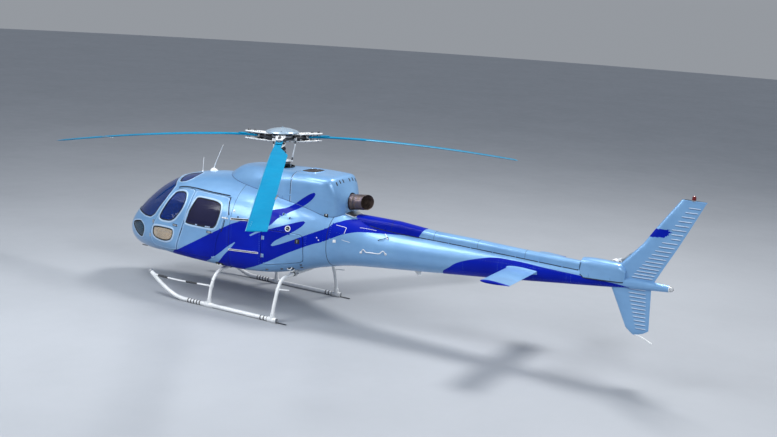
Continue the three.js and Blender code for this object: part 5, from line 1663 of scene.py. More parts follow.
base_skid = Build()
path = np.vstack([[(SX, y, SZ) for y in np.linspace(.745, -1.28, 60)],
                  smooth([(SX, -1.28, SZ), (SX, -1.42, .064), (SX, -1.60, .131), (SX, -1.80, .240), (SX, -2.07, .440)], .02)[1:]])
tube(path, SR, 22, 0, base_skid)
lathe([(0, -.006), (.034, -.006), (.0395, -.001), (.0395, .030), (.0385, .032)], 24, 2, base_skid, (SX, .760, SZ), (0, -1, 0))
tip = np.array(path[-1])
lathe([(0, -.008), (.030, -.006), (.0392, .003), (.0392, .036), (.0382, .038)], 24, 2, base_skid, tip, unit(path[-3] - path[-1]))
for y0, y1 in ((-1.18, -.86), (.42, .755)):
    rbox((SX - .021, y0, .0003), (SX + .021, y1, .014), .003, 2, 1, base_skid)
    for yy in np.linspace(y0 + .03, y1 - .03, 5):
        bolt(base_skid, (SX + .0385, yy, SZ - .006), unit((1, 0, -.1)), .0055, .004, 1)
        lathe([(.0383, -.012), (.0402, -.012), (.0402, .012), (.0383, .012)], 22, 1, base_skid, (SX, yy, SZ), (0, 1, 0))
rbox((SX - .018, .70, .0085), (SX + .018, .980, .0155), .003, 2, 1, base_skid)
for y, arch in ((-.70, ARCH_F), (.68, ARCH_R)):
    # saddle casting: sleeve on the skid and socket for the leg
    lathe([(.0385, -.090), (.0440, -.090), (.0485, -.080), (.0485, .080), (.0440, .090), (.0385, .090)], 26, 0, base_skid, (SX, y, SZ), (0, 1, 0))
    a, c = np.array([arch[0][0], y, arch[0][1]]), np.array([arch[1][0], y, arch[1][1]])
    lathe([(.0325, -.030), (.046, -.030), (.042, .030), (.0385, .072), (.0325, .074)], 24, 0, base_skid, a, unit(c - a))
    for dy in (-.062, .062):
        for dx in (-1, 1):
            bolt(base_skid, (SX + dx * .038, y + dy, SZ + .030), unit((dx * .75, 0, .66)), .0065, .006, 2)
    bolt(base_skid, a + unit(c - a) * .045 + (.0385, 0, 0), (1, 0, 0), .007, .006, 2)
step_b = Build()
step_path = smooth([(SX, -1.985, .385), (1.072, -1.900, .378), (1.055, -1.500, .362), (1.018, -.735, .378)], .03)
tube(step_path, .016, 14, 0, step_b)
for t_ in (.10, .62):
    i = int(t_ * (len(step_path) - 1))
    seg_ = step_path[i:i + 9]
    if len(seg_) > 3:
        tube(seg_, .0185, 16, 1, step_b, ends=False)
lathe([(.0325, -.022), (.0385, -.022), (.0385, .022), (.0325, .022)], 22, 0, step_b, (1.0135, -.70, .374), unit((.23, 0, -.97)))
rbox((.985, -.748, .362), (1.035, -.726, .394), .004, 2, 0, step_b)
grip = solid("grit_tread", (44, 46, 50), (66, 68, 72), (.85, .95), 0.0, 90, (900, .9, .0012))
for sdn in ("left", "right"):
    w = (lambda x: x) if sdn == "left" else (lambda x: x.mirrored())
    make(f"skid_tube_{sdn}", w(base_skid), [white, steel, alu], nodes=[f"skid_{sdn}"])
    make(f"step_rail_{sdn}", w(step_b), [white, grip], nodes=[f"boarding_step_{sdn}"])
# short step and small fittings on the rear legs
b = Build()
for sg in (1, -1):
    tube([(.938 * sg, .70, .566), (.941 * sg, .81, .577), (.944 * sg, .915, .589)], .011, 12, 0, b, .02)
    lathe([(.0325, -.020), (.0395, -.020), (.0395, .020), (.0325, .020)], 22, 0, b, (.9325 * sg, .68, .562), unit((-.38 * sg, 0, .925)))
    rbox((.955 * sg - .02, -.752, .455), (.955 * sg + .02, -.728, .520), .004, 2, 1, b)
    lathe([(.0325, -.016), (.0385, -.016), (.0385, .016), (.0325, .016)], 22, 1, b, (.972 * sg, -.70, .475), unit((-.45 * sg, 0, .89)))
make("leg_fittings", b, [white, alu])

# --------------------------------------------------------------- main rotor
TILT = math.radians(1.1)
RM = np.eye(4)
RM[1:3, 1:3] = [[math.cos(TILT), -math.sin(TILT)], [math.sin(TILT), math.cos(TILT)]]
RM[:3, 3] = (0, 0, 3.065)


def turn_z(deg):
    a = math.radians(deg)
    M = np.eye(4)
    M[:2, :2] = [[math.cos(a), -math.sin(a)], [math.sin(a), math.cos(a)]]
    return M


ANG = {"near": 30, "far": 150, "nose": 270}
R_TIP = 5.345
RAD = np.array([.52, .82, 1.15, 1.65, 2.2, 3.4, 4.4, R_TIP])
LEAD = np.array([.055, .062, .065, .078, .078, .078, .078, .078])
TRAIL = np.array([.055, .062, .066, .217, .217, .217, .217, .217])
THK = np.array([.036, .038, .040, .040, .038, .036, .034, .030])
droop = lambda r: -.585 * (np.maximum(0, r - .56) / (R_TIP - .56))**1.4
blade = Build()
rr = np.unique(np.concatenate([np.linspace(.52, 1.75, 70), np.linspace(1.75, 5.30, 60), 5.30 + .045 * np.sin(np.linspace(0, np.pi / 2, 9))]))
u = .5 - .5 * np.cos(np.linspace(0, np.pi, 34))
rings = []
for r in rr:
    ld, tr, tk = (float(np.interp(r, RAD, x)) for x in (LEAD, TRAIL, THK))
    e = max(0, (r - 5.30) / .045)
    sc = math.sqrt(max(.0004, 1 - (e * .96)**2))
    root = np.clip((1.45 - r) / .40, 0, 1)
    h = (section(u) * (1 - root) + root * np.clip(1 - np.abs(2 * u - 1)**5, 0, 1)**.5 * .92) * tk / 2 * sc
    y = -ld + (ld + tr) * u
    twist = -math.radians(3.0) * (r - 1.65) / 3.7 if r > 1.65 else 0.0
    z = droop(r)
    up = np.stack([np.full(34, r), y, z + h + y * 0 - y * math.sin(twist) * .35], 1)
    dn = np.stack([np.full(34, r), y, z - h - y * math.sin(twist) * .35], 1)[::-1][1:-1]
    rings.append(np.vstack([up, dn]))
loft(rings, 0, b=blade)
V_ = np.concatenate(blade.v)
lead_of = lambda r: -float(np.interp(r, RAD, LEAD))
blade.m = [1 if (V_[list(t)].mean(0)[0] > 1.70 and V_[list(t)].mean(0)[1] < -.066) else 0 for t in blade.f]
# trim tab, tip weights cover and root reinforcement
rbox((3.80, .212, float(droop(3.95)) - .0035), (4.10, .236, float(droop(3.95)) + .0015), .001, 1, 2, blade)
for r in (5.05, 5.12, 5.19):
    for sgn in (1, -1):
        bolt(blade, (r, -.02, float(droop(r)) + sgn * .0148), (0, 0, sgn), .006, .0025, 2)
prism([(.535, -.0595), (.80, -.064), (.93, -.052), (.97, 0), (.93, .060), (.80, .064), (.535, .0595)], float(droop(.7)) + .010, float(droop(.7)) + .0215, .002, 3, blade)
lead_grey = solid("leading_edge_guard", (88, 150, 182), (110, 170, 198), (.3, .42), .5, 20)
blade_root = solid("blade_root_wrap", (150, 158, 164), (172, 178, 182), (.45, .6), 0.0, 24, (420, .3, .0005))
for nm, a in ANG.items():
    # blades carry the blue paint with its painted sky reflection
    make(f"rotor_blade_{nm}", blade.turned(RM @ turn_z(a)), [blade_blue_and_painted_sky, lead_grey, alu, blade_blue_and_painted_sky], "main_rotor", [f"main_blade_{nm}"], angle=45)

hub = Build()     # materials: 0 pale enamel, 1 dark composite, 2 alloy, 3 rubber, 4 steel
# flexible star: three tapering arms with rounded tips
star_poly = []
for a in (30, 150, 270):
    arm = [(.20, .112), (.30, .095), (.40, .074), (.455, .060), (.474, .034), (.480, 0), (.474, -.034), (.455, -.060), (.40, -.074), (.30, -.095), (.20, -.112)][::-1]
    M = turn_z(a)
    star_poly += [tuple(M[:2, :2] @ p) for p in np.array(arm)]
prism(star_poly, -.018, .018, .004, 1, hub)
lathe([(0, -.60), (.036, -.60), (.036, -.56), (.042, -.55), (.042, -.10), (.060, -.075), (.110, -.062), (.150, -.052), (.150, -.022)], 36, 4, hub)
lathe([(.185, -.040), (.188, -.036), (.188, -.022), (.184, -.018)], 36, 2, hub)
lathe([(0, -.041), (.185, -.040)], 36, 2, hub)
lathe([(.185, .018), (.187, .022), (.187, .042), (.182, .049), (0, .050)], 36, 2, hub)
for i in range(12):
    a = 2 * math.pi * i / 12
    bolt(hub, (.155 * math.cos(a), .155 * math.sin(a), .049), (0, 0, 1), .011, .014, 4)
    bolt(hub, (.165 * math.cos(a), .165 * math.sin(a), -.040), (0, 0, -1), .009, .010, 4)
arm = Build()
plate_poly = [(.150, -.066), (.200, -.080), (.340, -.084), (.480, -.085), (.560, -.080), (.700, -.066), (.770, -.058), (.798, -.036), (.802, 0), (.798, .036), (.770, .058),
              (.700, .066), (.560, .080), (.480, .085), (.340, .084), (.200, .080), (.150, .066), (.143, 0)]
for z0, z1 in ((.044, .058), (-.058, -.044)):
    prism(plate_poly, z0, z1, .003, 0, arm)
# raised rib along each plate
for sgn in (1, -1):
    for y in (-.050, .050):
        rbox((.26, y - .007, .057 if sgn > 0 else -.065), (.60, y + .007, .065 if sgn > 0 else -.057), .003, 2, 0, arm)
# laminated bearing at the root of the arm: shims and rubber
for i in range(9):
    x = .215 + .0125 * i
    rbox((x, -.064, -.043), (x + .0065, .064, .043), .006, 2, 4, arm)
    rbox((x + .0055, -.059, -.040), (x + .0135, .059, .040), .006, 2, 3, arm)
rbox((.325, -.070, -.0445), (.338, .070, .0445), .004, 2, 2, arm)
# outer damper blocks above and below the star's tip
for sgn in (1, -1):
    rbox((.425, -.078, .020 if sgn > 0 else -.0445), (.505, .078, .0445 if sgn > 0 else -.020), .006, 2, 3, arm)
    rbox((.420, -.080, .0385 if sgn > 0 else -.0445), (.510, .080, .0445 if sgn > 0 else -.0385), .002, 1, 2, arm)
rbox((.462, -.050, -.021), (.505, .050, .021), .006, 2, 2, arm)
# blade pins through both plates, bolts of the blocks
for x in (.600, .735):
    lathe([(0, -.074), (.012, -.074), (.017, -.070), (.017, -.059), (.026, -.058), (.026, -.0575)], 20, 4, arm, (x, 0, 0))
    lathe([(.026, .0575), (.026, .061), (.0225, .063), (.0225, .080), (.019, .084), (.008, .085), (0, .083)], 20, 4, arm, (x, 0, 0))
    lathe([(.0165, -.06), (.0165, .06)], 16, 4, arm, (x, 0, 0))
for x, y in ((.215, .045), (.215, -.045), (.300, .058), (.300, -.058), (.440, .055), (.440, -.055), (.490, .055), (.490, -.055)):
    for sgn in (1, -1):
        bolt(arm, (x, y, sgn * .058), (0, 0, sgn), .0095, .009, 4)
# pitch horn
prism([(.166, -.058), (.176, -.110), (.182, -.150), (.192, -.164), (.208, -.164), (.218, -.150), (.226, -.110), (.240, -.058)], -.030, .010, .003, 0, arm)
lathe([(0, -.040), (.013, -.040), (.015, -.036), (.015, .014), (.011, .018), (0, .018)], 18, 4, arm, (.200, -.142, 0))
for x in (.600, .735):
    lathe([(.027, -.043), (.031, -.041), (.031, -.018), (.031, .018), (.031, .041), (.027, .043)], 20, 2, arm, (x, 0, 0))
arm = arm.turned(np.diag([1.0, 1.0, 1.24, 1.0]))
for a in ANG.values():
    hub.join(arm.turned(turn_z(a)))
make("rotor_head", hub.turned(RM), [white, star, alu, rubber, steel], "main_rotor", ["main_rotor_hub"], angle=36)
# cap: shallow dome with twelve pressed facets and a rim
cap = Build()
prof = [(0, .197), (.030, .191), (.080, .184), (.150, .173), (.220, .156), (.262, .141), (.287, .128), (.296, .119), (.3005, .111), (.299, .104), (.290, .101), (.284, .106), (.27, .117), (.20, .138), (.10, .157), (0, .162)]
segs = 96
v, f = [], []
for i, (r, z) in enumerate(prof):
    for j in range(segs):
        a = 2 * math.pi * j / segs
        flute = .0035 * max(0.0, math.sin(math.pi * min(1, max(0, (r - .05) / .22)))) * (abs(math.sin(a * 6)) - .5) if i < 7 else 0
        v.append((r * math.cos(a), r * math.sin(a), z + flute))
for i in range(len(prof) - 1):
    for j in range(segs):
        k_ = (j + 1) % segs
        f.append((i * segs + j, (i + 1) * segs + j, (i + 1) * segs + k_, i * segs + k_))
cap.add(v, f, 0)
for i in range(6):
    a = 2 * math.pi * (i + .5) / 6
    bolt(cap, (.250 * math.cos(a), .250 * math.sin(a), .145), unit((.35 * math.cos(a), .35 * math.sin(a), .9)), .007, .005, 1)
bolt(cap, (0, 0, .1955), (0, 0, 1), .014, .010, 0)
lathe([(.118, .050), (.118, .062), (.085, .068), (.064, .084), (.058, .118), (.064, .150), (.090, .160)], 32, 1, cap)
for i in range(8):
    a = 2 * math.pi * i / 8
    bolt(cap, (.103 * math.cos(a), .103 * math.sin(a), .061), (0, 0, 1), .007, .006, 1)
cap_paint = paint("cap_silver", (158, 184, 206), (184, 204, 220), .6, (.22, .32), coat=.6)
make("rotor_cap", cap.turned(RM), [cap_paint, steel], "main_rotor", nodes=["hub_cap"], angle=30)

# swashplate star, pitch links, driving scissors
sw = Build()
lathe([(.052, -.424), (.110, -.426), (.148, -.420), (.152, -.414), (.152, -.392), (.148, -.386), (.110, -.382), (.060, -.384), (.052, -.390)], 36, 0, sw, closed=True)
for a in ANG.values():
    M = turn_z(a - 34)
    prism([(.12, -.042), (.165, -.026), (.198, -.020), (.206, 0), (.198, .020), (.165, .026), (.12, .042)], -.416, -.390, .003, 0, sw, M)
    p = (M @ [.188, 0, -.392, 1])[:3]
    q = np.array([.200 * math.cos(math.radians(a)) + .142 * math.sin(math.radians(a)), .200 * math.sin(math.radians(a)) - .142 * math.cos(math.radians(a)), -.040])
    d_ = unit(q - p)
    tube([p, q], .0125, 14, 0, sw)
    for e, sgn in ((p, 1), (q, -1)):
        lathe([(0, -.004), (.013, -.002), (.015, .010), (.013, .026), (.0145, .030), (.0145, .046), (.0125, .052)], 16, 2, sw, e, d_ * sgn)
    lathe([(0, -.020), (.010, -.020), (.012, -.016), (.012, .016), (.010, .020), (0, .020)], 16, 2, sw, p, unit(np.cross(d_, (0, 0, 1))))
# scissors from the star up to a collar on the mast
lathe([(.043, -.215), (.066, -.215), (.070, -.209), (.070, -.176), (.066, -.170), (.043, -.170)], 30, 1, sw, closed=True)
for a in (200, 20):
    M = turn_z(a)
    T = lambda p: (M @ [*p, 1])[:3]
    k1, k2, k3 = T((.066, 0, -.192)), T((.205, 0, -.285)), T((.135, 0, -.392))
    for s_, e_ in ((k1, k2), (k2, k3)):
        d_ = unit(e_ - s_)
        sd = unit(np.cross(d_, (0, 0, 1)))
        for o_ in (-.014, .014):
            tube([s_ + sd * o_ * 1.6, e_ + sd * o_], .0075, 10, 1, sw)
    for kk in (k1, k2, k3):
        sd = unit(np.cross(unit(k2 - k1), (0, 0, 1)))
        lathe([(0, -.030), (.011, -.030), (.011, .030), (0, .030)], 14, 2, sw, kk, sd)
make("control_star", sw.turned(RM), [white, star, steel], "main_rotor", ["swashplate"], angle=40)

# what stands still under the rotor: casing, fixed star, actuators, boot
fx_ = Build()
lathe([(.148, -.69), (.150, -.66), (.128, -.62), (.112, -.58), (.104, -.55), (.098, -.545), (.050, -.545)], 32, 0, fx_)
lathe([(.055, -.462), (.120, -.466), (.158, -.462), (.162, -.456), (.162, -.440), (.158, -.434), (.120, -.431), (.055, -.434)], 32, 1, fx_, closed=True)
for i in range(8):
    a = 2 * math.pi * i / 8
    bolt(fx_, (.138 * math.cos(a), .138 * math.sin(a), -.664), unit((.4 * math.cos(a), .4 * math.sin(a), .9)), .009, .010, 2)
for a in (90, 210, 330):
    M = turn_z(a)
    T = lambda p: (M @ [*p, 1])[:3]
    prism([(.12, -.040), (.196, -.020), (.212, 0), (.196, .020), (.12, .040)], -.461, -.437, .003, 1, fx_, M)
    tube([T((.198, 0, -.455)), T((.196, 0, -.66))], .010, 12, 2, fx_)
    tube([T((.197, 0, -.54)), T((.196, 0, -.74))], .021, 16, 0, fx_)
    lathe([(0, -.018), (.014, -.016), (.014, .016), (0, .018)], 14, 2, fx_, T((.198, 0, -.455)), T((0, 1, 0)))
lathe([(.236, -.512), (.245, -.512), (.245, -.500), (.236, -.498), (.222, -.506), (.222, -.530), (.232, -.530)], 48, 3, fx_, closed=True)
make("mast_base", fx_.turned(RM), [alu, steel, alu, rubber], angle=38)

# --------------------------------------------------------------- tail rotor
TH = np.array([-.350, 6.225, 1.790])
park = math.radians(-66)
TM = np.eye(4)
TM[1:3, 1:3] = [[math.cos(park), -math.sin(park)], [math.sin(park), math.cos(park)]]
TM[:3, 3] = TH
th_ = Build()
lathe([(0, -.050), (.022, -.050), (.030, -.046), (.060, -.040), (.062, -.034), (.062, .048), (.056, .058), (.034, .064), (.026, .070), (.026, .150)], 30, 0, th_, (0, 0, 0), (1, 0, 0))
lathe([(.026, .150), (.026, .196)], 22, 1, th_, (0, 0, 0), (1, 0, 0))
lathe([(.034, .090), (.050, .092), (.056, .098), (.056, .112), (.050, .118), (.034, .120)], 26, 1, th_, (0, 0, 0), (1, 0, 0))
for sgn in (1, -1):
    for dx in (-.030, .030):
        rbox((dx - .006, -.046, -.115 if sgn < 0 else .035), (dx + .006, .046, -.035 if sgn < 0 else .115), .006, 2, 0, th_)
    lathe([(0, -.046), (.012, -.046), (.013, -.042), (.013, .042), (.012, .046), (0, .046)], 16, 1, th_, (0, 0, sgn * .085), (1, 0, 0))
    # pitch arm and link
    tube([(.104, .045 * sgn, .052 * sgn), (.030, .075 * sgn, .13 * sgn), (.0, .072 * sgn, .165 * sgn)], .0065, 10, 1, th_, .02)
    lathe([(0, -.012), (.010, -.012), (.010, .012), (0, .012)], 12, 1, th_, (.104, .045 * sgn, .052 * sgn), (1, 0, 0))
    lathe([(0, -.010), (.010, -.010), (.010, .010), (0, .010)], 12, 1, th_, (.0, .072 * sgn, .165 * sgn), (1, 0, 0))
make("tail_rotor_head", th_.turned(TM), [white, steel], "tail_rotor", ["tail_rotor_hub"])
tb = Build()
TR = np.array([[-.025, .038, .034], [.170, .040, .030], [.290, .0925, .024], [.620, .0925, .020], [.930, .0925, .014]])
u = .5 - .5 * np.cos(np.linspace(0, np.pi, 26))
rs = np.unique(np.concatenate([np.linspace(-.025, .34, 26), np.linspace(.34, .915, 30), .915 + .015 * np.sin(np.linspace(0, np.pi / 2, 6))]))
for flip_ in (0, 1):
    rings = []
    for r in rs:
        hc, tk = float(np.interp(r, TR[:, 0], TR[:, 1])), float(np.interp(r, TR[:, 0], TR[:, 2]))
        e = max(0, (r - .915) / .015)
        h = section(u) * tk / 2 * math.sqrt(max(.001, 1 - (.95 * e)**2))
        y = -hc + 2 * hc * u
        up = np.stack([-h, y, np.full(26, r)], 1)
        dn = np.stack([h, y, np.full(26, r)], 1)[::-1][1:-1]
        rings.append(np.vstack([up, dn]))
    one = loft(rings, 0)
    V_ = np.concatenate(one.v)
    mm_ = []
    for t in one.f:
        c = V_[list(t)].mean(0)
        m_ = 0
        if c[1] < -.080 and c[2] > .33:
            m_ = 1
        if c[2] > .76:
            m_ = 2
        if c[2] > .86:
            m_ = 3
        mm_.append(m_)
    one.m = mm_
    if flip_:
        F_ = np.diag([1.0, -1.0, -1.0, 1.0])
        one = one.turned(F_)
    tb.join(one)
make("tail_rotor_blade_pair", tb.turned(TM), [blade_grey, brown_red, orange, white], "tail_rotor", ["tail_rotor_blades"], angle=45)
# gearbox flange and control rod on the fairing, standing still
b = Build()
lathe([(.075, 0), (.075, -.020), (.068, -.026), (.052, -.040), (.040, -.044), (.040, -.058), (.030, -.062)], 30, 0, b, (-.130, 6.225, 1.790), (1, 0, 0))
for i in range(8):
    a = 2 * math.pi * i / 8
    bolt(b, (-.151, 6.225 + .064 * math.cos(a), 1.790 + .064 * math.sin(a)), (-1, 0, 0), .005, .005, 1)
tube([(-.118, 6.02, 1.72), (-.175, 6.08, 1.72), (-.192, 6.16, 1.735)], .008, 10, 1, b, .02)
make("tail_gearbox_flange", b, [alu, steel])

# -------------------------------------------------------------- cabin inside
seat_dark = cloth("bench_cloth", (56, 54, 68), (74, 72, 86))
piping = solid("seat_piping", (66, 68, 74), (84, 86, 92), (.6, .75), 0.0, 30, (500, .2, .0004), spec=.3)
console = solid("console_paint", (44, 46, 50), (60, 62, 66), (.55, .7), 0.0, 18, (480, .3, .0005))
amber = solid("warning_caption", (190, 130, 30), (214, 150, 44), (.4, .5), 0.0, 30, None)
green_trim = solid("display_glass", (16, 26, 30), (22, 38, 42), (.12, .2), 0.0, 14, None, spec=.6)


def round_slab(w, l, t, r, crown=0.0, n=9):
    """Closed rounded slab in its own axes: w across, l along, t thick, with a crowned upper side."""
    g = Build()
    rings = []
    out = chaikin(dens([(-w / 2, -l / 2), (w / 2, -l / 2), (w / 2, l / 2), (-w / 2, l / 2)], .06), 3, .25)
    for k in range(n + 1):
        a = math.pi * k / n - math.pi / 2
        off = -r * (1 - math.cos(a))
        o = grow(out, off)
        z = t / 2 * math.sin(a) if abs(math.sin(a)) > .999 else (t / 2 - min(r, t / 2)) * np.sign(a) + min(r, t / 2) * math.sin(a)
        rings.append(np.c_[o, np.full(len(o), z)])
    for k in (.75, .5, .25, .1):
        o = grow(out, -r) * k
        rings.append(np.c_[o, np.full(len(o), t / 2 + crown * (1 - k * k))])
    low = [np.c_[grow(out, -r) * k, np.full(len(out), -t / 2)] for k in (.1, .4, .75)]
    return loft(low + rings, 0, b=g)


def fill_pad(name, M, w, l, t, mats, nodes, channels=(), cross=(), voxel=.011, cap=.022, sub=True, wedge_=0.0):
    """Stuffed pad: blown up by the cloth solver, flat underneath, then sewn channels and piping."""
    base = round_slab(w - .016, l - .016, t - .016, min(.036, t * .36), .006)
    v = np.concatenate(base.v)
    me = bpy.data.meshes.new(name)
    me.from_pydata(v.tolist(), [], base.f)
    ob = bpy.data.objects.new(name, me)
    bpy.context.scene.collection.objects.link(ob)
    bm = bmesh.new()
    bm.from_mesh(me)
    bmesh.ops.recalc_face_normals(bm, faces=list(bm.faces))
    bm.to_mesh(me)
    bm.free()
    rm = ob.modifiers.new("remesh", "REMESH")
    rm.mode, rm.voxel_size, rm.use_smooth_shade = "VOXEL", voxel, True
    dg = bpy.context.evaluated_depsgraph_get()
    me2 = bpy.data.meshes.new_from_object(ob.evaluated_get(dg))
    ob.modifiers.clear()
    ob.data = me2
    n = len(me2.vertices)
    P0 = np.empty(n * 3)
    me2.vertices.foreach_get("co", P0)
    P0 = P0.reshape(-1, 3)
    P1 = P0
    cm = ob.modifiers.new("cloth", "CLOTH")
    cs = cm.settings
    cs.use_pressure, cs.uniform_pressure_force = True, 4.0
    cs.quality, cs.mass = 5, .3
    cs.tension_stiffness = cs.compression_stiffness = 12
    cs.effector_weights.gravity = 0
    cm.point_cache.frame_start, cm.point_cache.frame_end = 1, 20
    for f in range(1, 21):
        bpy.context.scene.frame_set(f)
    dg = bpy.context.evaluated_depsgraph_get()
    em = ob.evaluated_get(dg).data
    P1 = np.empty(n * 3)
    em.vertices.foreach_get("co", P1)
    P1 = P1.reshape(-1, 3)
    ob.modifiers.clear()
    bpy.context.scene.frame_set(1)
    d = P1 - P0
    ln = np.linalg.norm(d, axis=1, keepdims=True)
    P1 = P0 + d * np.minimum(1, cap / np.maximum(ln, 1e-9))
    P1[:, 2] = np.maximum(P1[:, 2], -t / 2 + .001)          # rests flat
    me2.vertices.foreach_set("co", P1.ravel())
    if sub:
        bm = bmesh.new()
        bm.from_mesh(me2)
        bmesh.ops.subdivide_edges(bm, edges=list(bm.edges), cuts=1, use_grid_fill=True, smooth=.6)
        bm.to_mesh(me2)
        bm.free()
    n = len(me2.vertices)
    P = np.empty(n * 3)
    me2.vertices.foreach_get("co", P)
    P = P.reshape(-1, 3)
    sides = np.abs(P[:, 2]) < t * .42
    pull = .006 * np.cos(np.clip(P[:, 0] / (w / 2), -1, 1) * math.pi / 2) * np.cos(np.clip(P[:, 2] / (t / 2), -1, 1) * math.pi / 2)
    P[:, 1] -= np.sign(P[:, 1]) * np.where(sides & (np.abs(P[:, 1]) > l * .45), pull, 0)
    up = np.clip((P[:, 2] - t * .12) / (t * .2), 0, 1)
    for c in channels:
        P[:, 2] -= up * (.011 * np.exp(-((np.abs(P[:, 0]) - c) / .010)**2) * np.clip((l / 2 - .03 - np.abs(P[:, 1])) / .03, 0, 1))
    for c in cross:
        P[:, 2] -= up * .010 * np.exp(-((P[:, 1] - c) / .009)**2) * np.clip((w / 2 - .05 - np.abs(P[:, 0])) / .03, 0, 1)
    kink = .0016 * np.sin(P[:, 0] * 61 + 2.1 * np.sin(P[:, 1] * 17)) * np.sin(P[:, 1] * 47 + 1.3)
    P[:, 2] += up * kink
    if wedge_:
        P[:, 2] *= 1 - wedge_ * (P[:, 1] / l + .5)
    local = P.copy()
    M = np.asarray(M)
    W = P @ M[:3, :3].T + M[:3, 3] + (0, MY, 0)
    me2.vertices.foreach_set("co", W.ravel())
    me2.update()
    me2.polygons.foreach_set("use_smooth", np.ones(len(me2.polygons), bool))
    me2.materials.clear()
    me2.materials.append(mats[0])
    ob.name = name
    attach(ob, "airframe")
    if nodes:
        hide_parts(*nodes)
    MADE.append(ob)
    # piping round the upper edge, laid on the finished pad
    from mathutils.bvhtree import BVHTree
    tree = BVHTree.FromPolygons([Vector(p) for p in local], [tuple(p.vertices) for p in me2.polygons])
    loop = grow(chaikin(dens([(-w / 2, -l / 2), (w / 2, -l / 2), (w / 2, l / 2), (-w / 2, l / 2)], .05), 2, .25), -.004)
    path = []
    for x, y in loop:
        hit = tree.find_nearest(Vector((x * 1.02, y * 1.02, t * .34)))
        path.append(np.array(hit[0]) + np.array(hit[1]) * .0012)
    path.append(path[0])
    pb = tube(smooth(path, .02), .0042, 8, 0, ends=False)
    make(name + "_piping", pb.turned(M), [mats[1]], angle=0)
    return tree, M


def webbing(b, tree, M, pts, w=.046, t=.0024, mat=0, lift=.003):
    """Flat strap laid over a pad: pts are (x, y) in the pad's own axes."""
    p = smooth(np.array([(x, y, 0) for x, y in pts]), .025)
    d = unit(np.gradient(p, axis=0))
    s = np.stack([-d[:, 1], d[:, 0], np.zeros(len(p))], 1)
    rings = []
    for q, o in zip(p, s):
        row = []
        for k in (-.5, -.17, .17, .5):
            c = q + o * w * k
            h = tree.ray_cast(Vector((c[0], c[1], .4)), Vector((0, 0, -1)))
            row.append((c[0], c[1], (h[0][2] if h[0] is not None else 0) + lift))
        row = np.array(row)
        row[:, 2] = row[:, 2] * .35 + row[:, 2].max() * .65
        rings.append(np.vstack([row, (row - (0, 0, t))[::-1]]))
    R = np.array(rings)
    g = loft(R, mat)
    b.join(g.turned(M))


front_seat_trees = {}
tilt = math.atan2(.145, .685)
for side, sx in (("left", 1), ("right", -1)):
    Mc = axes((1, 0, 0), (0, 1, 0), (0, 0, 1), (.40 * sx, -1.770, 1.190))
    tc_ = fill_pad(f"front_seat_cushion_pad_{side}", Mc, .455, .475, .118, [seat_cloth, piping], [f"front_seat_cushion_{side}"], channels=(.125,), cross=(-.02, -.13))
    zb = unit((0, -math.cos(tilt), math.sin(tilt)))
    yb = unit((0, math.sin(tilt), math.cos(tilt)))
    Mb = axes(np.cross(yb, zb), yb, zb, (.40 * sx, -1.403, 1.545))
    tb_ = fill_pad(f"front_seat_back_pad_{side}", Mb, .435, .680, .092, [seat_cloth, piping], [f"front_seat_back_{side}"], channels=(.120,), cross=(-.17, -.02, .13, .235))
    b = Build()
    for x in (-.085, .085):
        webbing(b, tb_[0], Mb, [(x * .75, .335), (x * .8, .20), (x, .02), (x * 1.25, -.16), (x * 1.7, -.31)], mat=0)
        webbing(b, tc_[0], Mc, [(x * 2.4, .205), (x * 1.6, .12), (x * .45, .045)], mat=0)
    lathe([(.032, 0), (.032, .012), (.026, .016), (0, .017)], 24, 1, b, (Mc @ [0, .035, .070, 1])[:3], (0, 0, 1))
    rbox((-.010, -.006, .016), (.010, .006, .026), .003, 2, 2, b, axes((1, 0, 0), (0, 1, 0), (0, 0, 1), (Mc @ [0, .035, .070, 1])[:3]))
    for x in (-.064, .064):
        rbox((-.026, -.006, -.004), (.026, .006, .010), .003, 2, 1, b, Mb @ axes((1, 0, 0), (0, 1, 0), (0, 0, 1), (x, .332, .050)))
    make(f"front_seat_harness_{side}", b, [strap, alu, console], angle=40)
    # shell, pedestal, slide rails
    b = Build()
    base_o = chaikin(dens([(-.19, -.20), (.19, -.20), (.19, .20), (-.19, .20)], .09), 2, .25)
    loft([np.c_[base_o * k + (.40 * sx, -1.76 + dy), np.full(len(base_o), z)] for k, z, dy in
          ((.96, .952, 0), (.99, .958, 0), (.90, 1.00, .004), (.80, 1.06, .008), (.86, 1.098, .004), (1.0, 1.116, 0), (1.02, 1.124, 0), (1.0, 1.129, 0))], 0, b=b)
    for x in (-.15, .15):
        rbox((.40 * sx + x - .016, -2.00, .9305), (.40 * sx + x + .016, -1.53, .951), .004, 2, 1, b)
        for y in (-1.97, -1.80, -1.65, -1.56):
            bolt(b, (.40 * sx + x, y, .951), (0, 0, 1), .006, .005, 1)
    rbox((.40 * sx - .10, -1.975, 1.045), (.40 * sx + .10, -1.957, 1.058), .005, 3, 1, b)
    make(f"front_seat_pedestal_{side}", b, [console, alu], nodes=[f"front_seat_base_{side}"], angle=40)
    b = Build()
    loft([[(Mb @ [x * k, y, -.050 - .010 * (1 - abs(x / .2)**4), 1])[:3] for x in np.linspace(-.205, .205, 15)] +
          [(Mb @ [x * k, y, -.046, 1])[:3] for x in np.linspace(.205, -.205, 15)] for y, k in ((-.325, .94), (-.20, 1), (.20, 1), (.30, .95), (.335, .80))], 0, b=b)
    for x in (-.19, .19):
        tube([(Mb @ [x, -.30, -.056, 1])[:3], (Mb @ [x, .26, -.058, 1])[:3], (Mb @ [x * .6, .325, -.056, 1])[:3]], .008, 8, 1, b, .05)
    make(f"front_seat_shell_{side}", b, [console, alu], angle=40)

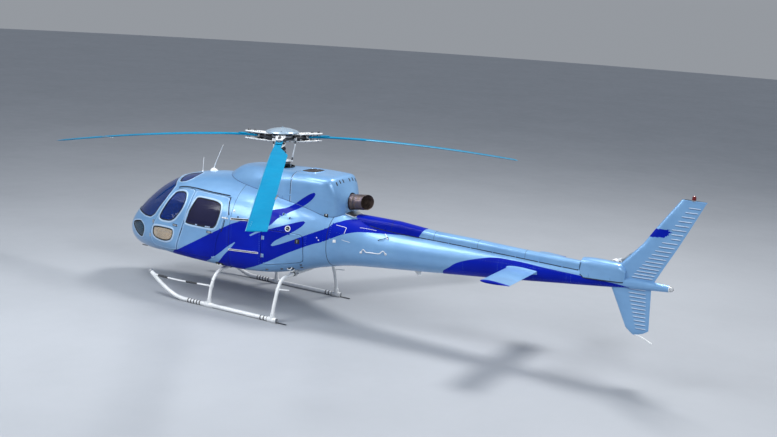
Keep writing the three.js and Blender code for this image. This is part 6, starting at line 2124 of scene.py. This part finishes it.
# rear bench
Mc = axes((1, 0, 0), (0, 1, 0), (0, 0, 1), (0, -.765, 1.180))
tc_ = fill_pad("rear_bench_cushion_pad", Mc, 1.570, .385, .116, [seat_dark, piping], ["rear_bench_cushion"], channels=(0, .39, .195, .585), cross=(-.06, .06), voxel=.016, sub=False)
zb = unit((0, -1, .06))
yb = unit((0, .06, 1))
Mb = axes(np.cross(yb, zb), yb, zb, (0, -.507, 1.530))
tb_ = fill_pad("rear_bench_back_pad", Mb, 1.430, .655, .086, [seat_dark, piping], ["rear_bench_back"], channels=(0, .36, .18, .54), cross=(-.15, 0, .15, .255), voxel=.016, sub=False)
b = Build()
for x in (-.54, -.18, .18, .54):
    for dx in (-.13, .13):
        webbing(b, tc_[0], Mc, [(x + dx, .165), (x + dx * .6, .05), (x + dx * .12, -.03)], mat=0)
    webbing(b, tb_[0], Mb, [(x + .09, .30), (x + .06, .12), (x, -.08), (x - .09, -.29)], mat=0)
    rbox((x - .030, -.820, 1.243), (x + .030, -.780, 1.262), .005, 3, 1, b)
make("rear_bench_harness", b, [strap, alu], angle=40)
b = Build()
prism_yz = [(-.93, .931), (-.93, 1.10), (-.915, 1.119), (-.535, 1.119), (-.520, 1.10), (-.520, .931)]
loft([[(x, y, z) for y, z in chaikin(prism_yz, 1, .12)] for x in (-.765, -.76, .76, .765)], 0, b=b)
for i in range(9):
    x = -.64 + .16 * i
    rbox((x - .055, -.934, .985), (x + .055, -.926, 1.065), .006, 2, 1, b)
    for zz in (.998, 1.052):
        dome(b, (x - .045, -.935, zz), (0, -1, 0), .004, .002, 2)
        dome(b, (x + .045, -.935, zz), (0, -1, 0), .004, .002, 2)
make("rear_bench_frame", b, [lining, console, alu], nodes=["rear_bench_base"], angle=40)

# instrument panel, its hood and the pedestal
b = Build()
side_o = [(-2.735, 1.215), (-2.565, 1.240), (-2.600, 1.455), (-2.640, 1.478), (-2.715, 1.492), (-2.735, 1.40)]
loft([[(x, y * 1 + abs(x) * .0, z) for y, z in chaikin(side_o, 2, .2)] for x in (-.322, -.316, -.20, 0, .20, .316, .322)], 0, b=b)
hood = []
for x in np.linspace(-.335, .335, 15):
    k = 1 - (abs(x) / .36)**6
    hood.append([(x, y, z - (1 - k) * .03) for y, z in [(-2.735, 1.470), (-2.730, 1.494), (-2.66, 1.503), (-2.585, 1.490), (-2.560, 1.470), (-2.557, 1.462), (-2.568, 1.460), (-2.66, 1.484)]])
loft(hood, 1, b=b)
pn = unit((0, .985, .16))
M0 = axes((1, 0, 0), np.cross(pn, (1, 0, 0)), pn, (0, -2.581, 1.350))
rbox((-.305, -.100, -.006), (.305, .095, .004), .006, 2, 2, b, M0)
dials = [(-.235, .048, .040), (-.140, .048, .040), (-.045, .048, .034), (.045, .048, .034), (.130, .048, .030), (.205, .048, .030), (.268, .048, .024),
         (-.235, -.046, .040), (-.140, -.046, .040), (-.050, -.046, .028), (.020, -.046, .028)]
for x, y, r in dials:
    c = (M0 @ [x, y, .004, 1])[:3]
    lathe([(r * 1.12, -.002), (r * 1.12, .005), (r * 1.02, .007), (r * .95, .003), (0, .003)], 24, 3, b, c, pn)
    lathe([(r * .94, .0034), (0, .0036)], 24, 4, b, c, pn)
    a0 = rng.uniform(-2.2, 2.2)
    for i in range(11):
        a = -2.3 + 4.6 * i / 10
        q = (M0 @ [x + math.sin(a) * r * .80, y + math.cos(a) * r * .80, .0078, 1])[:3]
        rbox((-.0012, -.0035, -.0004), (.0012, .0035, .0004), .0003, 1, 5, b, axes(M0[:3, 0] * math.cos(a) - M0[:3, 1] * math.sin(a), M0[:3, 0] * math.sin(a) + M0[:3, 1] * math.cos(a), pn, q))
    q = (M0 @ [x + math.sin(a0) * r * .34, y + math.cos(a0) * r * .34, .0084, 1])[:3]
    rbox((-.0013, -r * .42, -.0004), (.0013, r * .42, .0004), .0003, 1, 5, b, axes(M0[:3, 0] * math.cos(a0) - M0[:3, 1] * math.sin(a0), M0[:3, 0] * math.sin(a0) + M0[:3, 1] * math.cos(a0), pn, q))
rbox((.060, -.092, .002), (.290, -.010, .012), .004, 2, 3, b, M0)
for i in range(6):
    for j in range(3):
        rbox((.070 + .036 * i, -.084 + .024 * j, .010), (.100 + .036 * i, -.066 + .024 * j, .0135), .002, 1, 6 if (i + j) % 4 == 0 else 4, b, M0)
# pedestal with radios
ped = [(-2.735, .932), (-2.425, .932), (-2.425, 1.005), (-2.585, 1.236), (-2.735, 1.236)]
loft([[(x, y, z) for y, z in chaikin(ped, 2, .12)] for x in (-.108, -.104, .104, .108)], 0, b=b)
pq = unit((0, .82, .57))
M1 = axes((1, 0, 0), np.cross(pq, (1, 0, 0)), pq, (0, -2.503, 1.121))
for i in range(4):
    y0 = -.125 + .064 * i
    rbox((-.094, y0, -.004), (.094, y0 + .057, .006), .003, 2, 3, b, M1)
    rbox((-.052, y0 + .022, .005), (.052, y0 + .048, .0075), .002, 1, 7, b, M1)
    for x in (-.076, .076):
        lathe([(.0095, 0), (.0095, .013), (.0075, .016), (0, .016)], 14, 1, b, (M1 @ [x, y0 + .028, .006, 1])[:3], pq)
    for k in range(5):
        rbox((-.046 + .0205 * k, y0 + .006, .005), (-.034 + .0205 * k, y0 + .014, .0095), .0015, 1, 5, b, M1)
# compass on the hood
lathe([(0, 0), (.018, 0), (.018, .020), (.030, .024)], 16, 1, b, (0, -2.66, 1.500), (0, 0, 1))
lathe([(0, -.032), (.026, -.030), (.033, -.018), (.033, .018), (.026, .030), (0, .032)], 24, 1, b, (0, -2.66, 1.548), (0, 1, 0))
lathe([(.024, .0305), (0, .0335)], 24, 4, b, (0, -2.66, 1.548), (0, 1, 0))
make("instrument_console", b, [console, plastic, console, plastic, bezel, decal_white, amber, green_trim], nodes=["instrument_panel"], angle=40)
# flight controls
b = Build()
for sx in (1, -1):
    x0 = .40 * sx
    tube([(x0, -2.14, .934), (x0, -2.16, 1.02), (x0, -2.10, 1.16), (x0 - .01 * sx, -2.085, 1.30), (x0 - .02 * sx, -2.11, 1.375)], .0125, 12, 0, b, .03)
    lathe([(0, -.055), (.016, -.050), (.018, -.02), (.015, .010), (.019, .040), (.023, .058), (.016, .070), (0, .073)], 18, 1, b, (x0 - .021 * sx, -2.125, 1.420), (0, -.28, .96))
    rbox((x0 - .021 * sx - .010, -2.165, 1.465), (x0 - .021 * sx + .010, -2.140, 1.485), .004, 2, 2, b)
    lathe([(.060, 0), (.055, .012), (.038, .030), (.024, .050), (.016, .060)], 24, 1, b, (x0, -2.14, .932), (0, 0, 1))
    # collective lever beside the seat
    xl = x0 - .265
    tube([(xl, -1.60, .955), (xl, -1.74, 1.03), (xl, -1.98, 1.165), (xl, -2.06, 1.205)], .0135, 12, 0, b, .04)
    tube([(xl, -2.03, 1.190), (xl, -2.09, 1.219), (xl, -2.155, 1.246)], [.019, .021, .020], 14, 1, b, .02)
    rbox((xl - .026, -2.215, 1.235), (xl + .026, -2.150, 1.275), .010, 3, 1, b)
    for k in range(3):
        lathe([(.005, 0), (.005, .010), (0, .011)], 10, 2, b, (xl - .014 + .014 * k, -2.18, 1.274), (0, 0, 1))
    rbox((xl - .03, -1.66, .931), (xl + .03, -1.55, .975), .008, 2, 0, b)
    # pedals
    for dx in (-.105, .105):
        tube([(x0 + dx, -2.60, .934), (x0 + dx, -2.625, 1.00), (x0 + dx, -2.60, 1.075)], .009, 10, 0, b, .03)
        rbox((-.045, -.075, -.006), (.045, .055, .006), .006, 2, 1, b, along((x0 + dx, -2.592, 1.080), (0, .93, .36), (1, 0, 0)) @ np.array([[0, 1, 0, 0], [-1, 0, 0, 0], [0, 0, 1, 0], [0, 0, 0, 1.0]]))
        for k in range(5):
            rbox((-.040, -.062 + .024 * k, .005), (.040, -.052 + .024 * k, .009), .002, 1, 3, b, along((x0 + dx, -2.592, 1.080), (0, .93, .36), (1, 0, 0)) @ np.array([[0, 1, 0, 0], [-1, 0, 0, 0], [0, 0, 1, 0], [0, 0, 0, 1.0]]))
    tube([(x0 - .13, -2.605, .965), (x0 + .13, -2.605, .965)], .008, 10, 0, b)
make("flight_controls", b, [alu, plastic, console, rubber], angle=40)
# trim inside the lower door windows and the overhead panel between the roof windows
b = Build()
for sx in (1, -1):
    pts_ = []
    for y in np.linspace(-2.30, -1.78, 12):
        pts_.append([(sx * (x0 + .012 * math.sin(k_ * 3.1)), y, z) for k_, (x0, z) in enumerate([(.600, .934), (.632, .945), (.640, 1.02), (.632, 1.10), (.612, 1.150), (.585, 1.158), (.575, 1.10), (.572, .95)])])
    loft(pts_, 0, b=b, flip=sx < 0)
    tube([(sx * .645, -2.24, 1.075), (sx * .655, -2.20, 1.095), (sx * .655, -1.92, 1.095), (sx * .645, -1.88, 1.075)], .007, 8, 1, b, .03)
make("side_pockets", b, [tan, piping], angle=50)
b = Build()
rbox((-.125, -1.98, 2.018), (.125, -1.60, 2.052), .012, 3, 0, b)
for i in range(4):
    for j in range(3):
        q = (-.078 + .052 * i, -1.93 + .085 * j, 2.018)
        lathe([(.006, 0), (.005, .010), (.003, .018), (0, .019)], 8, 1, b, q, (0, 0, -1))
        rbox((q[0] - .018, q[1] - .014, 2.0155), (q[0] + .018, q[1] + .014, 2.019), .002, 1, 2, b)
lathe([(.036, 0), (.036, .010), (.028, .016), (.0, .016)], 22, 2, b, (0, -1.655, 2.018), (0, 0, -1))
make("overhead_switches", b, [console, alu, plastic], angle=40)

# CAD blocks seen only through the cowl's openings keep their shape, with a real finish
for node, mt in (("main_gearbox", solid("cast_housing", (120, 122, 120), (146, 148, 146), (.5, .65), .7, 14, (240, .35, .0012))),
                 ("engine_block", solid("engine_casing", (92, 88, 84), (120, 114, 106), (.45, .6), .8, 10, (180, .35, .0014)))):
    o_ = bpy.data.objects.get(node)
    if o_ is not None:
        for sl in o_.material_slots:
            sl.material = mt

# ------------------------------------------------------ fittings on the skin
RAIL_Z = lambda y: 1.645 + (y + .418) * .085
LOW_Z = lambda y: 1.087 + (y + .57) * .0562


smooth3 = lambda pts, step: smooth(np.c_[np.asarray(pts, float), np.zeros(len(pts))], step)[:, :2]
flatp = lambda w, h: [(-w, -.003), (-w * .93, h * .6), (-w * .6, h), (w * .6, h), (w * .93, h * .6), (w, -.003)]
port = Build()
# rain gutter above the doors, and the seal behind the sliding door
L = body.by_yz(smooth3([(-1.815, 1.976), (-1.75, 1.996), (-1.68, 2.009), (-1.58, 2.021), (-1.37, 2.027), (-1.07, 2.020), (-.575, 2.009)], .03))
strip(body, L, [(-.009, -.003), (-.010, .008), (-.006, .013), (.001, .013), (.004, .006), (.008, .0055), (.009, -.003)], 2, False, port)
L = body.by_yz(smooth3([(-.552, 1.995), (-.531, 1.900), (-.497, 1.790), (-.466, 1.700)], .03))
strip(body, L, flatp(.010, .006), 2, False, port)
L = body.by_yz(smooth3([(-.538, 1.600), (-.556, 1.480), (-.592, 1.385)], .03))
strip(body, L, flatp(.008, .005), 2, False, port)
# door rails: dark channel between two pale flanges
for zf, y0, y1, k in ((RAIL_Z, -.412, .226, 1.0), (LOW_Z, -.412, .210, .72)):
    ln_ = line_on(body, (y0, zf(y0)), (y1, zf(y1)), 26)
    strip(body, ln_, [(-.015 * k, -.003), (-.015 * k, .004), (.015 * k, .004), (.015 * k, -.003)], 2, False, port)
    for o_ in (-.0155 * k, .0155 * k):
        ln2 = line_on(body, (y0, zf(y0) - o_), (y1, zf(y1) - o_), 26)
        strip(body, ln2, [(-.0035, -.002), (-.0035, .012), (-.002, .0135), (.002, .0135), (.0035, .012), (.0035, -.002)], 0, False, port)
    for y in (y0 + .004, y1 - .004):
        P_, N_ = body.point_yz(y, zf(y))
        t_ = unit(np.cross((0, 0, 1), N_))
        rbox((-.006, -.017 * k, -.003), (.006, .017 * k, .0135), .003, 2, 0, port, axes(t_, np.cross(N_, t_), N_, P_))
    for y in np.linspace(y0 + .05, y1 - .05, 6):
        P_, N_ = body.point_yz(y, zf(y), .0035)
        dome(port, P_, N_, .0045, .002, 3, 8)
# block on the line of the sliding door's rail, with its roller and stop; the rail itself is not drawn
ln_ = line_on(body, (-.905, 1.598), (-.600, 1.626), 16)
P_, N_ = body.point_yz(-.520, RAIL_Z(-.520) + .002)
t_ = unit(np.cross((0, 0, 1), N_))
Mk = axes(t_, np.cross(N_, t_), N_, P_)
rbox((-.085, -.012, -.002), (.050, .012, .009), .004, 2, 0, port, Mk)
lathe([(0, .006), (.014, .008), (.015, .022), (.010, .027), (0, .028)], 18, 0, port, (Mk @ [-.050, 0, 0, 1])[:3], N_)
lathe([(0, .006), (.009, .008), (.009, .018), (0, .019)], 14, 3, port, (Mk @ [.030, 0, 0, 1])[:3], N_)
# small knob and lock marks behind the door
for y, z, r, m in ((-.376, 1.786, .016, 0), (-.269, 1.697, .010, 2)):
    P_, N_ = body.point_yz(y, z)
    lathe([(r * 1.5, -.002), (r * 1.4, .003), (r, .005), (r * .9, .014), (0, .017)], 18, m, port, P_, N_)
# a point under the sliding window, not used further
P_, N_ = body.point_yz(-.86, 1.300)
# fuel filler
P_, N_ = body.point_yz(.746, 1.640)
lathe([(.052, -.002), (.052, .003), (.046, .0055), (.040, .0055), (.037, .002)], 36, 0, port, P_, N_)
lathe([(.0372, .002), (.030, .004), (.012, .0045), (0, .0045)], 30, 2, port, P_, N_)
rbox((-.026, -.006, .004), (.026, .006, .012), .004, 3, 3, port, along(P_, N_, (0, .4, 1)))
for i in range(8):
    a = 2 * math.pi * (i + .5) / 8
    dome(port, P_ + np.array([0, math.cos(a), math.sin(a)]) * .0465 + N_ * .0050, N_, .0028, .0014, 3)
# small forward-facing scoops high on the side
for y, z, s_ in ((.582, 1.863, 1.0), (.718, 1.814, .9), (.534, 1.825, .55)):
    P_, N_ = body.point_yz(y, z)
    t_ = unit(np.array((0, 1, 0)) - N_ * N_[1])
    w_ = np.cross(N_, t_)
    rr = []
    for k in np.linspace(0, 1, 8):
        h_, hw_ = .022 * s_ * (1 - k)**1.3 + .0005, .028 * s_ * (1 - .55 * k)
        rr.append([P_ + t_ * (.085 * s_ * k) + w_ * hw_ * math.cos(a) + N_ * (h_ * math.sin(a) - .002) for a in np.linspace(0, math.pi, 11)])
    loft(rr, 1, closed=False, caps=(False, False), b=port)
    rr2 = [[p_ - N_ * .003 * (1 - i_ / 8) for p_ in r_] for i_, r_ in enumerate(rr)]
    loft([rr[0], [P_ + (p_ - P_) * .86 - N_ * .001 for p_ in rr[0]], [P_ + (p_ - P_) * .84 + t_ * .03 * s_ for p_ in rr[0]]], 2, closed=False, caps=(False, True), b=port, flip=True)
# skin joint and its frames behind the cabin
for y_, m_, w_, h_ in ((1.4195, 2, .0045, .0006), (1.372, 1, .016, .0012), (1.474, 1, .016, .0012), (-.4195, 2, .0030, .0006)):
    ln_ = np.array([(body.u(y_), v_) for v_ in np.linspace(.05, K * (.995 if y_ > 0 else .93), 60)])
    strip(body, ln_, [(-w_, -.002), (-w_ * .9, h_), (w_ * .9, h_), (w_, -.002)], m_, False, port, paints=[(blue_main, 4)] if m_ == 1 else ())
# thin lines and marks over the deep blue near the boom
for pts_, w_, m_ in (([(1.519, 1.777), (1.595, 1.763), (1.658, 1.752), (1.692, 1.740)], .0045, 0), ([(1.692, 1.740), (1.690, 1.700), (1.684, 1.647)], .0040, 0),
                     ([(1.881, 1.755), (2.049, 1.744), (2.164, 1.736)], .0035, 0), ([(1.664, 1.545), (1.720, 1.530), (1.80, 1.512)], .0035, 0)):
    strip(body, body.by_yz(smooth3(pts_, .03)), flatp(w_, .0035), m_, False, port)
for y, z in ((1.261, 1.543), (1.296, 1.502)):
    P_, N_ = body.point_yz(y, z)
    lathe([(.010, -.001), (.010, .003), (.007, .006), (0, .007)], 14, 0, port, P_, N_)
P_, N_ = body.point_yz(1.548, 1.509)
rbox((-.026, -.026, -.002), (.026, .026, .0022), .004, 2, 0, port, along(P_, N_))
for i in range(4):
    dome(port, (along(P_, N_) @ [(-.019, .019)[i % 2], (-.019, .019)[i // 2], .0022, 1])[:3], N_, .0028, .0014, 3)
# grab handle low on the boom
hnd = []
for y, z in [(1.996, 1.355), (2.018, 1.395), (2.043, 1.425), (2.070, 1.408), (2.092, 1.385), (2.18, 1.388), (2.347, 1.397), (2.380, 1.428), (2.403, 1.444), (2.428, 1.425), (2.446, 1.393)]:
    P_, N_ = body.point_yz(y, z)
    k_ = 1 if 2.03 < y < 2.42 else .25
    hnd.append(P_ + N_ * (.004 + .026 * k_))
tube(hnd, .0075, 10, 0, port, .012)
for y, z in ((1.996, 1.355), (2.446, 1.393)):
    P_, N_ = body.point_yz(y, z)
    lathe([(.022, -.002), (.022, .003), (.015, .006), (.009, .012)], 18, 0, port, P_, N_)
# pale rod and dark rod higher on the boom
for (ya, za), (yb_, zb_), r_, m_ in (((2.352, 1.703), (2.433, 1.640), .007, 0), ((2.277, 1.601), (2.429, 1.656), .006, 2)):
    pa, na = body.point_yz(ya, za)
    pb_, nb_ = body.point_yz(yb_, zb_)
    tube([pa - na * .002, pa + na * .016, (pa + pb_) / 2 + na * .020, pb_ + nb_ * .016, pb_ - nb_ * .002], r_, 10, m_, port, .02)
    lathe([(0, 0), (.012, .002), (.014, .010), (.010, .018), (0, .020)], 14, m_, port, pb_ + nb_ * .010, nb_)
# drains
for y in (-1.1, -.2, .6, 1.2):
    P_, N_ = body.at([body.u(y)], [.10 * K])
    lathe([(.009, -.001), (.009, .002), (.005, .003), (.004, -.001)], 12, 2, port, P_[0], N_[0])
fit = Build().join(port).join(port.mirrored())
make("side_fittings", fit, [white, silver, rubber, alu, navy], angle=42)

# rivet rows
rv = Build()


def rivet_row(surf, pts, pitch, keep=None, h=.0011, r=.0034):
    P_, N_ = surf.at(np.asarray(pts)[:, 0], np.asarray(pts)[:, 1])
    s_ = np.r_[0, np.cumsum(np.linalg.norm(np.diff(P_, axis=0), axis=1))]
    q = np.arange(pitch / 2, s_[-1], pitch)
    if len(q) == 0:
        return
    P2 = np.stack([np.interp(q, s_, P_[:, i]) for i in range(3)], 1)
    N2 = unit(np.stack([np.interp(q, s_, N_[:, i]) for i in range(3)], 1))
    for p_, n_ in zip(P2, N2):
        if keep is None or keep(p_):
            dome(rv, p_, n_, r, h)


no_door = lambda p_: not (inside(grow(CARGO_DOOR, .02), np.array([[p_[1], p_[2]]]))[0] or inside(grow(SLIDE_DOOR, .02), np.array([[p_[1], p_[2]]]))[0]
                          or inside(grow(FRONT_DOOR, .02), np.array([[p_[1], p_[2]]]))[0])
for y_ in (-.375, -.465, .215, 1.085, 1.360, 1.384, 1.458, 1.482):
    rivet_row(body, [(body.u(y_), v_) for v_ in np.linspace(.06, K * (.97 if y_ > 1.3 else .80), 80)], .038, no_door)
for y_ in (1.95, 2.02, 2.60, 3.20, 3.27, 3.85, 4.45, 4.52, 5.05, 5.60, 5.67, 6.15, 6.75):
    rivet_row(body, [(body.u(y_), v_) for v_ in np.linspace(.04, K * .93, 60)], .036)
for z_ in (.30, .62):
    rivet_row(body, [(body.u(y_), z_ * K) for y_ in np.linspace(1.55, 6.95, 120)], .045)
for a_, c_ in (((-.36, 1.60), (.24, 1.655)), ((.24, .905), (1.05, 1.030)), ((1.09, 1.20), (1.36, 1.20))):
    rivet_row(body, line_on(body, a_, c_, 20), .036, no_door)
rivet_row(body, body.by_yz(dens(grow(CARGO_DOOR, .028), .05)), .038)
rivet_row(cowl, [(cowl.u(SPLIT) - .022, v_) for v_ in np.linspace(cf(SPLIT) * KC + .03, 1.44, 50)], .040)
rivet_row(cowl, [(cowl.u(SPLIT) + .022, v_) for v_ in np.linspace(cf(SPLIT) * KC + .03, 1.44, 50)], .040)
make("rivet_rows", Build().join(rv).join(rv.mirrored()), [silver], angle=60)

# luggage door: latch, front hinge knuckles, stiffened edge
b = Build()
P_, N_ = body.point_yz(.937, 1.439)
M_ = along(P_, N_, (0, .05, 1))
rbox((-.042, -.042, -.003), (.042, .042, .0025), .006, 2, 1, b, M_)
rbox((-.030, -.030, .0015), (.030, .030, .0055), .005, 2, 1, b, M_)
rbox((-.006, -.024, .005), (.006, .024, .0115), .003, 2, 0, b, M_)
ce = strip(body, body.by_yz(DOOR_C), DOOR_EDGE, 2, paints=[(blue_main, 3)])
b.join(ce)
for z in (1.10, 1.42):
    P_, N_ = body.point_yz(.275, z)
    t_ = unit(np.cross((0, 0, 1), N_))
    M_ = axes(t_, np.cross(N_, t_), N_, P_)
    rbox((-.004, -.032, -.003), (.046, .032, .0035), .003, 2, 2, b, M_)
    lathe([(0, -.034), (.007, -.034), (.007, .034), (0, .034)], 14, 0, b, P_ + N_ * .004, (0, 0, 1))
    for dz in (-.020, .020):
        dome(b, (M_ @ [.030, dz, .0035, 1])[:3], N_, .005, .002, 0, 8)
for sdn in ("left", "right"):
    make(f"cargo_door_fittings_{sdn}", b if sdn == "left" else b.mirrored(), [alu, plastic, silver, navy], f"luggage_door_{sdn}_leaf", angle=42)

# ------------------------------------------------------- aerials and underside
b = Build()
rr = []
for k in np.linspace(0, 1, 16):
    y_ = -1.585 + .185 * k
    hw_, h_ = .052 * math.sin(math.pi * k**.62) + .0008, .060 * math.sin(math.pi * k**.62) + .001
    z_ = body.at([body.u(y_)], [K])[0][0][2]
    rr.append([(hw_ * math.cos(a), y_, z_ - .004 + h_ * math.sin(a)) for a in np.linspace(0, math.pi, 13)])
loft(rr, 0, closed=False, caps=(False, False), b=b)
zt = body.at([body.u(-1.50)], [K])[0][0][2]
tube([(0, -1.510, zt + .045), (0, -1.475, zt + .14), (0, -1.315, zt + .500)], [.0090, .0065, .0040], 10, 0, b, .03)
lathe([(0, 0), (.007, .001), (.007, .010), (0, .012)], 10, 0, b, (0, -1.315, zt + .498), (0, .42, .91))
zt2 = body.at([body.u(-1.765)], [K])[0][0][2]
lathe([(.020, -.002), (.018, .006), (.008, .016), (.006, .030), (.0050, .26), (.0040, .275), (0, .277)], 14, 0, b, (.0, -1.765, zt2), (0, .05, 1))
# small blade aerials along the belly
for y_, hgt, lng in ((-1.62, .085, .15), (-.55, .070, .12), (2.9, .080, .14)):
    zb_ = body.at([body.u(y_)], [0])[0][0][2]
    rr = []
    for k in np.linspace(0, 1, 6):
        c_, t_ = lng * (1 - .45 * k), .010 * (1 - .5 * k)
        yy = y_ + .05 * k
        rr.append([(t_ * math.sin(a) * (1 - .5 * math.cos(a) * 1), yy + c_ / 2 * math.cos(a), zb_ + .006 - hgt * k) for a in np.linspace(0, 2 * math.pi, 18, endpoint=False)])
    loft(rr, 0, b=b)
make("aerials", b, [white, plastic], angle=50)
b = Build()
for y_, x_ in ((-2.62, 0), (-2.30, 0)):
    zb_ = body.at([body.u(y_)], [0])[0][0][2]
    lathe([(.082, .004), (.084, -.004), (.080, -.012), (.074, -.014), (.070, -.008)], 36, 0, b, (x_, y_, zb_ + .004), (0, 0, 1))
    lathe([(.071, -.008), (.050, -.014), (.020, -.017), (0, -.018)], 36, 1, b, (x_, y_, zb_ + .004), (0, 0, 1))
# cargo hook plate
zb_ = body.at([body.u(.06)], [0])[0][0][2]
lathe([(.112, .010), (.112, -.004), (.104, -.010), (.055, -.012), (.040, -.016), (0, -.016)], 36, 0, b, (0, .06, zb_), (0, 0, 1))
for i in range(8):
    a = 2 * math.pi * i / 8
    bolt(b, (.088 * math.cos(a), .06 + .088 * math.sin(a), zb_ - .010), (0, 0, -1), .007, .006, 2)
tube([(0, .035, zb_ - .012), (0, .030, zb_ - .040), (0, .06, zb_ - .062), (0, .09, zb_ - .040), (0, .085, zb_ - .012)], .009, 12, 2, b, .02)
# pitot head under the nose
P_, N_ = body.at([body.u(-2.98)], [.06 * K])
tube([P_[0] + (0, .02, .004), P_[0] + (0, .0, -.045), P_[0] + (0, -.03, -.060), P_[0] + (0, -.15, -.060)], [.012, .010, .009, .0075], 12, 2, b, .02)
# access panels on the belly
for y_, w_ in ((-1.30, .16), (-.05 + .65, .20), (1.05, .15)):
    loop_ = [(body.u(y_ - .16), .012), (body.u(y_ + .16), .012), (body.u(y_ + .16), w_), (body.u(y_ - .16), w_)]
    strip(body, chaikin(dens(loop_, .06), 1, .2), [(-.002, -.002), (-.0015, .0008), (.0015, .0008), (.002, -.002)], 3, True, b)
make("underside_fittings", b, [alu, clear_lens, steel, seam], angle=42)

# where the legs meet the belly: dark shoe and pale toggle in front, mooring ring in its plate behind, small bolted plates between
b = Build()
for sg in (1, -1):
    def plate_at(y, x, w_, l_, mat, h_=.010):
        X, Z = body.column(y)
        m_ = int(np.argmax(X))
        q_ = float(np.interp(x, X[:m_ + 1], np.linspace(0, 1, body.ns)[:m_ + 1]))
        P_, N_ = body.at([body.u(y)], [q_ * K])
        Q_, _ = body.at([body.u(y + .02)], [q_ * K])
        P_, N_ = P_[0], N_[0]
        t_ = unit(Q_[0] - P_)
        M_ = axes(t_, np.cross(N_, t_), N_, P_)
        part_ = Build()
        rbox((-l_ / 2, -w_ / 2, -.004), (l_ / 2, w_ / 2, h_), .004, 2, mat, part_, M_)
        for u_ in (-1, 1):
            for v_ in (-1, 1):
                bolt(part_, P_ + t_ * (u_ * (l_ / 2 - .012)) + M_[:3, 1] * (v_ * (w_ / 2 - .012)) + N_ * h_, N_, .0045, .0035, 2)
        return part_, P_, N_, t_, M_
    for (y, x, w_, l_, mt, kind) in ((-.66, .845, .075, .150, 3, 1), (.74, .655, .085, .120, 3, 2), (.335, .790, .030, .050, 2, 0), (.60, .72, .034, .046, 2, 0),
                                     (.955, .66, .030, .040, 2, 0), (.93, .585, .034, .044, 2, 0)):
        q, P_, N_, t_, M_ = plate_at(y, x, w_, l_, mt)
        if kind == 1:
            lathe([(0, .008), (.016, .009), (.018, .016), (.014, .030), (.008, .034), (0, .035)], 20, 0, q, P_ + t_ * .030, N_)
            tube([P_ - t_ * .050 + N_ * .012, P_ - t_ * .030 + N_ * .030, P_ + t_ * .010 + N_ * .030], .007, 10, 0, q, .015)
        if kind == 2:
            for side_ in (-1, 1):
                a_ = P_ + M_[:3, 1] * (side_ * .050)
                tube([a_ - t_ * .042 + N_ * .006, a_ - t_ * .020 + N_ * .034, a_ + t_ * .030 + N_ * .034, a_ + t_ * .052 + N_ * .006], .009, 12, 0, q, .02)
        b.join(q if sg > 0 else q.mirrored())
make("belly_fittings", b, [white, alu, steel, plastic], angle=42)
# pale latch at the lower edge of each sliding window, its plate in the lighter silver with its painted highlight
b = Build()
for (y, z, l_) in ((-.90, 1.425, .110), (-1.16, 1.424, .040)):
    P_, N_ = body.point_yz(y, z)
    Q_, _ = body.point_yz(y + .02, z)
    t_ = unit(Q_ - P_)
    M_ = axes(t_, np.cross(N_, t_), N_, P_)
    rbox((-l_ / 2, -.011, -.010), (l_ / 2, .011, .004), .003, 2, 0, b, M_)
    rbox((-l_ / 2 + .012, -.006, .002), (l_ / 2 - .012, .006, .010), .003, 2, 1, b, M_)
make("window_latches", Build().join(b).join(b.mirrored()), [pale_silver_and_painted_highlight, alu], angle=42)

# -------------------------------------------------------------------- studio
bm = bmesh.new()
bmesh.ops.create_circle(bm, cap_ends=True, radius=90, segments=96)
me = bpy.data.meshes.new("floor")
bm.to_mesh(me)
bm.free()
floor = bpy.data.objects.new("floor", me)
bpy.context.scene.collection.objects.link(floor)
fm = Mat("floor_pale", Specular_IOR_Level=.3)
fm.set("Base Color", fm.ramp(fm.noise(.35, 4), [(.3, lin((156, 160, 166))), (.7, lin((162, 166, 172)))]))
fm.set("Roughness", fm.span(fm.noise(2.0, 4), .3, .7, .55, .7))
me.materials.append(fm.m)

world = bpy.data.worlds.new("studio")
bpy.context.scene.world = world
world.use_nodes = True
wt = world.node_tree
bg = wt.nodes["Background"]
tc = wt.nodes.new("ShaderNodeTexCoord")
sep = wt.nodes.new("ShaderNodeSeparateXYZ")
wt.links.new(tc.outputs["Generated"], sep.inputs[0])
rp = wt.nodes.new("ShaderNodeValToRGB")
wt.links.new(sep.outputs[2], rp.inputs[0])
el = rp.color_ramp.elements
el[0].position, el[0].color = 0.0, (.60, .64, .70, 1)
el[1].position, el[1].color = 1.0, (.78, .86, 1.0, 1)
e = el.new(.25)
e.color = (.74, .79, .86, 1)
wt.links.new(rp.outputs[0], bg.inputs[0])
bg.inputs[1].default_value = .50


def area_light(name, at, look, size, power, color=(1, 1, 1)):
    L = bpy.data.lights.new(name, "AREA")
    L.shape, L.size, L.size_y = "RECTANGLE", size[0], size[1]
    L.energy, L.color = power, color
    o = bpy.data.objects.new(name, L)
    bpy.context.scene.collection.objects.link(o)
    at, look = Vector(at), Vector(look)
    o.matrix_world = Matrix.Translation(at) @ (look - at).to_track_quat("-Z", "Y").to_matrix().to_4x4()
    return o


area_light("key", (-6.5, 4.5, 17.0), (0, 1.0, 1.2), (4.5, 4.5), 2750, (1.0, .985, .96))
area_light("fill", (9.5, -6.0, 8.0), (0, -1.5, 1.2), (6.0, 4.0), 620, (.94, .97, 1.0))
area_light("rim", (8.5, 11.0, 8.2), (0, 1.2, 2.0), (4.5, 4.0), 680, (.98, .99, 1.0))
area_light("sky", (5.2, -4.2, 13.0), (0, .8, 1.6), (5.5, 5.5), 950, (.97, .99, 1.0))

scene = bpy.context.scene
scene.view_settings.view_transform = "Standard"
scene.view_settings.look = "None"
